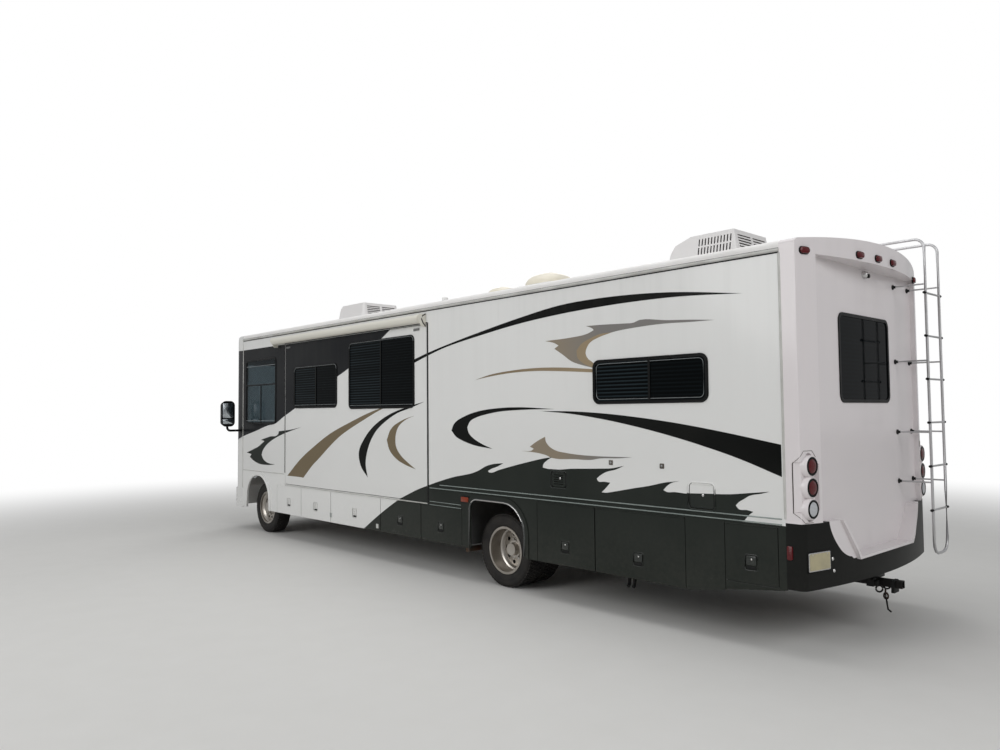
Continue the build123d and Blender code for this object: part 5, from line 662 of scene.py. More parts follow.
def tread_graph():
    """Tyre tread: rows of blocks round the Y axis, every other row half a block on."""
    graph = Graph("tyre_tread", {
        "Radius": ("Float", 0.406), "Width": ("Float", 0.19), "Blocks": ("Int", 60),
        "Depth": ("Float", 0.009), "Centre": ("Vector", (0.0, 0.0, 0.0))})
    rows = graph.node("GeometryNodeJoinGeometry")
    blocks = graph.wire("Blocks")
    pitch = graph.wire("Radius") * 6.2832 * blocks.math("POWER", -1.0)
    for index, (middle, share) in enumerate(TREAD_ROWS):
        ring = graph.node("GeometryNodeMeshCircle", {"Vertices": blocks, "Radius": graph.given["Radius"]})
        half = blocks.math("POWER", -1.0) * (3.1416 * (index % 2))
        turn = graph.node("ShaderNodeCombineXYZ", {"X": 1.5708, "Y": half})
        shift = graph.node("ShaderNodeCombineXYZ", {"Y": graph.wire("Width") * middle})
        laid = graph.node("GeometryNodeTransform", {
            "Geometry": ring.outputs[0], "Rotation": turn.outputs[0], "Translation": shift.outputs[0]})
        outward = graph.node("GeometryNodeInputPosition")
        flat = graph.node("ShaderNodeVectorMath", {
            0: outward.outputs[0], 1: (1.0, 0.0, 1.0)}, operation="MULTIPLY")
        facing = graph.node("FunctionNodeAlignRotationToVector", {"Vector": flat.outputs[0]}, axis="Z")
        upright = graph.node("FunctionNodeAlignRotationToVector", {
            "Rotation": facing.outputs[0], "Vector": (0.0, 1.0, 0.0)}, axis="Y", pivot_axis="Z")
        size = graph.node("ShaderNodeCombineXYZ", {
            "X": pitch * 0.80, "Y": graph.wire("Width") * share, "Z": graph.wire("Depth")})
        block = graph.node("GeometryNodeMeshCube", {"Size": size.outputs[0]})
        placed = graph.node("GeometryNodeInstanceOnPoints", {
            "Points": laid.outputs[0], "Instance": block.outputs[0], "Rotation": upright.outputs[0]})
        graph.tree.links.new(placed.outputs[0], rows.inputs[0])
    moved = graph.node("GeometryNodeTransform", {
        "Geometry": rows.outputs[0], "Translation": graph.given["Centre"]})
    whole = graph.node("GeometryNodeJoinGeometry")
    for part in (moved.outputs[0], graph.given["Geometry"]):
        graph.tree.links.new(part, whole.inputs[0])
    return graph.close(whole.outputs[0])


GRAPH_MAKERS = {"strip": strip_graph, "fasteners": fastener_graph, "tread": tread_graph}
GRAPHS = {}


def graph(name):
    """The Geometry Nodes tree of that name, built when it is first asked for."""
    if name not in GRAPHS:
        GRAPHS[name] = GRAPH_MAKERS[name]()
    return GRAPHS[name]


def line_seed(lines):
    """A seed mesh of open lines, each a list of points."""
    points, edges = [], []
    for line in lines:
        start = len(points)
        ring = len(line) > 2 and tuple(line[0]) == tuple(line[-1])
        points += [tuple(p) for p in (line[:-1] if ring else line)]
        count = len(points) - start
        edges += [(start + i, start + (i + 1) % count) for i in range(count if ring else count - 1)]
    mesh = bpy.data.meshes.new("lines")
    mesh.from_pydata(points, edges, [])
    return mesh


def sweep(name, lines, surface, body, across, deep=None, slot=None):
    """Sweeps an oval section along lines, a round one where only its size across is given."""
    deep = deep or across
    return grow(graph("strip"), name, line_seed(lines), surface, body, slot, Across=across, Deep=deep)


def fasten(name, spots, aim, surface, body, slot=None, **values):
    """Sets screws or nuts on points, all facing along one aim."""
    mesh = bpy.data.meshes.new("points")
    mesh.from_pydata([tuple(p) for p in spots], [], [])
    layer = mesh.attributes.new("aim", "FLOAT_VECTOR", "POINT")
    for row in layer.data:
        row.vector = aim
    return grow(graph("fasteners"), name, mesh, surface, body, slot, **values)


# Surfaces of the frame

SKINS = {}


def touch(node, start, direction):
    """Where a line from start first meets a CAD node, and the surface's normal there."""
    if node not in SKINS:
        mesh = NODES[node].data
        mesh.calc_loop_triangles()
        SKINS[node] = BVHTree.FromPolygons(
            [v.co for v in mesh.vertices], [tuple(t.vertices) for t in mesh.loop_triangles])
    point, normal, _, _ = SKINS[node].ray_cast(Vector(start), Vector(direction).normalized())
    if point is None:
        raise ValueError(f"nothing of {node} lies on the line from {start}")
    if normal.dot(Vector(direction)) > 0:
        normal = -normal
    return point, normal


def arc(centre_u, centre_v, radius, start, end, steps):
    """Points of an arc between two angles in degrees, both ends with it."""
    turns = [math.radians(start + (end - start) * i / steps) for i in range(steps + 1)]
    return [(centre_u + radius * math.cos(a), centre_v + radius * math.sin(a)) for a in turns]


def round_outline(u0, u1, v0, v1, corner, steps):
    """The outline of a rectangle with round corners, without its first point again at the end."""
    centres = (
        (u1 - corner, v1 - corner, 0), (u0 + corner, v1 - corner, 90),
        (u0 + corner, v0 + corner, 180), (u1 - corner, v0 + corner, 270))
    return [p for u, v, start in centres for p in arc(u, v, corner, start, start + 90, steps)]


class Shape:
    """A bmesh that turned and flat forms are added to, kept as one piece at the end."""

    def __init__(self):
        self.bm = bmesh.new()

    def rings(self, rings, looped=False):
        """Skins a row of equal rings of points, capped at both ends or joined last to first."""
        made = [[self.bm.verts.new(p) for p in ring] for ring in rings]
        skinned = made + made[:1] if looped else made
        count = len(made[0])
        for low, high in zip(skinned, skinned[1:]):
            for i in range(count):
                j = (i + 1) % count
                self.bm.faces.new((low[i], low[j], high[j], high[i]))
        if not looped:
            self.bm.faces.new(made[0][::-1])
            self.bm.faces.new(made[-1])
        return self

    def lathe(self, centre, axis, profile, sides=28):
        """Turns a profile of (radius, distance along the axis) round an axis."""
        axis = Vector(axis).normalized()
        side = Vector(UP).cross(axis)
        if side.length < 1e-4:
            side = Vector(AHEAD).cross(axis)
        side.normalize()
        over = axis.cross(side)
        turns = [2 * math.pi * i / sides for i in range(sides)]
        return self.rings([
            [Vector(centre) + axis * along + side * (radius * math.cos(a)) + over * (radius * math.sin(a))
             for a in turns]
            for radius, along in profile])

    def plate(self, centre, out, up, width, height, depth, corner, bevel, start=0.0):
        """A rounded plate that lies on a surface, its front edge softened."""
        out, up = Vector(out).normalized(), Vector(up)
        up = (up - out * up.dot(out)).normalized()
        side = up.cross(out)
        rings = []
        turned = bevel * 0.3
        for inset, along in ((0, start), (0, depth - bevel), (turned, depth - turned), (bevel, depth)):
            w, h = width / 2 - inset, height / 2 - inset
            edge = round_outline(-w, w, -h, h, max(corner - inset, 0.0005), 4)
            rings.append([Vector(centre) + side * u + up * v + out * along for u, v in edge])
        return self.rings(rings)

    def keep(self, name, surface, body, slot=None, smooth=35):
        return keep(name, from_bmesh(self.bm), surface, body, smooth)


# Stripes on the sides: each outline in metres, (along, up), smooth except at its sharp corners

FRONT_FIELD = [
    (5.00, 3.093), (3.60, 3.093), (0.50, 3.093), (0.68, 3.00), (1.10, 2.82), (1.52, 2.63), (1.86, 2.51),
    (2.50, 2.29), (3.10, 2.07), (3.50, 1.93), (3.79, 1.82), (4.04, 1.79), (4.51, 1.69), (4.82, 1.63),
    (5.00, 1.59)]
FRONT_SPLASH = [
    (2.92, 1.77), (3.25, 1.73), (3.65, 1.70), (3.68, 1.65), (3.96, 1.61), (4.29, 1.55), (4.16, 1.53),
    (4.40, 1.43), (4.59, 1.38), (4.83, 1.32), (4.64, 1.30), (4.70, 1.25), (4.58, 1.20), (4.36, 1.15),
    (4.06, 1.14), (3.78, 1.16), (4.06, 1.18), (4.21, 1.24), (4.26, 1.30), (4.23, 1.36), (4.10, 1.46),
    (3.89, 1.55), (3.58, 1.64), (3.25, 1.71)]
BROWN_BAND = [
    (0.58, 2.07), (0.95, 2.00), (1.51, 1.85), (2.06, 1.68), (2.55, 1.47), (2.95, 1.27), (3.36, 1.00),
    (2.90, 1.00), (2.845, 0.998), (2.80, 1.030), (2.58, 1.19), (2.34, 1.33), (2.06, 1.50),
    (1.78, 1.65), (1.51, 1.76), (1.20, 1.87), (0.88, 1.98)]
BLACK_CRESCENT = [
    (-0.23, 2.115), (0.08, 2.062), (0.53, 1.96), (0.93, 1.79), (1.16, 1.61), (1.28, 1.44), (1.24, 1.26),
    (1.06, 1.10), (1.11, 1.27), (1.09, 1.40), (1.00, 1.58), (0.86, 1.73), (0.64, 1.86), (0.37, 1.97),
    (0.08, 2.036)]
BROWN_CRESCENT = [
    (-0.02, 1.94), (0.25, 1.88), (0.51, 1.76), (0.60, 1.62), (0.54, 1.49), (0.39, 1.38), (0.19, 1.31),
    (-0.04, 1.26), (0.13, 1.34), (0.29, 1.43), (0.39, 1.54), (0.40, 1.67), (0.34, 1.79), (0.19, 1.88)]
LONG_SWOOSH = [
    (0.03, 2.645), (-0.28, 2.718), (-0.64, 2.790), (-1.29, 2.902), (-1.96, 3.006), (-2.56, 3.079),
    (-3.10, 3.092), (-3.59, 3.076), (-4.03, 3.040), (-4.65, 2.955), (-4.03, 3.000), (-3.58, 3.010),
    (-3.10, 3.006), (-2.56, 2.986), (-1.96, 2.942), (-1.29, 2.862), (-0.64, 2.765), (-0.28, 2.682),
    (0.03, 2.600)]
GREY_SPLASH = [
    (-4.38, 2.755), (-4.13, 2.78), (-3.87, 2.80), (-3.58, 2.83), (-3.50, 2.81), (-3.40, 2.812),
    (-3.12, 2.825), (-2.91, 2.83), (-2.99, 2.80), (-3.01, 2.78), (-2.92, 2.75), (-2.71, 2.73),
    (-2.34, 2.72), (-2.47, 2.69), (-2.53, 2.66), (-2.47, 2.63), (-2.59, 2.56), (-2.71, 2.485),
    (-2.85, 2.44), (-3.02, 2.40), (-3.00, 2.45), (-2.93, 2.50), (-2.90, 2.55), (-2.91, 2.60),
    (-2.96, 2.66), (-3.06, 2.70), (-3.24, 2.74), (-3.58, 2.765), (-3.87, 2.77), (-4.13, 2.76)]
TAN_EDGE = [
    (-3.02, 2.40), (-3.00, 2.45), (-2.93, 2.50), (-2.90, 2.55), (-2.91, 2.60), (-2.96, 2.66),
    (-3.06, 2.70), (-3.24, 2.74), (-3.09, 2.735), (-2.96, 2.70), (-2.84, 2.65), (-2.78, 2.59),
    (-2.79, 2.52), (-2.86, 2.46)]
THIN_BROWN = [
    (-1.20, 2.35), (-1.46, 2.40), (-1.79, 2.43), (-2.18, 2.442), (-2.55, 2.43), (-3.02, 2.39),
    (-3.02, 2.358), (-2.55, 2.392), (-2.18, 2.41), (-1.79, 2.405), (-1.46, 2.38)]
LEFT_CRESCENT = [
    (-2.46, 2.00), (-2.25, 2.012), (-1.94, 2.025), (-1.62, 2.02), (-1.28, 1.99), (-1.01, 1.93),
    (-0.81, 1.84), (-0.76, 1.76), (-0.84, 1.69), (-0.99, 1.635), (-1.19, 1.59), (-1.49, 1.56),
    (-1.30, 1.615), (-1.15, 1.68), (-1.075, 1.74), (-1.055, 1.80), (-1.10, 1.865),
    (-1.22, 1.915), (-1.39, 1.95), (-1.62, 1.98), (-1.94, 1.995), (-2.25, 2.00)]
REAR_SWOOSH = [
    (-2.26, 1.98), (-2.68, 1.975), (-3.07, 1.955), (-3.56, 1.91), (-4.00, 1.855), (-4.41, 1.79),
    (-4.96, 1.69), (-4.96, 1.43), (-4.59, 1.56), (-4.20, 1.67), (-3.78, 1.77), (-3.32, 1.86),
    (-3.07, 1.90), (-2.68, 1.95)]
SMALL_SPLASH = [
    (-1.97, 1.55), (-2.12, 1.56), (-2.15, 1.58), (-2.09, 1.60), (-2.20, 1.66), (-2.32, 1.71),
    (-2.33, 1.66), (-2.38, 1.61), (-2.47, 1.57), (-2.61, 1.55), (-2.81, 1.535), (-3.07, 1.53),
    (-3.46, 1.535), (-3.31, 1.52), (-3.07, 1.51), (-2.94, 1.49), (-2.74, 1.49), (-2.42, 1.49),
    (-2.32, 1.52), (-2.17, 1.54)]
TORN_FIELD = [
    (-0.28, 1.07), (-0.53, 1.14), (-0.82, 1.21), (-1.10, 1.26), (-1.24, 1.30), (-1.38, 1.36),
    (-1.51, 1.39), (-1.67, 1.405), (-1.56, 1.36), (-1.46, 1.33), (-1.41, 1.305), (-1.44, 1.29),
    (-1.61, 1.33), (-1.86, 1.39), (-2.09, 1.44), (-2.26, 1.475), (-2.42, 1.50), (-2.34, 1.46),
    (-2.29, 1.42), (-2.28, 1.385), (-2.36, 1.375), (-2.47, 1.37), (-2.67, 1.39), (-2.87, 1.40),
    (-3.06, 1.41), (-3.21, 1.42), (-3.36, 1.45), (-3.26, 1.41), (-3.14, 1.38), (-3.06, 1.34),
    (-3.02, 1.31), (-3.04, 1.285), (-3.12, 1.285), (-3.19, 1.28), (-3.14, 1.23), (-3.08, 1.18),
    (-3.14, 1.18), (-3.25, 1.20), (-3.45, 1.24), (-3.66, 1.28), (-3.83, 1.32), (-3.98, 1.34),
    (-3.90, 1.32), (-3.85, 1.29), (-3.81, 1.25), (-3.85, 1.235), (-3.93, 1.24), (-4.05, 1.235),
    (-4.19, 1.245), (-4.49, 1.26), (-4.69, 1.285), (-4.85, 1.305), (-4.78, 1.285), (-4.67, 1.26),
    (-4.62, 1.23), (-4.57, 1.20), (-4.54, 1.17), (-4.57, 1.14), (-4.64, 1.14), (-4.70, 1.13),
    (-4.66, 1.10), (-4.60, 1.041), (-0.28, 1.041)]
SLIDE_CORNER = [(-0.30, 1.075), (-0.08, 1.01), (0.19, 0.91), (0.32, 0.86), (-0.30, 0.86)]
STRIPES = (
    ("front_field", FRONT_FIELD, "front_field"),
    ("front_splash", FRONT_SPLASH, "dark_vinyl"),
    ("brown_band", BROWN_BAND, "brown_vinyl"),
    ("black_crescent", BLACK_CRESCENT, "black_vinyl"),
    ("brown_crescent", BROWN_CRESCENT, "brown_vinyl"),
    ("long_swoosh", LONG_SWOOSH, "black_vinyl"),
    ("grey_splash", GREY_SPLASH, "grey_vinyl"),
    ("tan_edge", TAN_EDGE, "tan_vinyl"),
    ("thin_brown", THIN_BROWN, "tan_vinyl"),
    ("left_crescent", LEFT_CRESCENT, "black_vinyl"),
    ("rear_swoosh", REAR_SWOOSH, "black_vinyl"),
    ("small_splash", SMALL_SPLASH, "grey_vinyl"),
    ("torn_field", TORN_FIELD, "dark_vinyl"),
    ("slide_corner", SLIDE_CORNER, "dark_vinyl"),
)


SHARP_TURN = 52.0  # degrees
CURVE_STEPS = 5
STRIPE_LIFT = 0.0002
TAN_LAYERS = 2.2  # the tan edge lies on the grey splash


def smooth_outline(points):
    """Draws a curve through the points of a closed outline, which stays pointed where it turns sharply."""
    points = [Vector(p) for p in points]
    count = len(points)
    headings = [points[(i + 1) % count] - points[i] for i in range(count)]
    pulls = []
    for i in range(count):
        before, after = headings[i - 1].normalized(), headings[i].normalized()
        corner = math.degrees(before.angle(after)) > SHARP_TURN
        pulls.append((before, after) if corner else ((before + after).normalized(),) * 2)
    drawn = []
    for i in range(count):
        start, end = points[i], points[(i + 1) % count]
        reach = headings[i].length
        leave, arrive = pulls[i][1] * reach, pulls[(i + 1) % count][0] * reach
        for k in range(CURVE_STEPS):
            t = k / CURVE_STEPS
            drawn.append(
                start * (2 * t**3 - 3 * t**2 + 1) + leave * (t**3 - 2 * t**2 + t)
                + end * (3 * t**2 - 2 * t**3) + arrive * (t**3 - t**2))
    return drawn


def rounded_hole(x0, x1, z0, z1, corner=0.0):
    """The half planes, (point, outward normal), of an upright rectangle with cut corners."""
    middle = Vector(((x0 + x1) / 2, (z0 + z1) / 2))
    planes = [(Vector((x1, z1)), Vector((1, 0))), (Vector((x0, z0)), Vector((-1, 0))),
              (Vector((x1, z1)), Vector((0, 1))), (Vector((x0, z0)), Vector((0, -1)))]
    if corner:
        for sx in (-1, 1):
            for sz in (-1, 1):
                out = Vector((sx, sz)).normalized()
                centre = middle + Vector((sx * ((x1 - x0) / 2 - corner), sz * ((z1 - z0) / 2 - corner)))
                planes.append((centre + out * corner, out))
    return planes


def inside(point, planes):
    return all((point - at).dot(out) < 1e-6 for at, out in planes)


def stripe_sheet(outline, room, holes, side, thickness):
    """A thin closed sheet of the outline on a side wall, kept to its room and clear of the holes."""
    flat = bmesh.new()
    drawn = smooth_outline(outline)
    corners = [flat.verts.new((p.x, 0.0, p.y)) for p in drawn]
    for triple in tessellate_polygon([[Vector((p.x, p.y, 0.0)) for p in drawn]]):
        if len(set(triple)) == 3:
            flat.faces.new([corners[i] for i in triple])
    for planes in (room, *holes):
        for at, out in planes:
            bmesh.ops.bisect_plane(
                flat, geom=flat.verts[:] + flat.edges[:] + flat.faces[:], dist=1e-6,
                plane_co=(at.x, 0.0, at.y), plane_no=(out.x, 0.0, out.y))
    gone = []
    for face in flat.faces:
        middle = face.calc_center_median()
        spot = Vector((middle.x, middle.z))
        if not inside(spot, room) or any(inside(spot, hole) for hole in holes) or face.calc_area() < 1e-9:
            gone.append(face)
    bmesh.ops.delete(flat, geom=gone, context="FACES")
    if not flat.faces:
        flat.free()
        return None
    bmesh.ops.remove_doubles(flat, verts=flat.verts[:], dist=2e-5)
    bmesh.ops.recalc_face_normals(flat, faces=flat.faces[:])
    raised = bmesh.ops.extrude_face_region(flat, geom=flat.faces[:], use_keep_orig=True)
    for item in raised["geom"]:
        if isinstance(item, bmesh.types.BMVert):
            item.co.y = STRIPE_LIFT + thickness
    for vert in flat.verts:
        if vert.co.y < STRIPE_LIFT:
            vert.co.y = STRIPE_LIFT
        vert.co.y = side * (HALF_W + vert.co.y)
    return flat


def stripe_rooms():
    """Where stripes may lie: name, body, side, room and holes."""
    gap, rear, front, top = 0.008, -CAP_SEAM + 0.002, CAP_SEAM - 0.002, ROOF_EDGE - 0.008
    slide = (SLIDE[0] + 0.001, SLIDE[1] - 0.001, SLIDE[2] + 0.002, SLIDE[3] - 0.002)
    hole = {n: rounded_hole(*w, corner=0.072) for n, w in {**LEFT_WINDOWS, **RIGHT_WINDOWS}.items()}
    hatches = [rounded_hole(*hatch, corner=0.024) for hatch in (WATER_HATCH, POWER_HATCH)]
    return (
        ("front_left", "coach", 1, rounded_hole(SLIDE[1] + gap, front, FLOOR_TOP, top), [hole["cab"]]),
        ("slide", "slide_room", 1, rounded_hole(*slide), [hole["dinette"], hole["sofa"]]),
        ("aft_left", "coach", 1, rounded_hole(rear, SLIDE[0] - gap, FLOOR_TOP, top), [hole["bed"], *hatches]),
        ("front_right", "coach", -1, rounded_hole(ENTRY[1] + gap, front, FLOOR_TOP, top), [hole["cab"]]),
        ("over_door", "coach", -1, rounded_hole(ENTRY[0] - gap, ENTRY[1] + gap, ENTRY[3] + gap, top), []),
        ("door", "entry_door", -1, rounded_hole(*ENTRY), [rounded_hole(*ENTRY_PANE, corner=0.068)]),
        ("aft_right", "coach", -1, rounded_hole(rear, ENTRY[0] - gap, FLOOR_TOP, top),
         [hole["bed"], hole["lounge"]]),
    )


def lay_stripes():
    """Lays every stripe in every room that it reaches."""
    for label, outline, surface in STRIPES:
        thickness = sizes().stripe_thickness * (TAN_LAYERS if label == "tan_edge" else 1.0)
        xs = [x for x, _ in outline]
        for room, body, side, planes, holes in stripe_rooms():
            if label == "slide_corner" and room not in ("slide", "aft_right"):
                continue
            box_x = [at.x for at, _ in planes]
            if max(xs) < min(box_x) or min(xs) > max(box_x):
                continue
            made = stripe_sheet(outline, planes, holes, side, thickness)
            if made:
                keep(f"stripe_{label}_{room}", from_bmesh(made), surface, body)


# Mouldings and seals

# Runs of belt moulding: rear end, front end, height, side
BELTS = (
    (-4.95, -0.53, 1.092, 1), (-4.95, -0.33, 1.047, 1),
    (-4.95, 2.83, 1.092, -1), (-4.95, 2.83, 1.047, -1),
)
LOWER_BELTS = ((-0.93, -0.33, 0.882, 1), (-0.93, -0.33, 0.842, 1))
FRONT_BELTS = ((3.46, 4.96, 1.022, 1), (3.53, 4.96, 1.022, -1))
ARCH_STEPS = 10
ARCH_HIGHLIGHT = slice(6, 20)  # the part of an arch's line that the painted highlight follows


def wall_line(x0, x1, z, side, off=0.0):
    """A level line along a side wall, off its face by a little."""
    return [(x, side * (HALF_W + off), z) for x in (x0, x1)]


def round_rect(x0, x1, z0, z1, corner, side, off):
    """A closed line round an upright rectangle with round corners on a side wall."""
    line = [(x, side * (HALF_W + off), z) for x, z in round_outline(x0, x1, z0, z1, corner, 5)]
    return line + line[:1]


def lay_belts():
    """Belt mouldings along the foot of the walls and over the skirts; the dark ones are given a pale
    grey-green, a painted highlight of their top edges.
    """
    half, depth = sizes().moulding_height / 2, sizes().moulding_depth
    for name, runs, surface, slot, share in (
            ("belt_mouldings", BELTS, "moulding_highlight_grey", "skirt_dark", 1.0),
            ("lower_mouldings", LOWER_BELTS, "moulding_highlight_grey", "skirt_dark", 0.8),
            ("front_mouldings", FRONT_BELTS, "pale_moulding", "gelcoat", 1.0)):
        sweep(name, [wall_line(*run) for run in runs], surface, "coach", half * share, depth * share, slot)


def roof_lines(lift, off=0.0):
    """Level lines along both walls, a little above or below the roof's edge."""
    return [wall_line(-CAP_SEAM, CAP_SEAM, ROOF_EDGE + lift, side, off) for side in (1, -1)]


def lay_roof_rails():
    """The roof rail, a dark rubber strip just under it that is a painted shadow of the rail, and the joints
    of the end caps.
    """
    joint_top = 3.25
    joints = [
        [(x, side * HALF_W, low + (joint_top - low) * i / 4) for i in range(5)]
        for side in (1, -1) for x, low in ((-CAP_SEAM, 1.096), (CAP_SEAM, 0.71))]
    sweep("roof_rail", roof_lines(0.002), "pale_moulding", "coach", 0.016, 0.014, "gelcoat")
    # The dark strip just under the rail stands in for the rail's shadow (painted shadow)
    sweep("roof_rail_shadow_strip", roof_lines(-0.018), "rubber_seal", "coach", 0.006, slot="window_black")
    sweep("cap_joints", joints, "pale_moulding", "coach", 0.006, 0.011, "gelcoat")


def lay_slide_seals():
    """Rubber seals behind, ahead of and over the slide-out room."""
    rear, front = SLIDE[0] - 0.016, SLIDE[1] + 0.012
    for name, line, across, deep in (
            ("slide_seal_rear", [(rear, HALF_W, z) for z in (0.862, 1.6, 2.4, 3.10)], 0.007, 0.012),
            ("slide_seal_front", [(front, HALF_W, z) for z in (1.045, 1.6, 2.4, 3.10)], 0.005, 0.006),
            ("slide_seal_top", wall_line(rear, front, 3.103, 1), 0.007, 0.007)):
        sweep(name, [line], "rubber_seal", "coach", across, deep, "window_black")


def lay_roof_edges():
    """The thin metal lines along the roof's edges."""
    sweep("roof_edge_lines", roof_lines(0.019, 0.004), "zinc_sheet", "coach", 0.002)


def lay_hatch_rims():
    """Rims round the water hatch and the power hatch."""
    water = round_rect(*grown(WATER_HATCH, 0.003), 0.022, 1, 0.001)
    power = round_rect(*grown(POWER_HATCH, 0.004), 0.045, 1, 0.001)
    sweep("water_hatch_rim", [water], "dark_latch", "coach", 0.0035, 0.004)
    sweep("power_hatch_rim", [power], "power_hatch_paint", "coach", 0.009, 0.007)


def arch_line(rear, front, top, front_r, rear_r, side):
    """Up the front edge of a wheel arch, over its two round corners and down its rear edge."""
    foot = 0.42
    line = [(front, foot), (front, top - front_r)]
    line += arc(front - front_r, top - front_r, front_r, 0, 90, ARCH_STEPS)[1:]
    line += arc(rear + rear_r, top - rear_r, rear_r, 90, 180, ARCH_STEPS)
    return [(x, side * (HALF_W + 0.010), z) for x, z in (*line, (rear, foot))]


def lay_arch_lips():
    """Lips round the four wheel arches, with a bright steel strip over the rear ones that is a painted
    highlight.
    """
    front, rear = [[arch_line(*arch, side) for side in (1, -1)] for arch in ARCHES]
    sweep("front_arch_lips", front, "gelcoat", "coach", 0.013, 0.010)
    sweep("rear_arch_lips", rear, "arch_lip", "coach", 0.013, 0.010)
    # A bright strip along the top of each rear lip, where the highlight falls: painted highlight
    arch_highlights = [[(x, y * 1.005, z) for x, y, z in line[ARCH_HIGHLIGHT]] for line in rear]
    sweep("rear_arch_painted_highlight", arch_highlights, "bright_steel", "coach", 0.006, 0.005)


def lay_slide_sill():
    """The pale sill below the slide-out room."""
    rear, front, foot, _ = SLIDE
    sill = wall_line(rear, front, foot - 0.0135, 1)
    sweep("slide_sill", [sill], "pale_moulding", "coach", 0.008, slot="gelcoat")


# Windows

def dress_windows():
    """Soft glazing beads of the frames, and pale grey lines along each sliding track and each bead that are
    painted highlights.
    """
    groups = (
        ("slide_room", 1, ("dinette", "sofa"), LEFT_WINDOWS),
        ("coach", 1, ("cab", "bed"), LEFT_WINDOWS),
        ("coach", -1, ("cab", "bed", "lounge"), RIGHT_WINDOWS),
    )
    for body, side, names, windows in groups:
        tag = f"{body}_{'left' if side > 0 else 'right'}"
        highlight_lines, beads = [], []
        for name in names:
            x0, x1, z0, z1 = windows[name]
            beads.append(round_rect(*grown(windows[name], 0.002), 0.068, side, 0.0075))
            # The pale lines at the foot and top of the slide's windows and round the others are painted
            # highlights of the track and beads
            if body == "slide_room":
                highlight_lines.append(wall_line(x0 + 0.028, x1 - 0.028, z0 + 0.042, side, 0.007))
                highlight_lines.append(round_rect(x0 + 0.008, x1 - 0.008, z0, z1 - 0.008, 0.066, side, 0.008)[:12])
            elif name != "cab":
                highlight_lines.append(round_rect(x0 + 0.038, x1 - 0.038, z0 + 0.038, z1 - 0.034, 0.045, side, 0.004))
        sweep(f"glazing_beads_{tag}", beads, "black_frame", body, 0.006, 0.0042, "window_black")
        sweep(f"window_tracks_{tag}", highlight_lines, "bar_and_highlight_grey", body, 0.003, 0.004)
    x0, x1 = CAB_WINDOW[0] + 0.028, CAB_WINDOW[1] - 0.028
    bars = [wall_line(x0, x1, z, side, 0.004) for side in (1, -1) for z in (1.868, 2.477, 2.790)]
    sweep("cab_window_bars", bars, "bar_and_highlight_grey", "coach", 0.005, 0.004)


# Running gear

CORNERS = ("front_left", "front_right", "rear_left", "rear_right")
TYRE_WIDTH = 0.245
TYRE_STEPS = 72
TREAD_RADIUS, TREAD_WIDTH, TREAD_DEPTH = 0.4025, 0.212, 0.013
NUTS = 8
# Half section of a tyre, (radius, distance from its middle), from tread to bead
TYRE_SECTION = [
    (0.398, 0.0), (0.398, 0.088), (0.394, 0.104), (0.382, 0.1145), (0.366, 0.1195), (0.345, 0.1220),
    (0.340, 0.1205), (0.336, 0.1222), (0.318, 0.1215), (0.300, 0.1180), (0.297, 0.1165),
    (0.293, 0.1172), (0.284, 0.1120), (0.274, 0.1050), (0.267, 0.0990)]


def tyre_carcass(centre_x, middle_y):
    """The smooth body of one tyre, its section turned round the axle and closed."""
    section = [(r, -d) for r, d in TYRE_SECTION[::-1]] + TYRE_SECTION[1:]
    turns = [2 * math.pi * i / TYRE_STEPS for i in range(TYRE_STEPS)]
    rings = [[(centre_x + r * math.cos(a), middle_y + d, AXLE_Z + r * math.sin(a)) for a in turns]
             for r, d in section]
    mesh = from_bmesh(Shape().rings(rings, looped=True).bm)
    mesh.shade_smooth()
    mesh.set_sharp_from_angle(angle=math.radians(40))
    return mesh


def fit_tyres():
    """Detailed tyres in place of the plain ones: ribbed side walls and a blocked tread."""
    for corner in CORNERS:
        node = f"tyre_{corner}"
        low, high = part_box(node)
        centre_x = (low.x + high.x) / 2
        side = 1 if corner.endswith("left") else -1
        outer, inner = (high.y, low.y) if side > 0 else (low.y, high.y)
        middles = {f"{node}_treaded": outer - side * TYRE_WIDTH / 2}
        if corner.startswith("rear"):
            middles[f"{node}_inner_treaded"] = inner + side * TYRE_WIDTH / 2
        for label, middle in middles.items():
            piece = grow(
                graph("tread"), label, tyre_carcass(centre_x, middle),
                "tyre_rubber", f"wheel_{corner}", "tyre",
                Radius=TREAD_RADIUS, Width=TREAD_WIDTH, Blocks=sizes().tread_blocks, Depth=TREAD_DEPTH,
                Centre=(centre_x, middle, AXLE_Z))
            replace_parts(piece, node)


def fit_wheel_nuts():
    """Wheel nuts in a circle on the face of each rim."""
    reach = sizes().lug_circle
    for corner in CORNERS:
        rim = f"rim_{corner}"
        side = 1 if corner.endswith("left") else -1
        spots = []
        for i in range(NUTS):
            a = 2 * math.pi * (i + 0.5) / NUTS
            start = (middle_x(rim) + reach * math.cos(a), side * 1.4, AXLE_Z + reach * math.sin(a))
            spots.append(touch(rim, start, (0, -side, 0))[0])
        fasten(f"wheel_nuts_{corner}", spots, (0, side, 0), "bright_steel", f"wheel_{corner}", "wheel_steel",
               Radius=0.017, Height=0.024, Sides=6)


# Tail and side fittings

LAMP_SEAT_X, LAMP_Y = -5.075, 1.176
RED_LAMP_HEIGHTS, REVERSE_LAMP_Z = (1.52, 1.35), 1.18
PANEL_BACK_X, PANEL_MIDDLE = -5.050, (1.186, 1.3525)
# Octagon of a lamp panel, (across, up)
LAMP_PANEL = [
    (1.2825, 1.1535), (1.2085, 1.0800), (1.1825, 1.0800), (1.0900, 1.1725),
    (1.0900, 1.5325), (1.1825, 1.6250), (1.2085, 1.6250), (1.2825, 1.5515)]
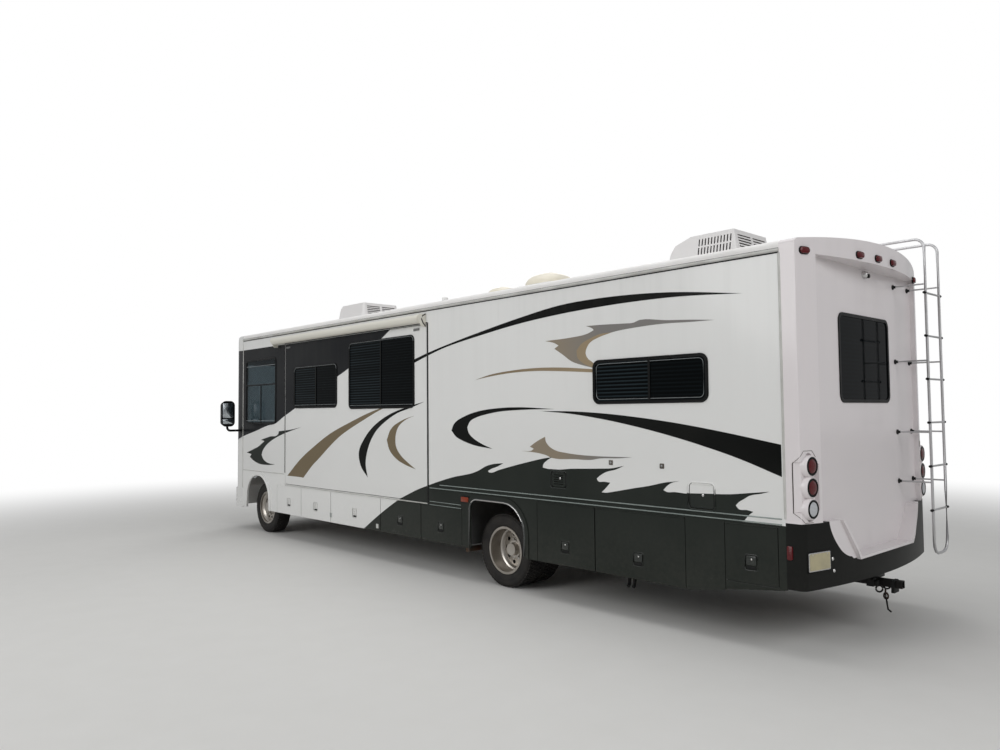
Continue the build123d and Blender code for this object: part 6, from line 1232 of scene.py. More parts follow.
# The open seam round the outer side of a lamp panel
PANEL_SEAM = [
    (-5.150, 1.110, 1.590), (-5.152, 1.160, 1.642), (-5.127, 1.247, 1.642), (-5.047, 1.282, 1.540),
    (-5.047, 1.282, 1.150), (-5.127, 1.247, 1.073), (-5.152, 1.160, 1.073)]
# Turned profiles, (radius, distance along the axis)
LAMP_HOUSING = [
    (0.0965, -0.012), (0.0960, 0.012), (0.0940, 0.040), (0.0900, 0.066), (0.0850, 0.084), (0.0790, 0.0925),
    (0.0710, 0.0910)]
LAMP_RING = [(0.0750, 0.085), (0.0745, 0.0955), (0.070, 0.0985), (0.060, 0.0975), (0.0565, 0.091)]
LENS_COVER = [
    (0.0575, 0.088), (0.0570, 0.0940), (0.048, 0.0985), (0.034, 0.1010), (0.016, 0.1030), (0.003, 0.1034)]


def lamp_panel(side):
    """Back edge, front edge and raised face of one lamp panel."""
    middle_y, middle_z = PANEL_MIDDLE
    rings = []
    for inset, slant in ((0.0, None), (0.0, 0.074), (0.13, 0.022)):
        ring = []
        for y, z in LAMP_PANEL:
            y = middle_y + (y - middle_y) * (1 - inset)
            z = middle_z + (z - middle_z) * (1 - inset * 0.4)
            x = PANEL_BACK_X if slant is None else -5.133 + (y - 1.0905) / 0.191 * slant
            ring.append((x, side * y, z))
        rings.append(ring)
    return rings


def lamp_panel_seam(side):
    """The seam of one lamp panel, laid on the rear cap."""
    seam, inward = [], Vector((1.0, -0.8 * side, 0)).normalized()
    for first, last in zip(PANEL_SEAM, PANEL_SEAM[1:]):
        for k in range(6):
            spot = Vector(first).lerp(Vector(last), k / 5)
            spot.y *= side
            seam.append(touch("rear_cap", spot - inward * 0.5, inward)[0])
    return [p for i, p in enumerate(seam) if i == 0 or (p - seam[i - 1]).length > 0.001]


def fit_lamps():
    """Octagonal lamp panels with their round housings, black rings and lens covers."""
    panel, housing, ring, red, clear = (Shape() for _ in range(5))
    for side in (1, -1):
        panel.rings(lamp_panel(side))
        axis = Vector((-1.0, side * 0.10, 0)).normalized()
        for z in (*RED_LAMP_HEIGHTS, REVERSE_LAMP_Z):
            seat = (LAMP_SEAT_X, side * LAMP_Y, z)
            cover = clear if z == REVERSE_LAMP_Z else red
            for shape, profile in ((housing, LAMP_HOUSING), (ring, LAMP_RING), (cover, LENS_COVER)):
                shape.lathe(seat, axis, profile, 40)
    sweep("lamp_panel_seams", [lamp_panel_seam(side) for side in (1, -1)], "cab_trim", "coach", 0.0022)
    panel.keep("lamp_panels", "cap_gelcoat", "coach", "gelcoat", 25)
    housing.keep("lamp_housings", "cap_gelcoat", "coach", "gelcoat", 40)
    ring.keep("lamp_rings", "black_frame", "coach", "window_black", 40)
    red.keep("tail_lens_covers", "red_lens", "coach", "lens_red", 40)
    clear.keep("reverse_lens_covers", "reverse_lens", "coach", "lens_clear", 40)


# Marker lamps, (across, up)
REAR_MARKERS = ((1.185, 3.254), (0.483, 3.284), (0.165, 3.287), (-0.155, 3.289), (-1.0, 3.240))
FRONT_MARKERS = tuple((y, 3.215) for y in (-0.95, -0.28, 0.0, 0.28, 0.95))
CAMERA_SPOT = (0.03, 3.185)
PLATE_SPOT = (1.105, 0.762)
BUMPER_LOCKS = ((0.940, 0.765), (0.925, 0.668))
BUMPER_LOCK = [(0.015, -0.003), (0.015, 0.005), (0.010, 0.009)]
REFLECTOR_SPOT = (-5.012, 0.83)
SKIRT_MARKER_SPOT = (-1.012, 0.955)


def fit_tail():
    """Marker lamps of both caps, the camera, the blank plate, the locks and the side reflectors."""
    red, black, bright, plate, amber = (Shape() for _ in range(5))
    for node, markers, way, lens_shape in (
            ("rear_cap", REAR_MARKERS, 1, red), ("front_cap", FRONT_MARKERS, -1, amber)):
        for y, z in markers:
            point, normal = touch(node, (-7.0 * way, y, z), (way, 0, 0))
            black.plate(point, normal, UP, 0.112, 0.066, 0.009, 0.032, 0.004, -0.006)
            lens_shape.plate(point, normal, UP, 0.098, 0.054, 0.026, 0.026, 0.010, -0.004)
    point, normal = touch("rear_cap", (-7.0, *CAMERA_SPOT), AHEAD)
    bright.lathe(point, normal, [(0.034, -0.004), (0.034, 0.018), (0.028, 0.036), (0.016, 0.045)])
    lens_seat = point + normal * 0.032 + Vector((0, -0.012, -0.014))
    black.lathe(lens_seat, normal, [(0.019, -0.01), (0.019, 0.018), (0.012, 0.022)])
    point, normal = touch("rear_bumper", (-7.0, *PLATE_SPOT), AHEAD)
    black.plate(point, normal, UP, 0.290, 0.168, 0.004, 0.012, 0.002, -0.012)
    bright.plate(point, normal, UP, 0.268, 0.148, 0.007, 0.010, 0.002, 0.002)
    plate.plate(point, normal, UP, 0.250, 0.130, 0.010, 0.008, 0.002, 0.004)
    across = Vector(UP).cross(normal)
    screws = [point + normal * 0.010 + across * (s * 0.09) + Vector((0, 0, 0.055)) for s in (-1, 1)]
    for spot in BUMPER_LOCKS:
        bright.lathe(*touch("rear_bumper", (-7.0, *spot), AHEAD), BUMPER_LOCK, 16)
    for side, skirt in ((1, "left_skirt"), (-1, "right_skirt")):
        x, z = REFLECTOR_SPOT
        seat = touch("rear_bumper", (x, side * 2.0, z), (0, -side, 0))
        red.plate(*seat, UP, 0.048, 0.112, 0.010, 0.014, 0.004, -0.004)
        x, z = SKIRT_MARKER_SPOT
        seat = touch(skirt, (x, side * 2.0, z), (0, -side, 0))
        black.plate(*seat, UP, 0.150, 0.078, 0.010, 0.016, 0.003, -0.002)
        amber.plate(*seat, UP, 0.130, 0.058, 0.022, 0.014, 0.007, 0.002)
    red.keep("marker_lenses", "red_lens", "coach", "lens_red")
    amber.keep("amber_markers", "amber_lens", "coach")
    black.keep("lamp_seats", "black_frame", "coach", "window_black")
    bright.keep("tail_camera_and_locks", "bright_steel", "coach")
    plate.keep("blank_plate", "blank_plate", "coach")
    fasten("plate_screws", screws, normal, "bright_steel", "coach", Radius=0.006, Height=0.003)


LADDER_X = -5.432
LADDER_RAILS = ((-0.64, -1), (-0.99, 1))  # place across, way to the other rail
LADDER_FOOT, LADDER_BEND = 0.745, 3.48
HOOK_X, HOOK_RADIUS = -4.69, 0.09
RUNG_HEIGHTS = [1.03 + 0.405 * k for k in range(6)]
RUNG_ENDS = (-0.605, -1.025)
ARM_HEIGHTS = (1.285, 1.75, 2.42, 3.14)
# Turned profiles, (radius, distance along the axis)
RUNG_SLEEVE = [(0.0120, 0), (0.0125, 0.004), (0.0125, 0.044), (0.0120, 0.048)]
ARM_FOOT = [(0.023, -0.002), (0.023, 0.008), (0.014, 0.014), (0.011, 0.030)]


def ladder_rail(y, way):
    """A rail from the middle of the bottom bend up, over the roof's edge and down to its roof foot."""
    bend = ((0.175, 0.623), (0.10, 0.626), (0.045, 0.645), (0.012, 0.690), (0.0, LADDER_FOOT))
    line = [(LADDER_X, y + way * along, z) for along, z in bend]
    line += [(LADDER_X, y, LADDER_FOOT + (LADDER_BEND - LADDER_FOOT) * k / 6) for k in range(1, 7)]
    over = arc(LADDER_X + HOOK_RADIUS, LADDER_BEND, HOOK_RADIUS, 180, 90, 6)[1:]
    over.append((HOOK_X, LADDER_BEND + HOOK_RADIUS))
    over += arc(HOOK_X, LADDER_BEND, HOOK_RADIUS, 90, 0, 6)[1:]
    line += [(x, y, z) for x, z in over]
    return line + [(-4.60, y, 3.385 if way < 0 else 3.335)]


def fit_ladder():
    """The ladder's rails, rungs, arms, rubber ends and feet, in place of the plain one."""
    rails = [ladder_rail(y, way) for y, way in LADDER_RAILS]
    rungs = [[(LADDER_X, y, z) for y in RUNG_ENDS] for z in RUNG_HEIGHTS]
    arms = [[(LADDER_X, y, z), (-5.145, y, z)] for y, _ in LADDER_RAILS for z in ARM_HEIGHTS]
    for name, lines, size in (
            ("ladder_rails", rails, 0.0130), ("ladder_rungs", rungs, 0.0095), ("ladder_arms", arms, 0.008)):
        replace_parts(sweep(name, lines, "ladder_tube", "coach", size), "ladder")
    treads, feet = Shape(), Shape()
    for z in RUNG_HEIGHTS:
        for y in (-0.597, -0.985):
            treads.lathe((LADDER_X, y, z), (0, -1, 0), RUNG_SLEEVE, 14)
    for y, _ in LADDER_RAILS:
        for z in ARM_HEIGHTS:
            feet.lathe((-5.139, y, z), AFT, ARM_FOOT, 20)
    treads.keep("ladder_treads", "rubber_seal", "coach", "window_black")
    feet.keep("ladder_feet", "rubber_seal", "coach", "window_black")


def loop(centre, across, up, wide, high, steps=28):
    """A closed oval line."""
    centre, across, up = Vector(centre), Vector(across), Vector(up)
    line = [tuple(centre + across * (wide * math.cos(a)) + up * (high * math.sin(a)))
            for a in (2 * math.pi * i / steps for i in range(steps))]
    return line + line[:1]


def fit_hitch():
    """The collar, chain loops, plug and hanging pin of the receiver."""
    plug_y, plug_z, ring_z = 0.125, 0.452, 0.395
    solid = Shape()
    solid.plate((-5.315, 0, 0.42), AFT, UP, 0.112, 0.112, 0.014, 0.010, 0.004, -0.012)
    solid.plate((-5.165, plug_y, plug_z), AFT, UP, 0.070, 0.070, 0.030, 0.012, 0.004, -0.030)
    solid.lathe((-5.195, plug_y, plug_z), AFT, [(0.026, 0), (0.028, 0.020), (0.024, 0.030)], 20)
    solid.plate((-5.16, 0, 0.505), AFT, UP, 0.320, 0.085, 0.010, 0.008, 0.003, -0.004)
    solid.keep("hitch_collar_and_plug", "latch_black", "coach", "frame_steel", 35)
    rings = [loop((-5.215, side * 0.085, ring_z), (0.8, 0, -0.2), (0.1, 0, 0.9), 0.036, 0.030)
             for side in (1, -1)]
    rings.append([(-5.245, 0.03, ring_z), (-5.250, 0.045, 0.350), (-5.255, 0.035, 0.280),
                  (-5.262, 0.030, 0.215), (-5.290, 0.030, 0.195)])
    rings.append(loop((-5.250, 0.034, 0.330), AHEAD, UP, 0.018, 0.026))
    sweep("hitch_loops", rings, "chassis_paint", "coach", 0.008, slot="frame_steel")


BAY_DOORS = sorted(n for n in NODES if n.startswith("bay_door_"))
LATCH_Z = {"bay_door_l8": 0.710}
USUAL_LATCH_Z = 0.585
WHITE_SKIRT_X = 0.85
KEYHOLE = [(0.008, -0.002), (0.008, 0.003), (0.005, 0.005)]
HATCH_LOCK = [(0.012, -0.002), (0.012, 0.004), (0.008, 0.006)]


def fit_latches():
    """Bezel, paddle, slot and keyhole of every baggage door, and the locks of the hatches."""
    for body in BAY_DOORS:
        x, z = middle_x(body), LATCH_Z.get(body, USUAL_LATCH_Z)
        side = 1 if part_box(body)[0].y > 0 else -1
        out = (0, side, 0)
        surface = "pale_latch" if x > WHITE_SKIRT_X else "dark_latch"
        bezel = round_rect(x - 0.0575, x + 0.0575, z - 0.065, z + 0.065, 0.014, side, 0.0)
        sweep(f"latch_bezel_{body}", [bezel], surface, body, 0.0045, 0.003)
        paddle, slot, key = Shape(), Shape(), Shape()
        seat = (x, side * (HALF_W - 0.004), z + 0.016)
        paddle.plate(seat, out, UP, 0.088, 0.076, 0.005, 0.008, 0.0025, -0.003)
        seat = (x, side * (HALF_W - 0.0065), z - 0.044)
        slot.plate(seat, out, UP, 0.076, 0.022, 0.004, 0.006, 0.001, -0.001)
        key.lathe((x - side * 0.004, side * (HALF_W + 0.0005), z + 0.026), out, KEYHOLE, 16)
        paddle.keep(f"latch_paddle_{body}", surface, body)
        slot.keep(f"latch_slot_{body}", "rubber_seal", body)
        key.keep(f"latch_lock_{body}", "bright_steel", body)
    for body, x, z in (("water_hatch", -2.53, 1.285), ("power_hatch", -4.225, 1.232)):
        key = Shape().lathe(*touch(body, (x, 2.0, z), (0, -1, 0)), HATCH_LOCK, 16)
        key.keep(f"lock_{body}", "bright_steel", body)


def fit_wall_ports():
    """The two round ports of the driver's wall with their caps."""
    port, spot, out = Shape(), Shape(), (0, 1, 0)
    for x, z in ((-3.203, 1.475), (-3.799, 1.467)):
        port.plate((x, HALF_W + 0.001, z), out, UP, 0.046, 0.046, 0.006, 0.006, 0.002, -0.002)
        spot.lathe((x, HALF_W + 0.006, z), out, [(0.013, -0.002), (0.012, 0.004), (0.006, 0.006)], 16)
    port.keep("wall_ports", "cab_trim", "coach")
    spot.keep("wall_port_caps", "zinc_sheet", "coach")


def fit_skirt_trim():
    """The small vent and the marker of the third baggage door, and the drain pipes behind the skirt."""
    vent_x, vent_z = 2.026, 0.475
    bars = [wall_line(vent_x - 0.03, vent_x + 0.03, vent_z + 0.013 * i, 1, 0.001) for i in range(5)]
    # The vent's bars share the mouldings' pale grey-green, a painted highlight
    sweep("skirt_vent", bars, "moulding_highlight_grey", "bay_door_l3", 0.0035, 0.004)
    mark = Shape().plate((0.824, HALF_W, 0.462), (0, 1, 0), UP, 0.052, 0.058, 0.006, 0.006, 0.002, -0.001)
    mark.keep("skirt_marker", "pale_moulding", "bay_door_l3")
    pipes = [[(x, 1.10, 0.46), (x, 1.10, 0.33), (x - 0.004, 1.112, 0.292), (x - 0.01, 1.135, 0.278)]
             for x in (-3.262, -3.325)]
    sweep("drain_pipes", pipes, "latch_black", "coach", 0.016)


def fit_topper_arms():
    """End arms and brackets of the topper roller."""
    arms = [[(x, 1.290, 3.215), (x, 1.335, 3.190), (x, 1.352, 3.150), (x, 1.330, 3.105), (x, 1.290, 3.060)]
            for x in (-0.262, 3.702)]
    sweep("topper_arms", arms, "latch_black", "slide_room", 0.007, 0.011)
    feet = [[(x, 1.288, 3.035), (x + 0.12, 1.288, 3.033)] for x in (3.27, -0.13)]
    sweep("topper_brackets", feet, "zinc_sheet", "slide_room", 0.016, 0.004)


def fit_grab_rail():
    """The grab rail behind the entry door."""
    x = 2.735
    grip = [(x, -1.290, 1.22), (x, -1.335, 1.25), (x, -1.338, 1.55), (x, -1.335, 1.85), (x, -1.290, 1.88)]
    sweep("entry_grab_rail", [grip], "ladder_tube", "coach", 0.013)


VENTS = ((-1.755, 0.28, 0.175), (-0.955, 0.19, 0.110))  # place along, half width, height of the dome
VENT_Y, VENT_SEAT_Z, DOME_Z = 0.60, 3.36, 3.425
DOME_LIP = 0.018
DOME_STEPS = 36
DOME_HEIGHTS = (0.0, 0.04, 0.16, 0.32, 0.50, 0.68, 0.84, 0.95, 1.0)
DRAIN_VENT = [(0.060, 0), (0.060, 0.045), (0.040, 0.055), (0.040, 0.128), (0.034, 0.134)]


def soft_square(turn):
    """How far a square with round corners reaches along one axis, from the sine or cosine."""
    return math.copysign(abs(turn) ** 0.62, turn)


def vent_dome(x, half, height):
    """Rings of a vent lid, a rounded square that closes in towards its crown."""
    rings = []
    for t in DOME_HEIGHTS:
        reach = half * 0.90 * math.sqrt(max(1 - t**2.2, 0.0)) + half * 0.03
        z = DOME_Z + DOME_LIP + (height - DOME_LIP) * t
        turns = [2 * math.pi * k / DOME_STEPS for k in range(DOME_STEPS)]
        rings.append([
            (x - 0.02 + reach * soft_square(math.cos(a)), VENT_Y + reach * soft_square(math.sin(a)), z)
            for a in turns])
    return rings


def fit_roof_vents():
    """Domed vent lids on flat flanges and the drain's vent pipe, in place of the plain ones."""
    flanges, domes = Shape(), Shape()
    for x, half, height in VENTS:
        flanges.plate((x, VENT_Y, VENT_SEAT_Z), UP, AHEAD, 2 * half, 2 * half, 0.088, 0.04, 0.012)
        domes.rings(vent_dome(x, half, height))
    flanges.lathe((-0.05, 0.80, VENT_SEAT_Z), UP, DRAIN_VENT)
    pieces = [flanges.keep("vent_flanges", "gelcoat", "coach", None, 30),
              domes.keep("vent_domes", "vent_plastic", "coach", None, 50)]
    for piece in pieces:
        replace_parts(piece, "roof_vents")


def fit_tail_valance():
    """The fixed panel that carries the skirt's lower edge on below the last baggage door."""
    tail_x, door_x, top_z = -4.960, -4.430, 0.5368
    valance = Shape()
    for side in (1, -1):
        rows = []
        for sunk, drop in ((0.030, 0.004), (0.0015, 0.002), (0.0005, 0.004)):
            y = side * (HALF_W - sunk)
            rows.append([(tail_x, y, 0.522 + drop), (door_x, y, 0.455 + drop),
                         (door_x, y, top_z - drop), (tail_x, y, top_z - drop)])
        valance.rings(rows)
    valance.keep("tail_valances", "skirt_paint", "coach", "skirt_dark", 30)


def fit_mirror_glasses():
    """The flat glass and the small wide-angle glass of each mirror."""
    glass = Shape()
    for side in (1, -1):
        for z, high in ((2.045, 0.250), (1.860, 0.085)):
            point, _ = touch("mirrors", (3.0, side * 1.56, z), AHEAD)
            glass.plate(point, AFT, UP, 0.190, high, 0.004, 0.018, 0.002, -0.001)
    glass.keep("mirror_glasses", "mirror_glass", "coach")


def over_windshield(spots, side, lift):
    """A line that follows the windshield, lifted off it, through places (across, up)."""
    line = []
    for y, z in spots:
        point, normal = touch("windshield", (7.0, side * y, z), AFT)
        line.append(point + normal * lift)
    return line


def fit_wipers():
    """The arms and blades of the two wipers."""
    arm = [(0.10, 1.49), (0.30, 1.545), (0.52, 1.60), (0.74, 1.655)]
    blade = [(0.30 + 0.11 * i, 1.580 + 0.020 * i) for i in range(7)]
    arms = [over_windshield(arm, side, 0.030) for side in (1, -1)]
    blades = [over_windshield(blade, side, 0.012) for side in (1, -1)]
    sweep("wiper_arms", arms, "black_frame", "coach", 0.009, 0.006)
    sweep("wiper_blades", blades, "rubber_seal", "coach", 0.006, 0.010)


# Cab seats

SEAT_X, SEAT_Y = 3.99, 0.62
BACK_UP = Vector((-0.135, 0, 0.80)).normalized()
BACK_OUT = Vector((BACK_UP.z, 0, -BACK_UP.x))
# Starting forms: middle, way out, way up, width, height, depth, corner, bevel
SEAT_FORMS = {
    "cushion": ((SEAT_X + 0.02, SEAT_Y, 1.375), UP, AHEAD, 0.44, 0.45, 0.110, 0.08, 0.035),
    "back": ((3.800, SEAT_Y, 1.79), BACK_OUT, BACK_UP, 0.42, 0.56, 0.100, 0.09, 0.035),
    "headrest": ((3.745, SEAT_Y, 2.095), BACK_OUT, BACK_UP, 0.26, 0.12, 0.085, 0.05, 0.03),
}
# Foot plate, column and pan: height of the underside, length, width, depth, corner, bevel
PEDESTAL = (
    (1.041, 0.34, 0.34, 0.020, 0.03, 0.004),
    (1.055, 0.26, 0.26, 0.270, 0.05, 0.02),
    (1.322, 0.46, 0.48, 0.055, 0.05, 0.012),
)
CLOTH_FRAMES = 20
SWELL_LIMIT = 0.022


def swell(holder, start):
    """Blows the form up a little as cloth under pressure, with no gravity."""
    scene = bpy.context.scene
    cloth = holder.modifiers.new("cloth", "CLOTH")
    cloth.settings.quality = 4
    cloth.settings.use_pressure = True
    cloth.settings.uniform_pressure_force = 4.0
    cloth.settings.effector_weights.gravity = 0.0
    for step in range(1, CLOTH_FRAMES + 1):
        scene.frame_set(step)
    blown = holder.evaluated_get(bpy.context.evaluated_depsgraph_get()).to_mesh()
    for vert, moved in zip(start.vertices, blown.vertices):
        shift = moved.co - vert.co
        if shift.length > SWELL_LIMIT:
            shift.length = SWELL_LIMIT
        vert.co += shift
    holder.modifiers.clear()
    scene.frame_set(1)


def cushion(name, start):
    """A sewn pad: the starting form is remeshed, blown up a little and smoothed."""
    holder = bpy.data.objects.new(name + "_form", start)
    bpy.context.scene.collection.objects.link(holder)
    holder.modifiers.new("even", "REMESH").voxel_size = 0.014
    even = bpy.data.meshes.new_from_object(settled(holder))
    holder.modifiers.clear()
    holder.data = even
    swell(holder, even)
    smooth = holder.modifiers.new("smooth", "SUBSURF")
    smooth.levels = smooth.render_levels = 1
    mesh = bpy.data.meshes.new_from_object(settled(holder))
    bpy.data.objects.remove(holder)
    mesh.shade_smooth()
    return mesh


def fit_seats():
    """Two cab seats with sewn cushions on steel pedestals, in place of the plain ones."""
    for label, form in SEAT_FORMS.items():
        mesh = cushion(label, from_bmesh(Shape().plate(*form).bm))
        for hand, shift in (("left", 0.0), ("right", -2 * SEAT_Y)):
            copy = mesh.copy()
            copy.transform(Matrix.Translation((0, shift, 0)))
            piece = keep(f"seat_{label}_{hand}", copy, "seat_cloth", "coach")
            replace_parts(piece, "cab_seats")
    base = Shape()
    for side in (1, -1):
        for z, *form in PEDESTAL:
            base.plate((SEAT_X, side * SEAT_Y, z), UP, AHEAD, *form)
    pedestal = base.keep("seat_pedestals", "cab_trim", "coach")
    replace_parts(pedestal, "cab_seats")


# Stage

CAMERA_PLACE = (-8.060, 7.222, 1.970)
CAMERA_YAW, CAMERA_PITCH, CAMERA_ROLL = -0.7456, 0.0480, -0.0092
CAMERA_LENS, CAMERA_SENSOR = 28.08, 36.0
FLOOR_HALF, FLOOR_Z = 60, -0.001
# Distances from the coach's middle between which the floor turns white for the camera
FADE_START, FADE_END = 6.5, 17.0
# Soft lamps: name, place, point that it faces, diameter, power
STUDIO_LAMPS = (
    ("key_lamp", (-14.0, 4.0, 8.0), (-2.0, 0, 1.5), 8.0, 440),
    ("side_lamp", (1.0, 15.0, 8.0), (0.5, 0, 1.5), 10.0, 720),
    ("roof_lamp", (0.0, 0.0, 12.0), (0, 0, 1.5), 12.0, 520),
    ("far_lamp", (9.0, -11.0, 8.0), (0, 0, 1.5), 9.0, 420),
)


def set_camera():
    """The camera at the photograph's place, turn and field of view."""
    data = bpy.data.cameras.new("photo_camera")
    data.sensor_width, data.lens = CAMERA_SENSOR, CAMERA_LENS
    data.clip_start, data.clip_end = 0.1, 200.0
    camera = bpy.data.objects.new("photo_camera", data)
    bpy.context.scene.collection.objects.link(camera)
    level = math.cos(CAMERA_PITCH)
    ahead = Vector((level * math.cos(CAMERA_YAW), level * math.sin(CAMERA_YAW), math.sin(CAMERA_PITCH)))
    right = Vector((math.sin(CAMERA_YAW), -math.cos(CAMERA_YAW), 0.0))
    up = right.cross(ahead)
    turned_right = right * math.cos(CAMERA_ROLL) + up * math.sin(CAMERA_ROLL)
    turned_up = up * math.cos(CAMERA_ROLL) - right * math.sin(CAMERA_ROLL)
    camera.matrix_world = Matrix.Translation(CAMERA_PLACE) @ Matrix(
        (turned_right, turned_up, -ahead)).transposed().to_4x4()
    bpy.context.scene.camera = camera


def set_world():
    """Soft even light, with a white backdrop for the camera and through glass, fainter for gloss."""
    world = bpy.data.worlds.new("studio")
    bpy.context.scene.world = world
    world.use_nodes = True
    tree = world.node_tree
    tree.nodes.clear()
    path = add_node(tree, "ShaderNodeLightPath")
    lamp = add_node(tree, "ShaderNodeBackground", {"Color": (0.95, 0.97, 1.0, 1.0), "Strength": 0.25})
    wall = add_node(tree, "ShaderNodeBackground", {"Color": (1.0, 1.0, 1.0, 1.0), "Strength": 1.0})
    seen, through, gloss = (
        Wire(tree, path.outputs[f"Is {ray} Ray"]) for ray in ("Camera", "Transmission", "Glossy"))
    share = seen.math("MAXIMUM", through).math("MAXIMUM", gloss * 0.3)
    blend = add_node(tree, "ShaderNodeMixShader", {0: share, 1: lamp.outputs[0], 2: wall.outputs[0]})
    add_node(tree, "ShaderNodeOutputWorld", {"Surface": blend.outputs[0]})


def add_lamp(name, place, aim, size, power):
    """A round soft lamp that faces a point."""
    data = bpy.data.lights.new(name, "AREA")
    data.shape, data.size, data.energy = "DISK", size, power
    lamp = bpy.data.objects.new(name, data)
    bpy.context.scene.collection.objects.link(lamp)
    lamp.location = place
    lamp.rotation_euler = (Vector(aim) - Vector(place)).to_track_quat("-Z", "Y").to_euler()


def set_floor():
    """A pale floor that keeps the coach's shadow and fades to white for the camera."""
    skin = Finish("studio_floor", {"Specular IOR Level": 0.1})
    speck = skin.noise(3.0, 4.0)
    skin.colour(skin.mix(speck.above(0.5, 0.25) * 0.3, tone(226, 225, 222), tone(218, 217, 213)))
    skin.rough(speck * 0.1 + 0.8)
    path = skin.node("ShaderNodeLightPath")
    away = (skin.x * skin.x + skin.y * skin.y).math("SQRT")
    fade = skin.node("ShaderNodeMapRange", {
        "Value": away, "From Min": FADE_START, "From Max": FADE_END}, interpolation_type="SMOOTHSTEP")
    share = Wire(skin.tree, fade.outputs[0]) * Wire(skin.tree, path.outputs["Is Camera Ray"])
    white = skin.node("ShaderNodeEmission", {"Color": (1.0, 1.0, 1.0, 1.0), "Strength": 1.0})
    blend = skin.node("ShaderNodeMixShader", {0: share, 1: skin.shader.outputs[0], 2: white.outputs[0]})
    feed(skin.tree, skin.tree.nodes["Material Output"].inputs["Surface"], blend.outputs[0])
    corners = [(sx * FLOOR_HALF, sy * FLOOR_HALF, FLOOR_Z) for sx, sy in ((-1, -1), (1, -1), (1, 1), (-1, 1))]
    mesh = bpy.data.meshes.new("studio_floor")
    mesh.from_pydata(corners, [], [(0, 1, 2, 3)])
    mesh.materials.append(skin.material)
    floor = bpy.data.objects.new("studio_floor", mesh)
    bpy.context.scene.collection.objects.link(floor)


# Operators

class COACH_OT_paint(bpy.types.Operator):
    """Paint the walls, caps, skirts, doors, hatches and roof"""

    bl_idname = "coach.paint"
    bl_label = "Coach paint"

    def execute(self, context):
        dress("wall_gelcoat", "left_wall", "right_wall")
        dress("gelcoat", "slide_room", "entry_door", "front_bumper")
        dress("cap_gelcoat", "rear_cap")
        dress("front_cap_paint", "front_cap")
        dress("skirt_paint", "left_skirt", "right_skirt", *BAY_DOORS)
        dress("tail_paint", "rear_bumper")
        dress("water_hatch_paint", "water_hatch")
        dress("power_hatch_paint", "power_hatch")
        dress("roof_membrane", "roof")
        return {"FINISHED"}


class COACH_OT_fittings(bpy.types.Operator):
    """Finish the glass, frames, lamps, mirrors, ladder, roof units and cab"""

    bl_idname = "coach.fittings"
    bl_label = "Glass, frames and roof units"

    def execute(self, context):
        dress("tinted_panes", "window_glass", "slide_glass", "entry_glass")
        dress("cab_glass", "windshield")
        dress("black_frame", "window_frames", "slide_frames", "front_grille", "mirrors")
        dress("red_lens", "red_lamps")
        dress("clear_lens", "clear_lamps")
        dress("ladder_tube", "ladder")
        dress("unit_plastic", "air_conditioners")
        dress("vent_plastic", "roof_vents")
        dress("awning_cloth", "slide_topper")
        dress("cab_trim", "dashboard", "steering_wheel")
        dress("seat_cloth", "cab_seats")
        dress("floor_boards", "floor")
        return {"FINISHED"}


class COACH_OT_running_gear(bpy.types.Operator):
    """Finish the chassis, axles, wheels, engine, tank, exhaust and baggage bays"""

    bl_idname = "coach.running_gear"
    bl_label = "Running gear"

    def execute(self, context):
        dress("chassis_paint", "chassis_frame", "fuel_tank")
        dress("cast_iron", "front_axle", "rear_axle", "knuckle_left", "knuckle_right", "engine_block")
        dress("exhaust_steel", "exhaust")
        dress("zinc_sheet", "baggage_bays")
        dress("wheel_steel", *(f"rim_{corner}" for corner in CORNERS))
        dress("tyre_rubber", *(f"tyre_{corner}" for corner in CORNERS))
        return {"FINISHED"}


class COACH_OT_stripes(bpy.types.Operator):
    """Lay the vinyl stripes on both sides"""

    bl_idname = "coach.stripes"
    bl_label = "Stripes"

    def execute(self, context):
        lay_stripes()
        return {"FINISHED"}


class COACH_OT_mouldings(bpy.types.Operator):
    """Sweep the mouldings, rails, rims, arch lips, seals and the slide-out's sill along the body"""

    bl_idname = "coach.mouldings"
    bl_label = "Mouldings and seals"

    def execute(self, context):
        lay_belts()
        lay_roof_rails()
        lay_slide_seals()
        lay_roof_edges()
        lay_hatch_rims()
        lay_arch_lips()
        lay_slide_sill()
        return {"FINISHED"}


class COACH_OT_windows(bpy.types.Operator):
    """Fit the glazing beads, the painted highlight lines of the sliding track and beads, and the cab windows'
    bars
    """

    bl_idname = "coach.windows"
    bl_label = "Window beads and tracks"

    def execute(self, context):
        dress_windows()
        return {"FINISHED"}


class COACH_OT_tyres(bpy.types.Operator):
    """Fit the treaded tyres and the wheel nuts"""

    bl_idname = "coach.tyres"
    bl_label = "Tyres and wheel nuts"

    def execute(self, context):
        fit_tyres()
        fit_wheel_nuts()
        return {"FINISHED"}


class COACH_OT_latches(bpy.types.Operator):
    """Fit the latches of the baggage doors and the locks of the hatches"""

    bl_idname = "coach.latches"
    bl_label = "Latches and locks"

    def execute(self, context):
        fit_latches()
        return {"FINISHED"}


class COACH_OT_side_trim(bpy.types.Operator):
    """Fit the ports, skirt trim, topper arms, grab rail, valances, roof vents, mirror glasses and wipers"""

    bl_idname = "coach.side_trim"
    bl_label = "Side, roof and front trim"

    def execute(self, context):
        fit_wall_ports()
        fit_skirt_trim()
        fit_topper_arms()
        fit_grab_rail()
        fit_tail_valance()
        fit_roof_vents()
        fit_mirror_glasses()
        fit_wipers()
        return {"FINISHED"}


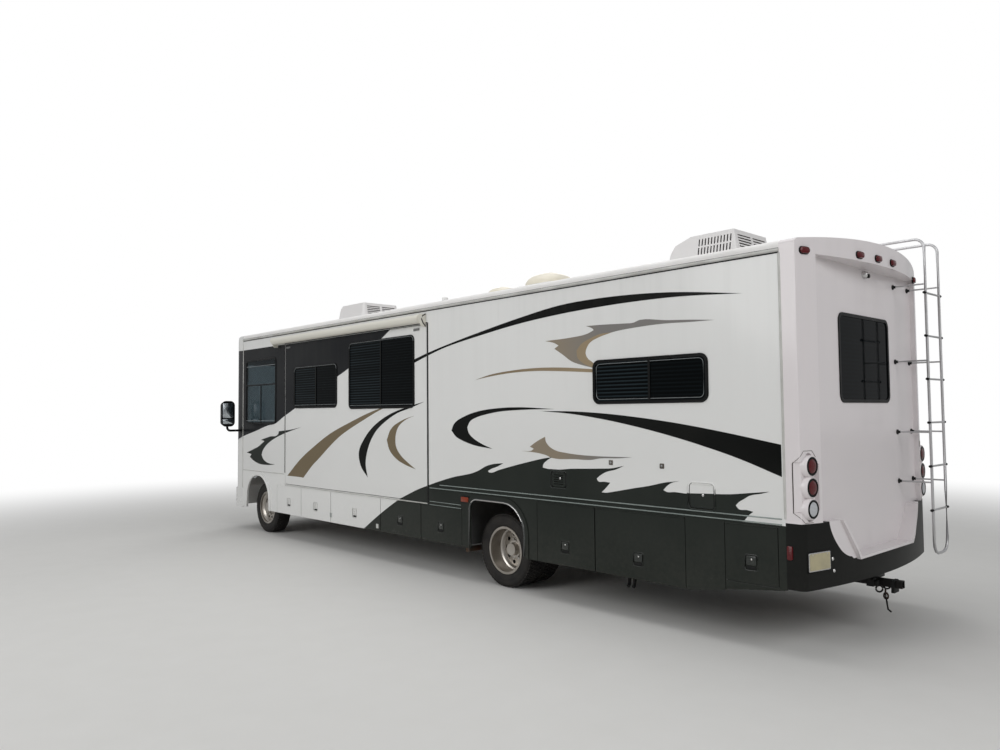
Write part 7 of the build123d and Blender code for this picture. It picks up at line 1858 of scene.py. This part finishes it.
class COACH_OT_tail(bpy.types.Operator):
    """Fit the lamps, camera, plate, locks, reflectors, ladder and hitch"""

    bl_idname = "coach.tail"
    bl_label = "Tail fittings"

    def execute(self, context):
        fit_lamps()
        fit_tail()
        fit_ladder()
        fit_hitch()
        return {"FINISHED"}


class COACH_OT_seats(bpy.types.Operator):
    """Sew the cushions of the two cab seats"""

    bl_idname = "coach.seats"
    bl_label = "Cab seats"

    def execute(self, context):
        fit_seats()
        return {"FINISHED"}


class COACH_OT_stage(bpy.types.Operator):
    """Set up the camera, the floor and the soft studio light"""

    bl_idname = "coach.stage"
    bl_label = "Stage"

    def execute(self, context):
        set_camera()
        set_world()
        set_floor()
        for lamp in STUDIO_LAMPS:
            add_lamp(*lamp)
        context.scene.view_settings.view_transform = "Standard"
        return {"FINISHED"}


class COACH_PT_panel(bpy.types.Panel):
    """Lists the steps that dress the coach"""

    bl_idname = "COACH_PT_panel"
    bl_label = "Motorhome"
    bl_space_type = "VIEW_3D"
    bl_region_type = "UI"
    bl_category = "Motorhome"

    def draw(self, context):
        for group in (context.scene.coach_sizes, context.scene.coach_colours):
            for field in group.bl_rna.properties:
                if field.identifier not in ("rna_type", "name"):
                    self.layout.prop(group, field.identifier)
        for step in STEPS:
            self.layout.operator(step.bl_idname)


STEPS = (
    COACH_OT_paint, COACH_OT_fittings, COACH_OT_running_gear, COACH_OT_stripes, COACH_OT_mouldings,
    COACH_OT_windows, COACH_OT_tyres, COACH_OT_latches, COACH_OT_side_trim, COACH_OT_tail, COACH_OT_seats,
    COACH_OT_stage,
)
CLASSES = (CoachSizes, CoachColours, *STEPS, COACH_PT_panel)


def register():
    for made in CLASSES:
        bpy.utils.register_class(made)
    bpy.types.Scene.coach_sizes = bpy.props.PointerProperty(type=CoachSizes)
    bpy.types.Scene.coach_colours = bpy.props.PointerProperty(type=CoachColours)


def unregister():
    del bpy.types.Scene.coach_colours
    del bpy.types.Scene.coach_sizes
    for made in reversed(CLASSES):
        bpy.utils.unregister_class(made)


def main():
    register()
    for step in STEPS:
        group, name = step.bl_idname.split(".")
        getattr(getattr(bpy.ops, group), name)()


if __name__ == "__main__":
    main()
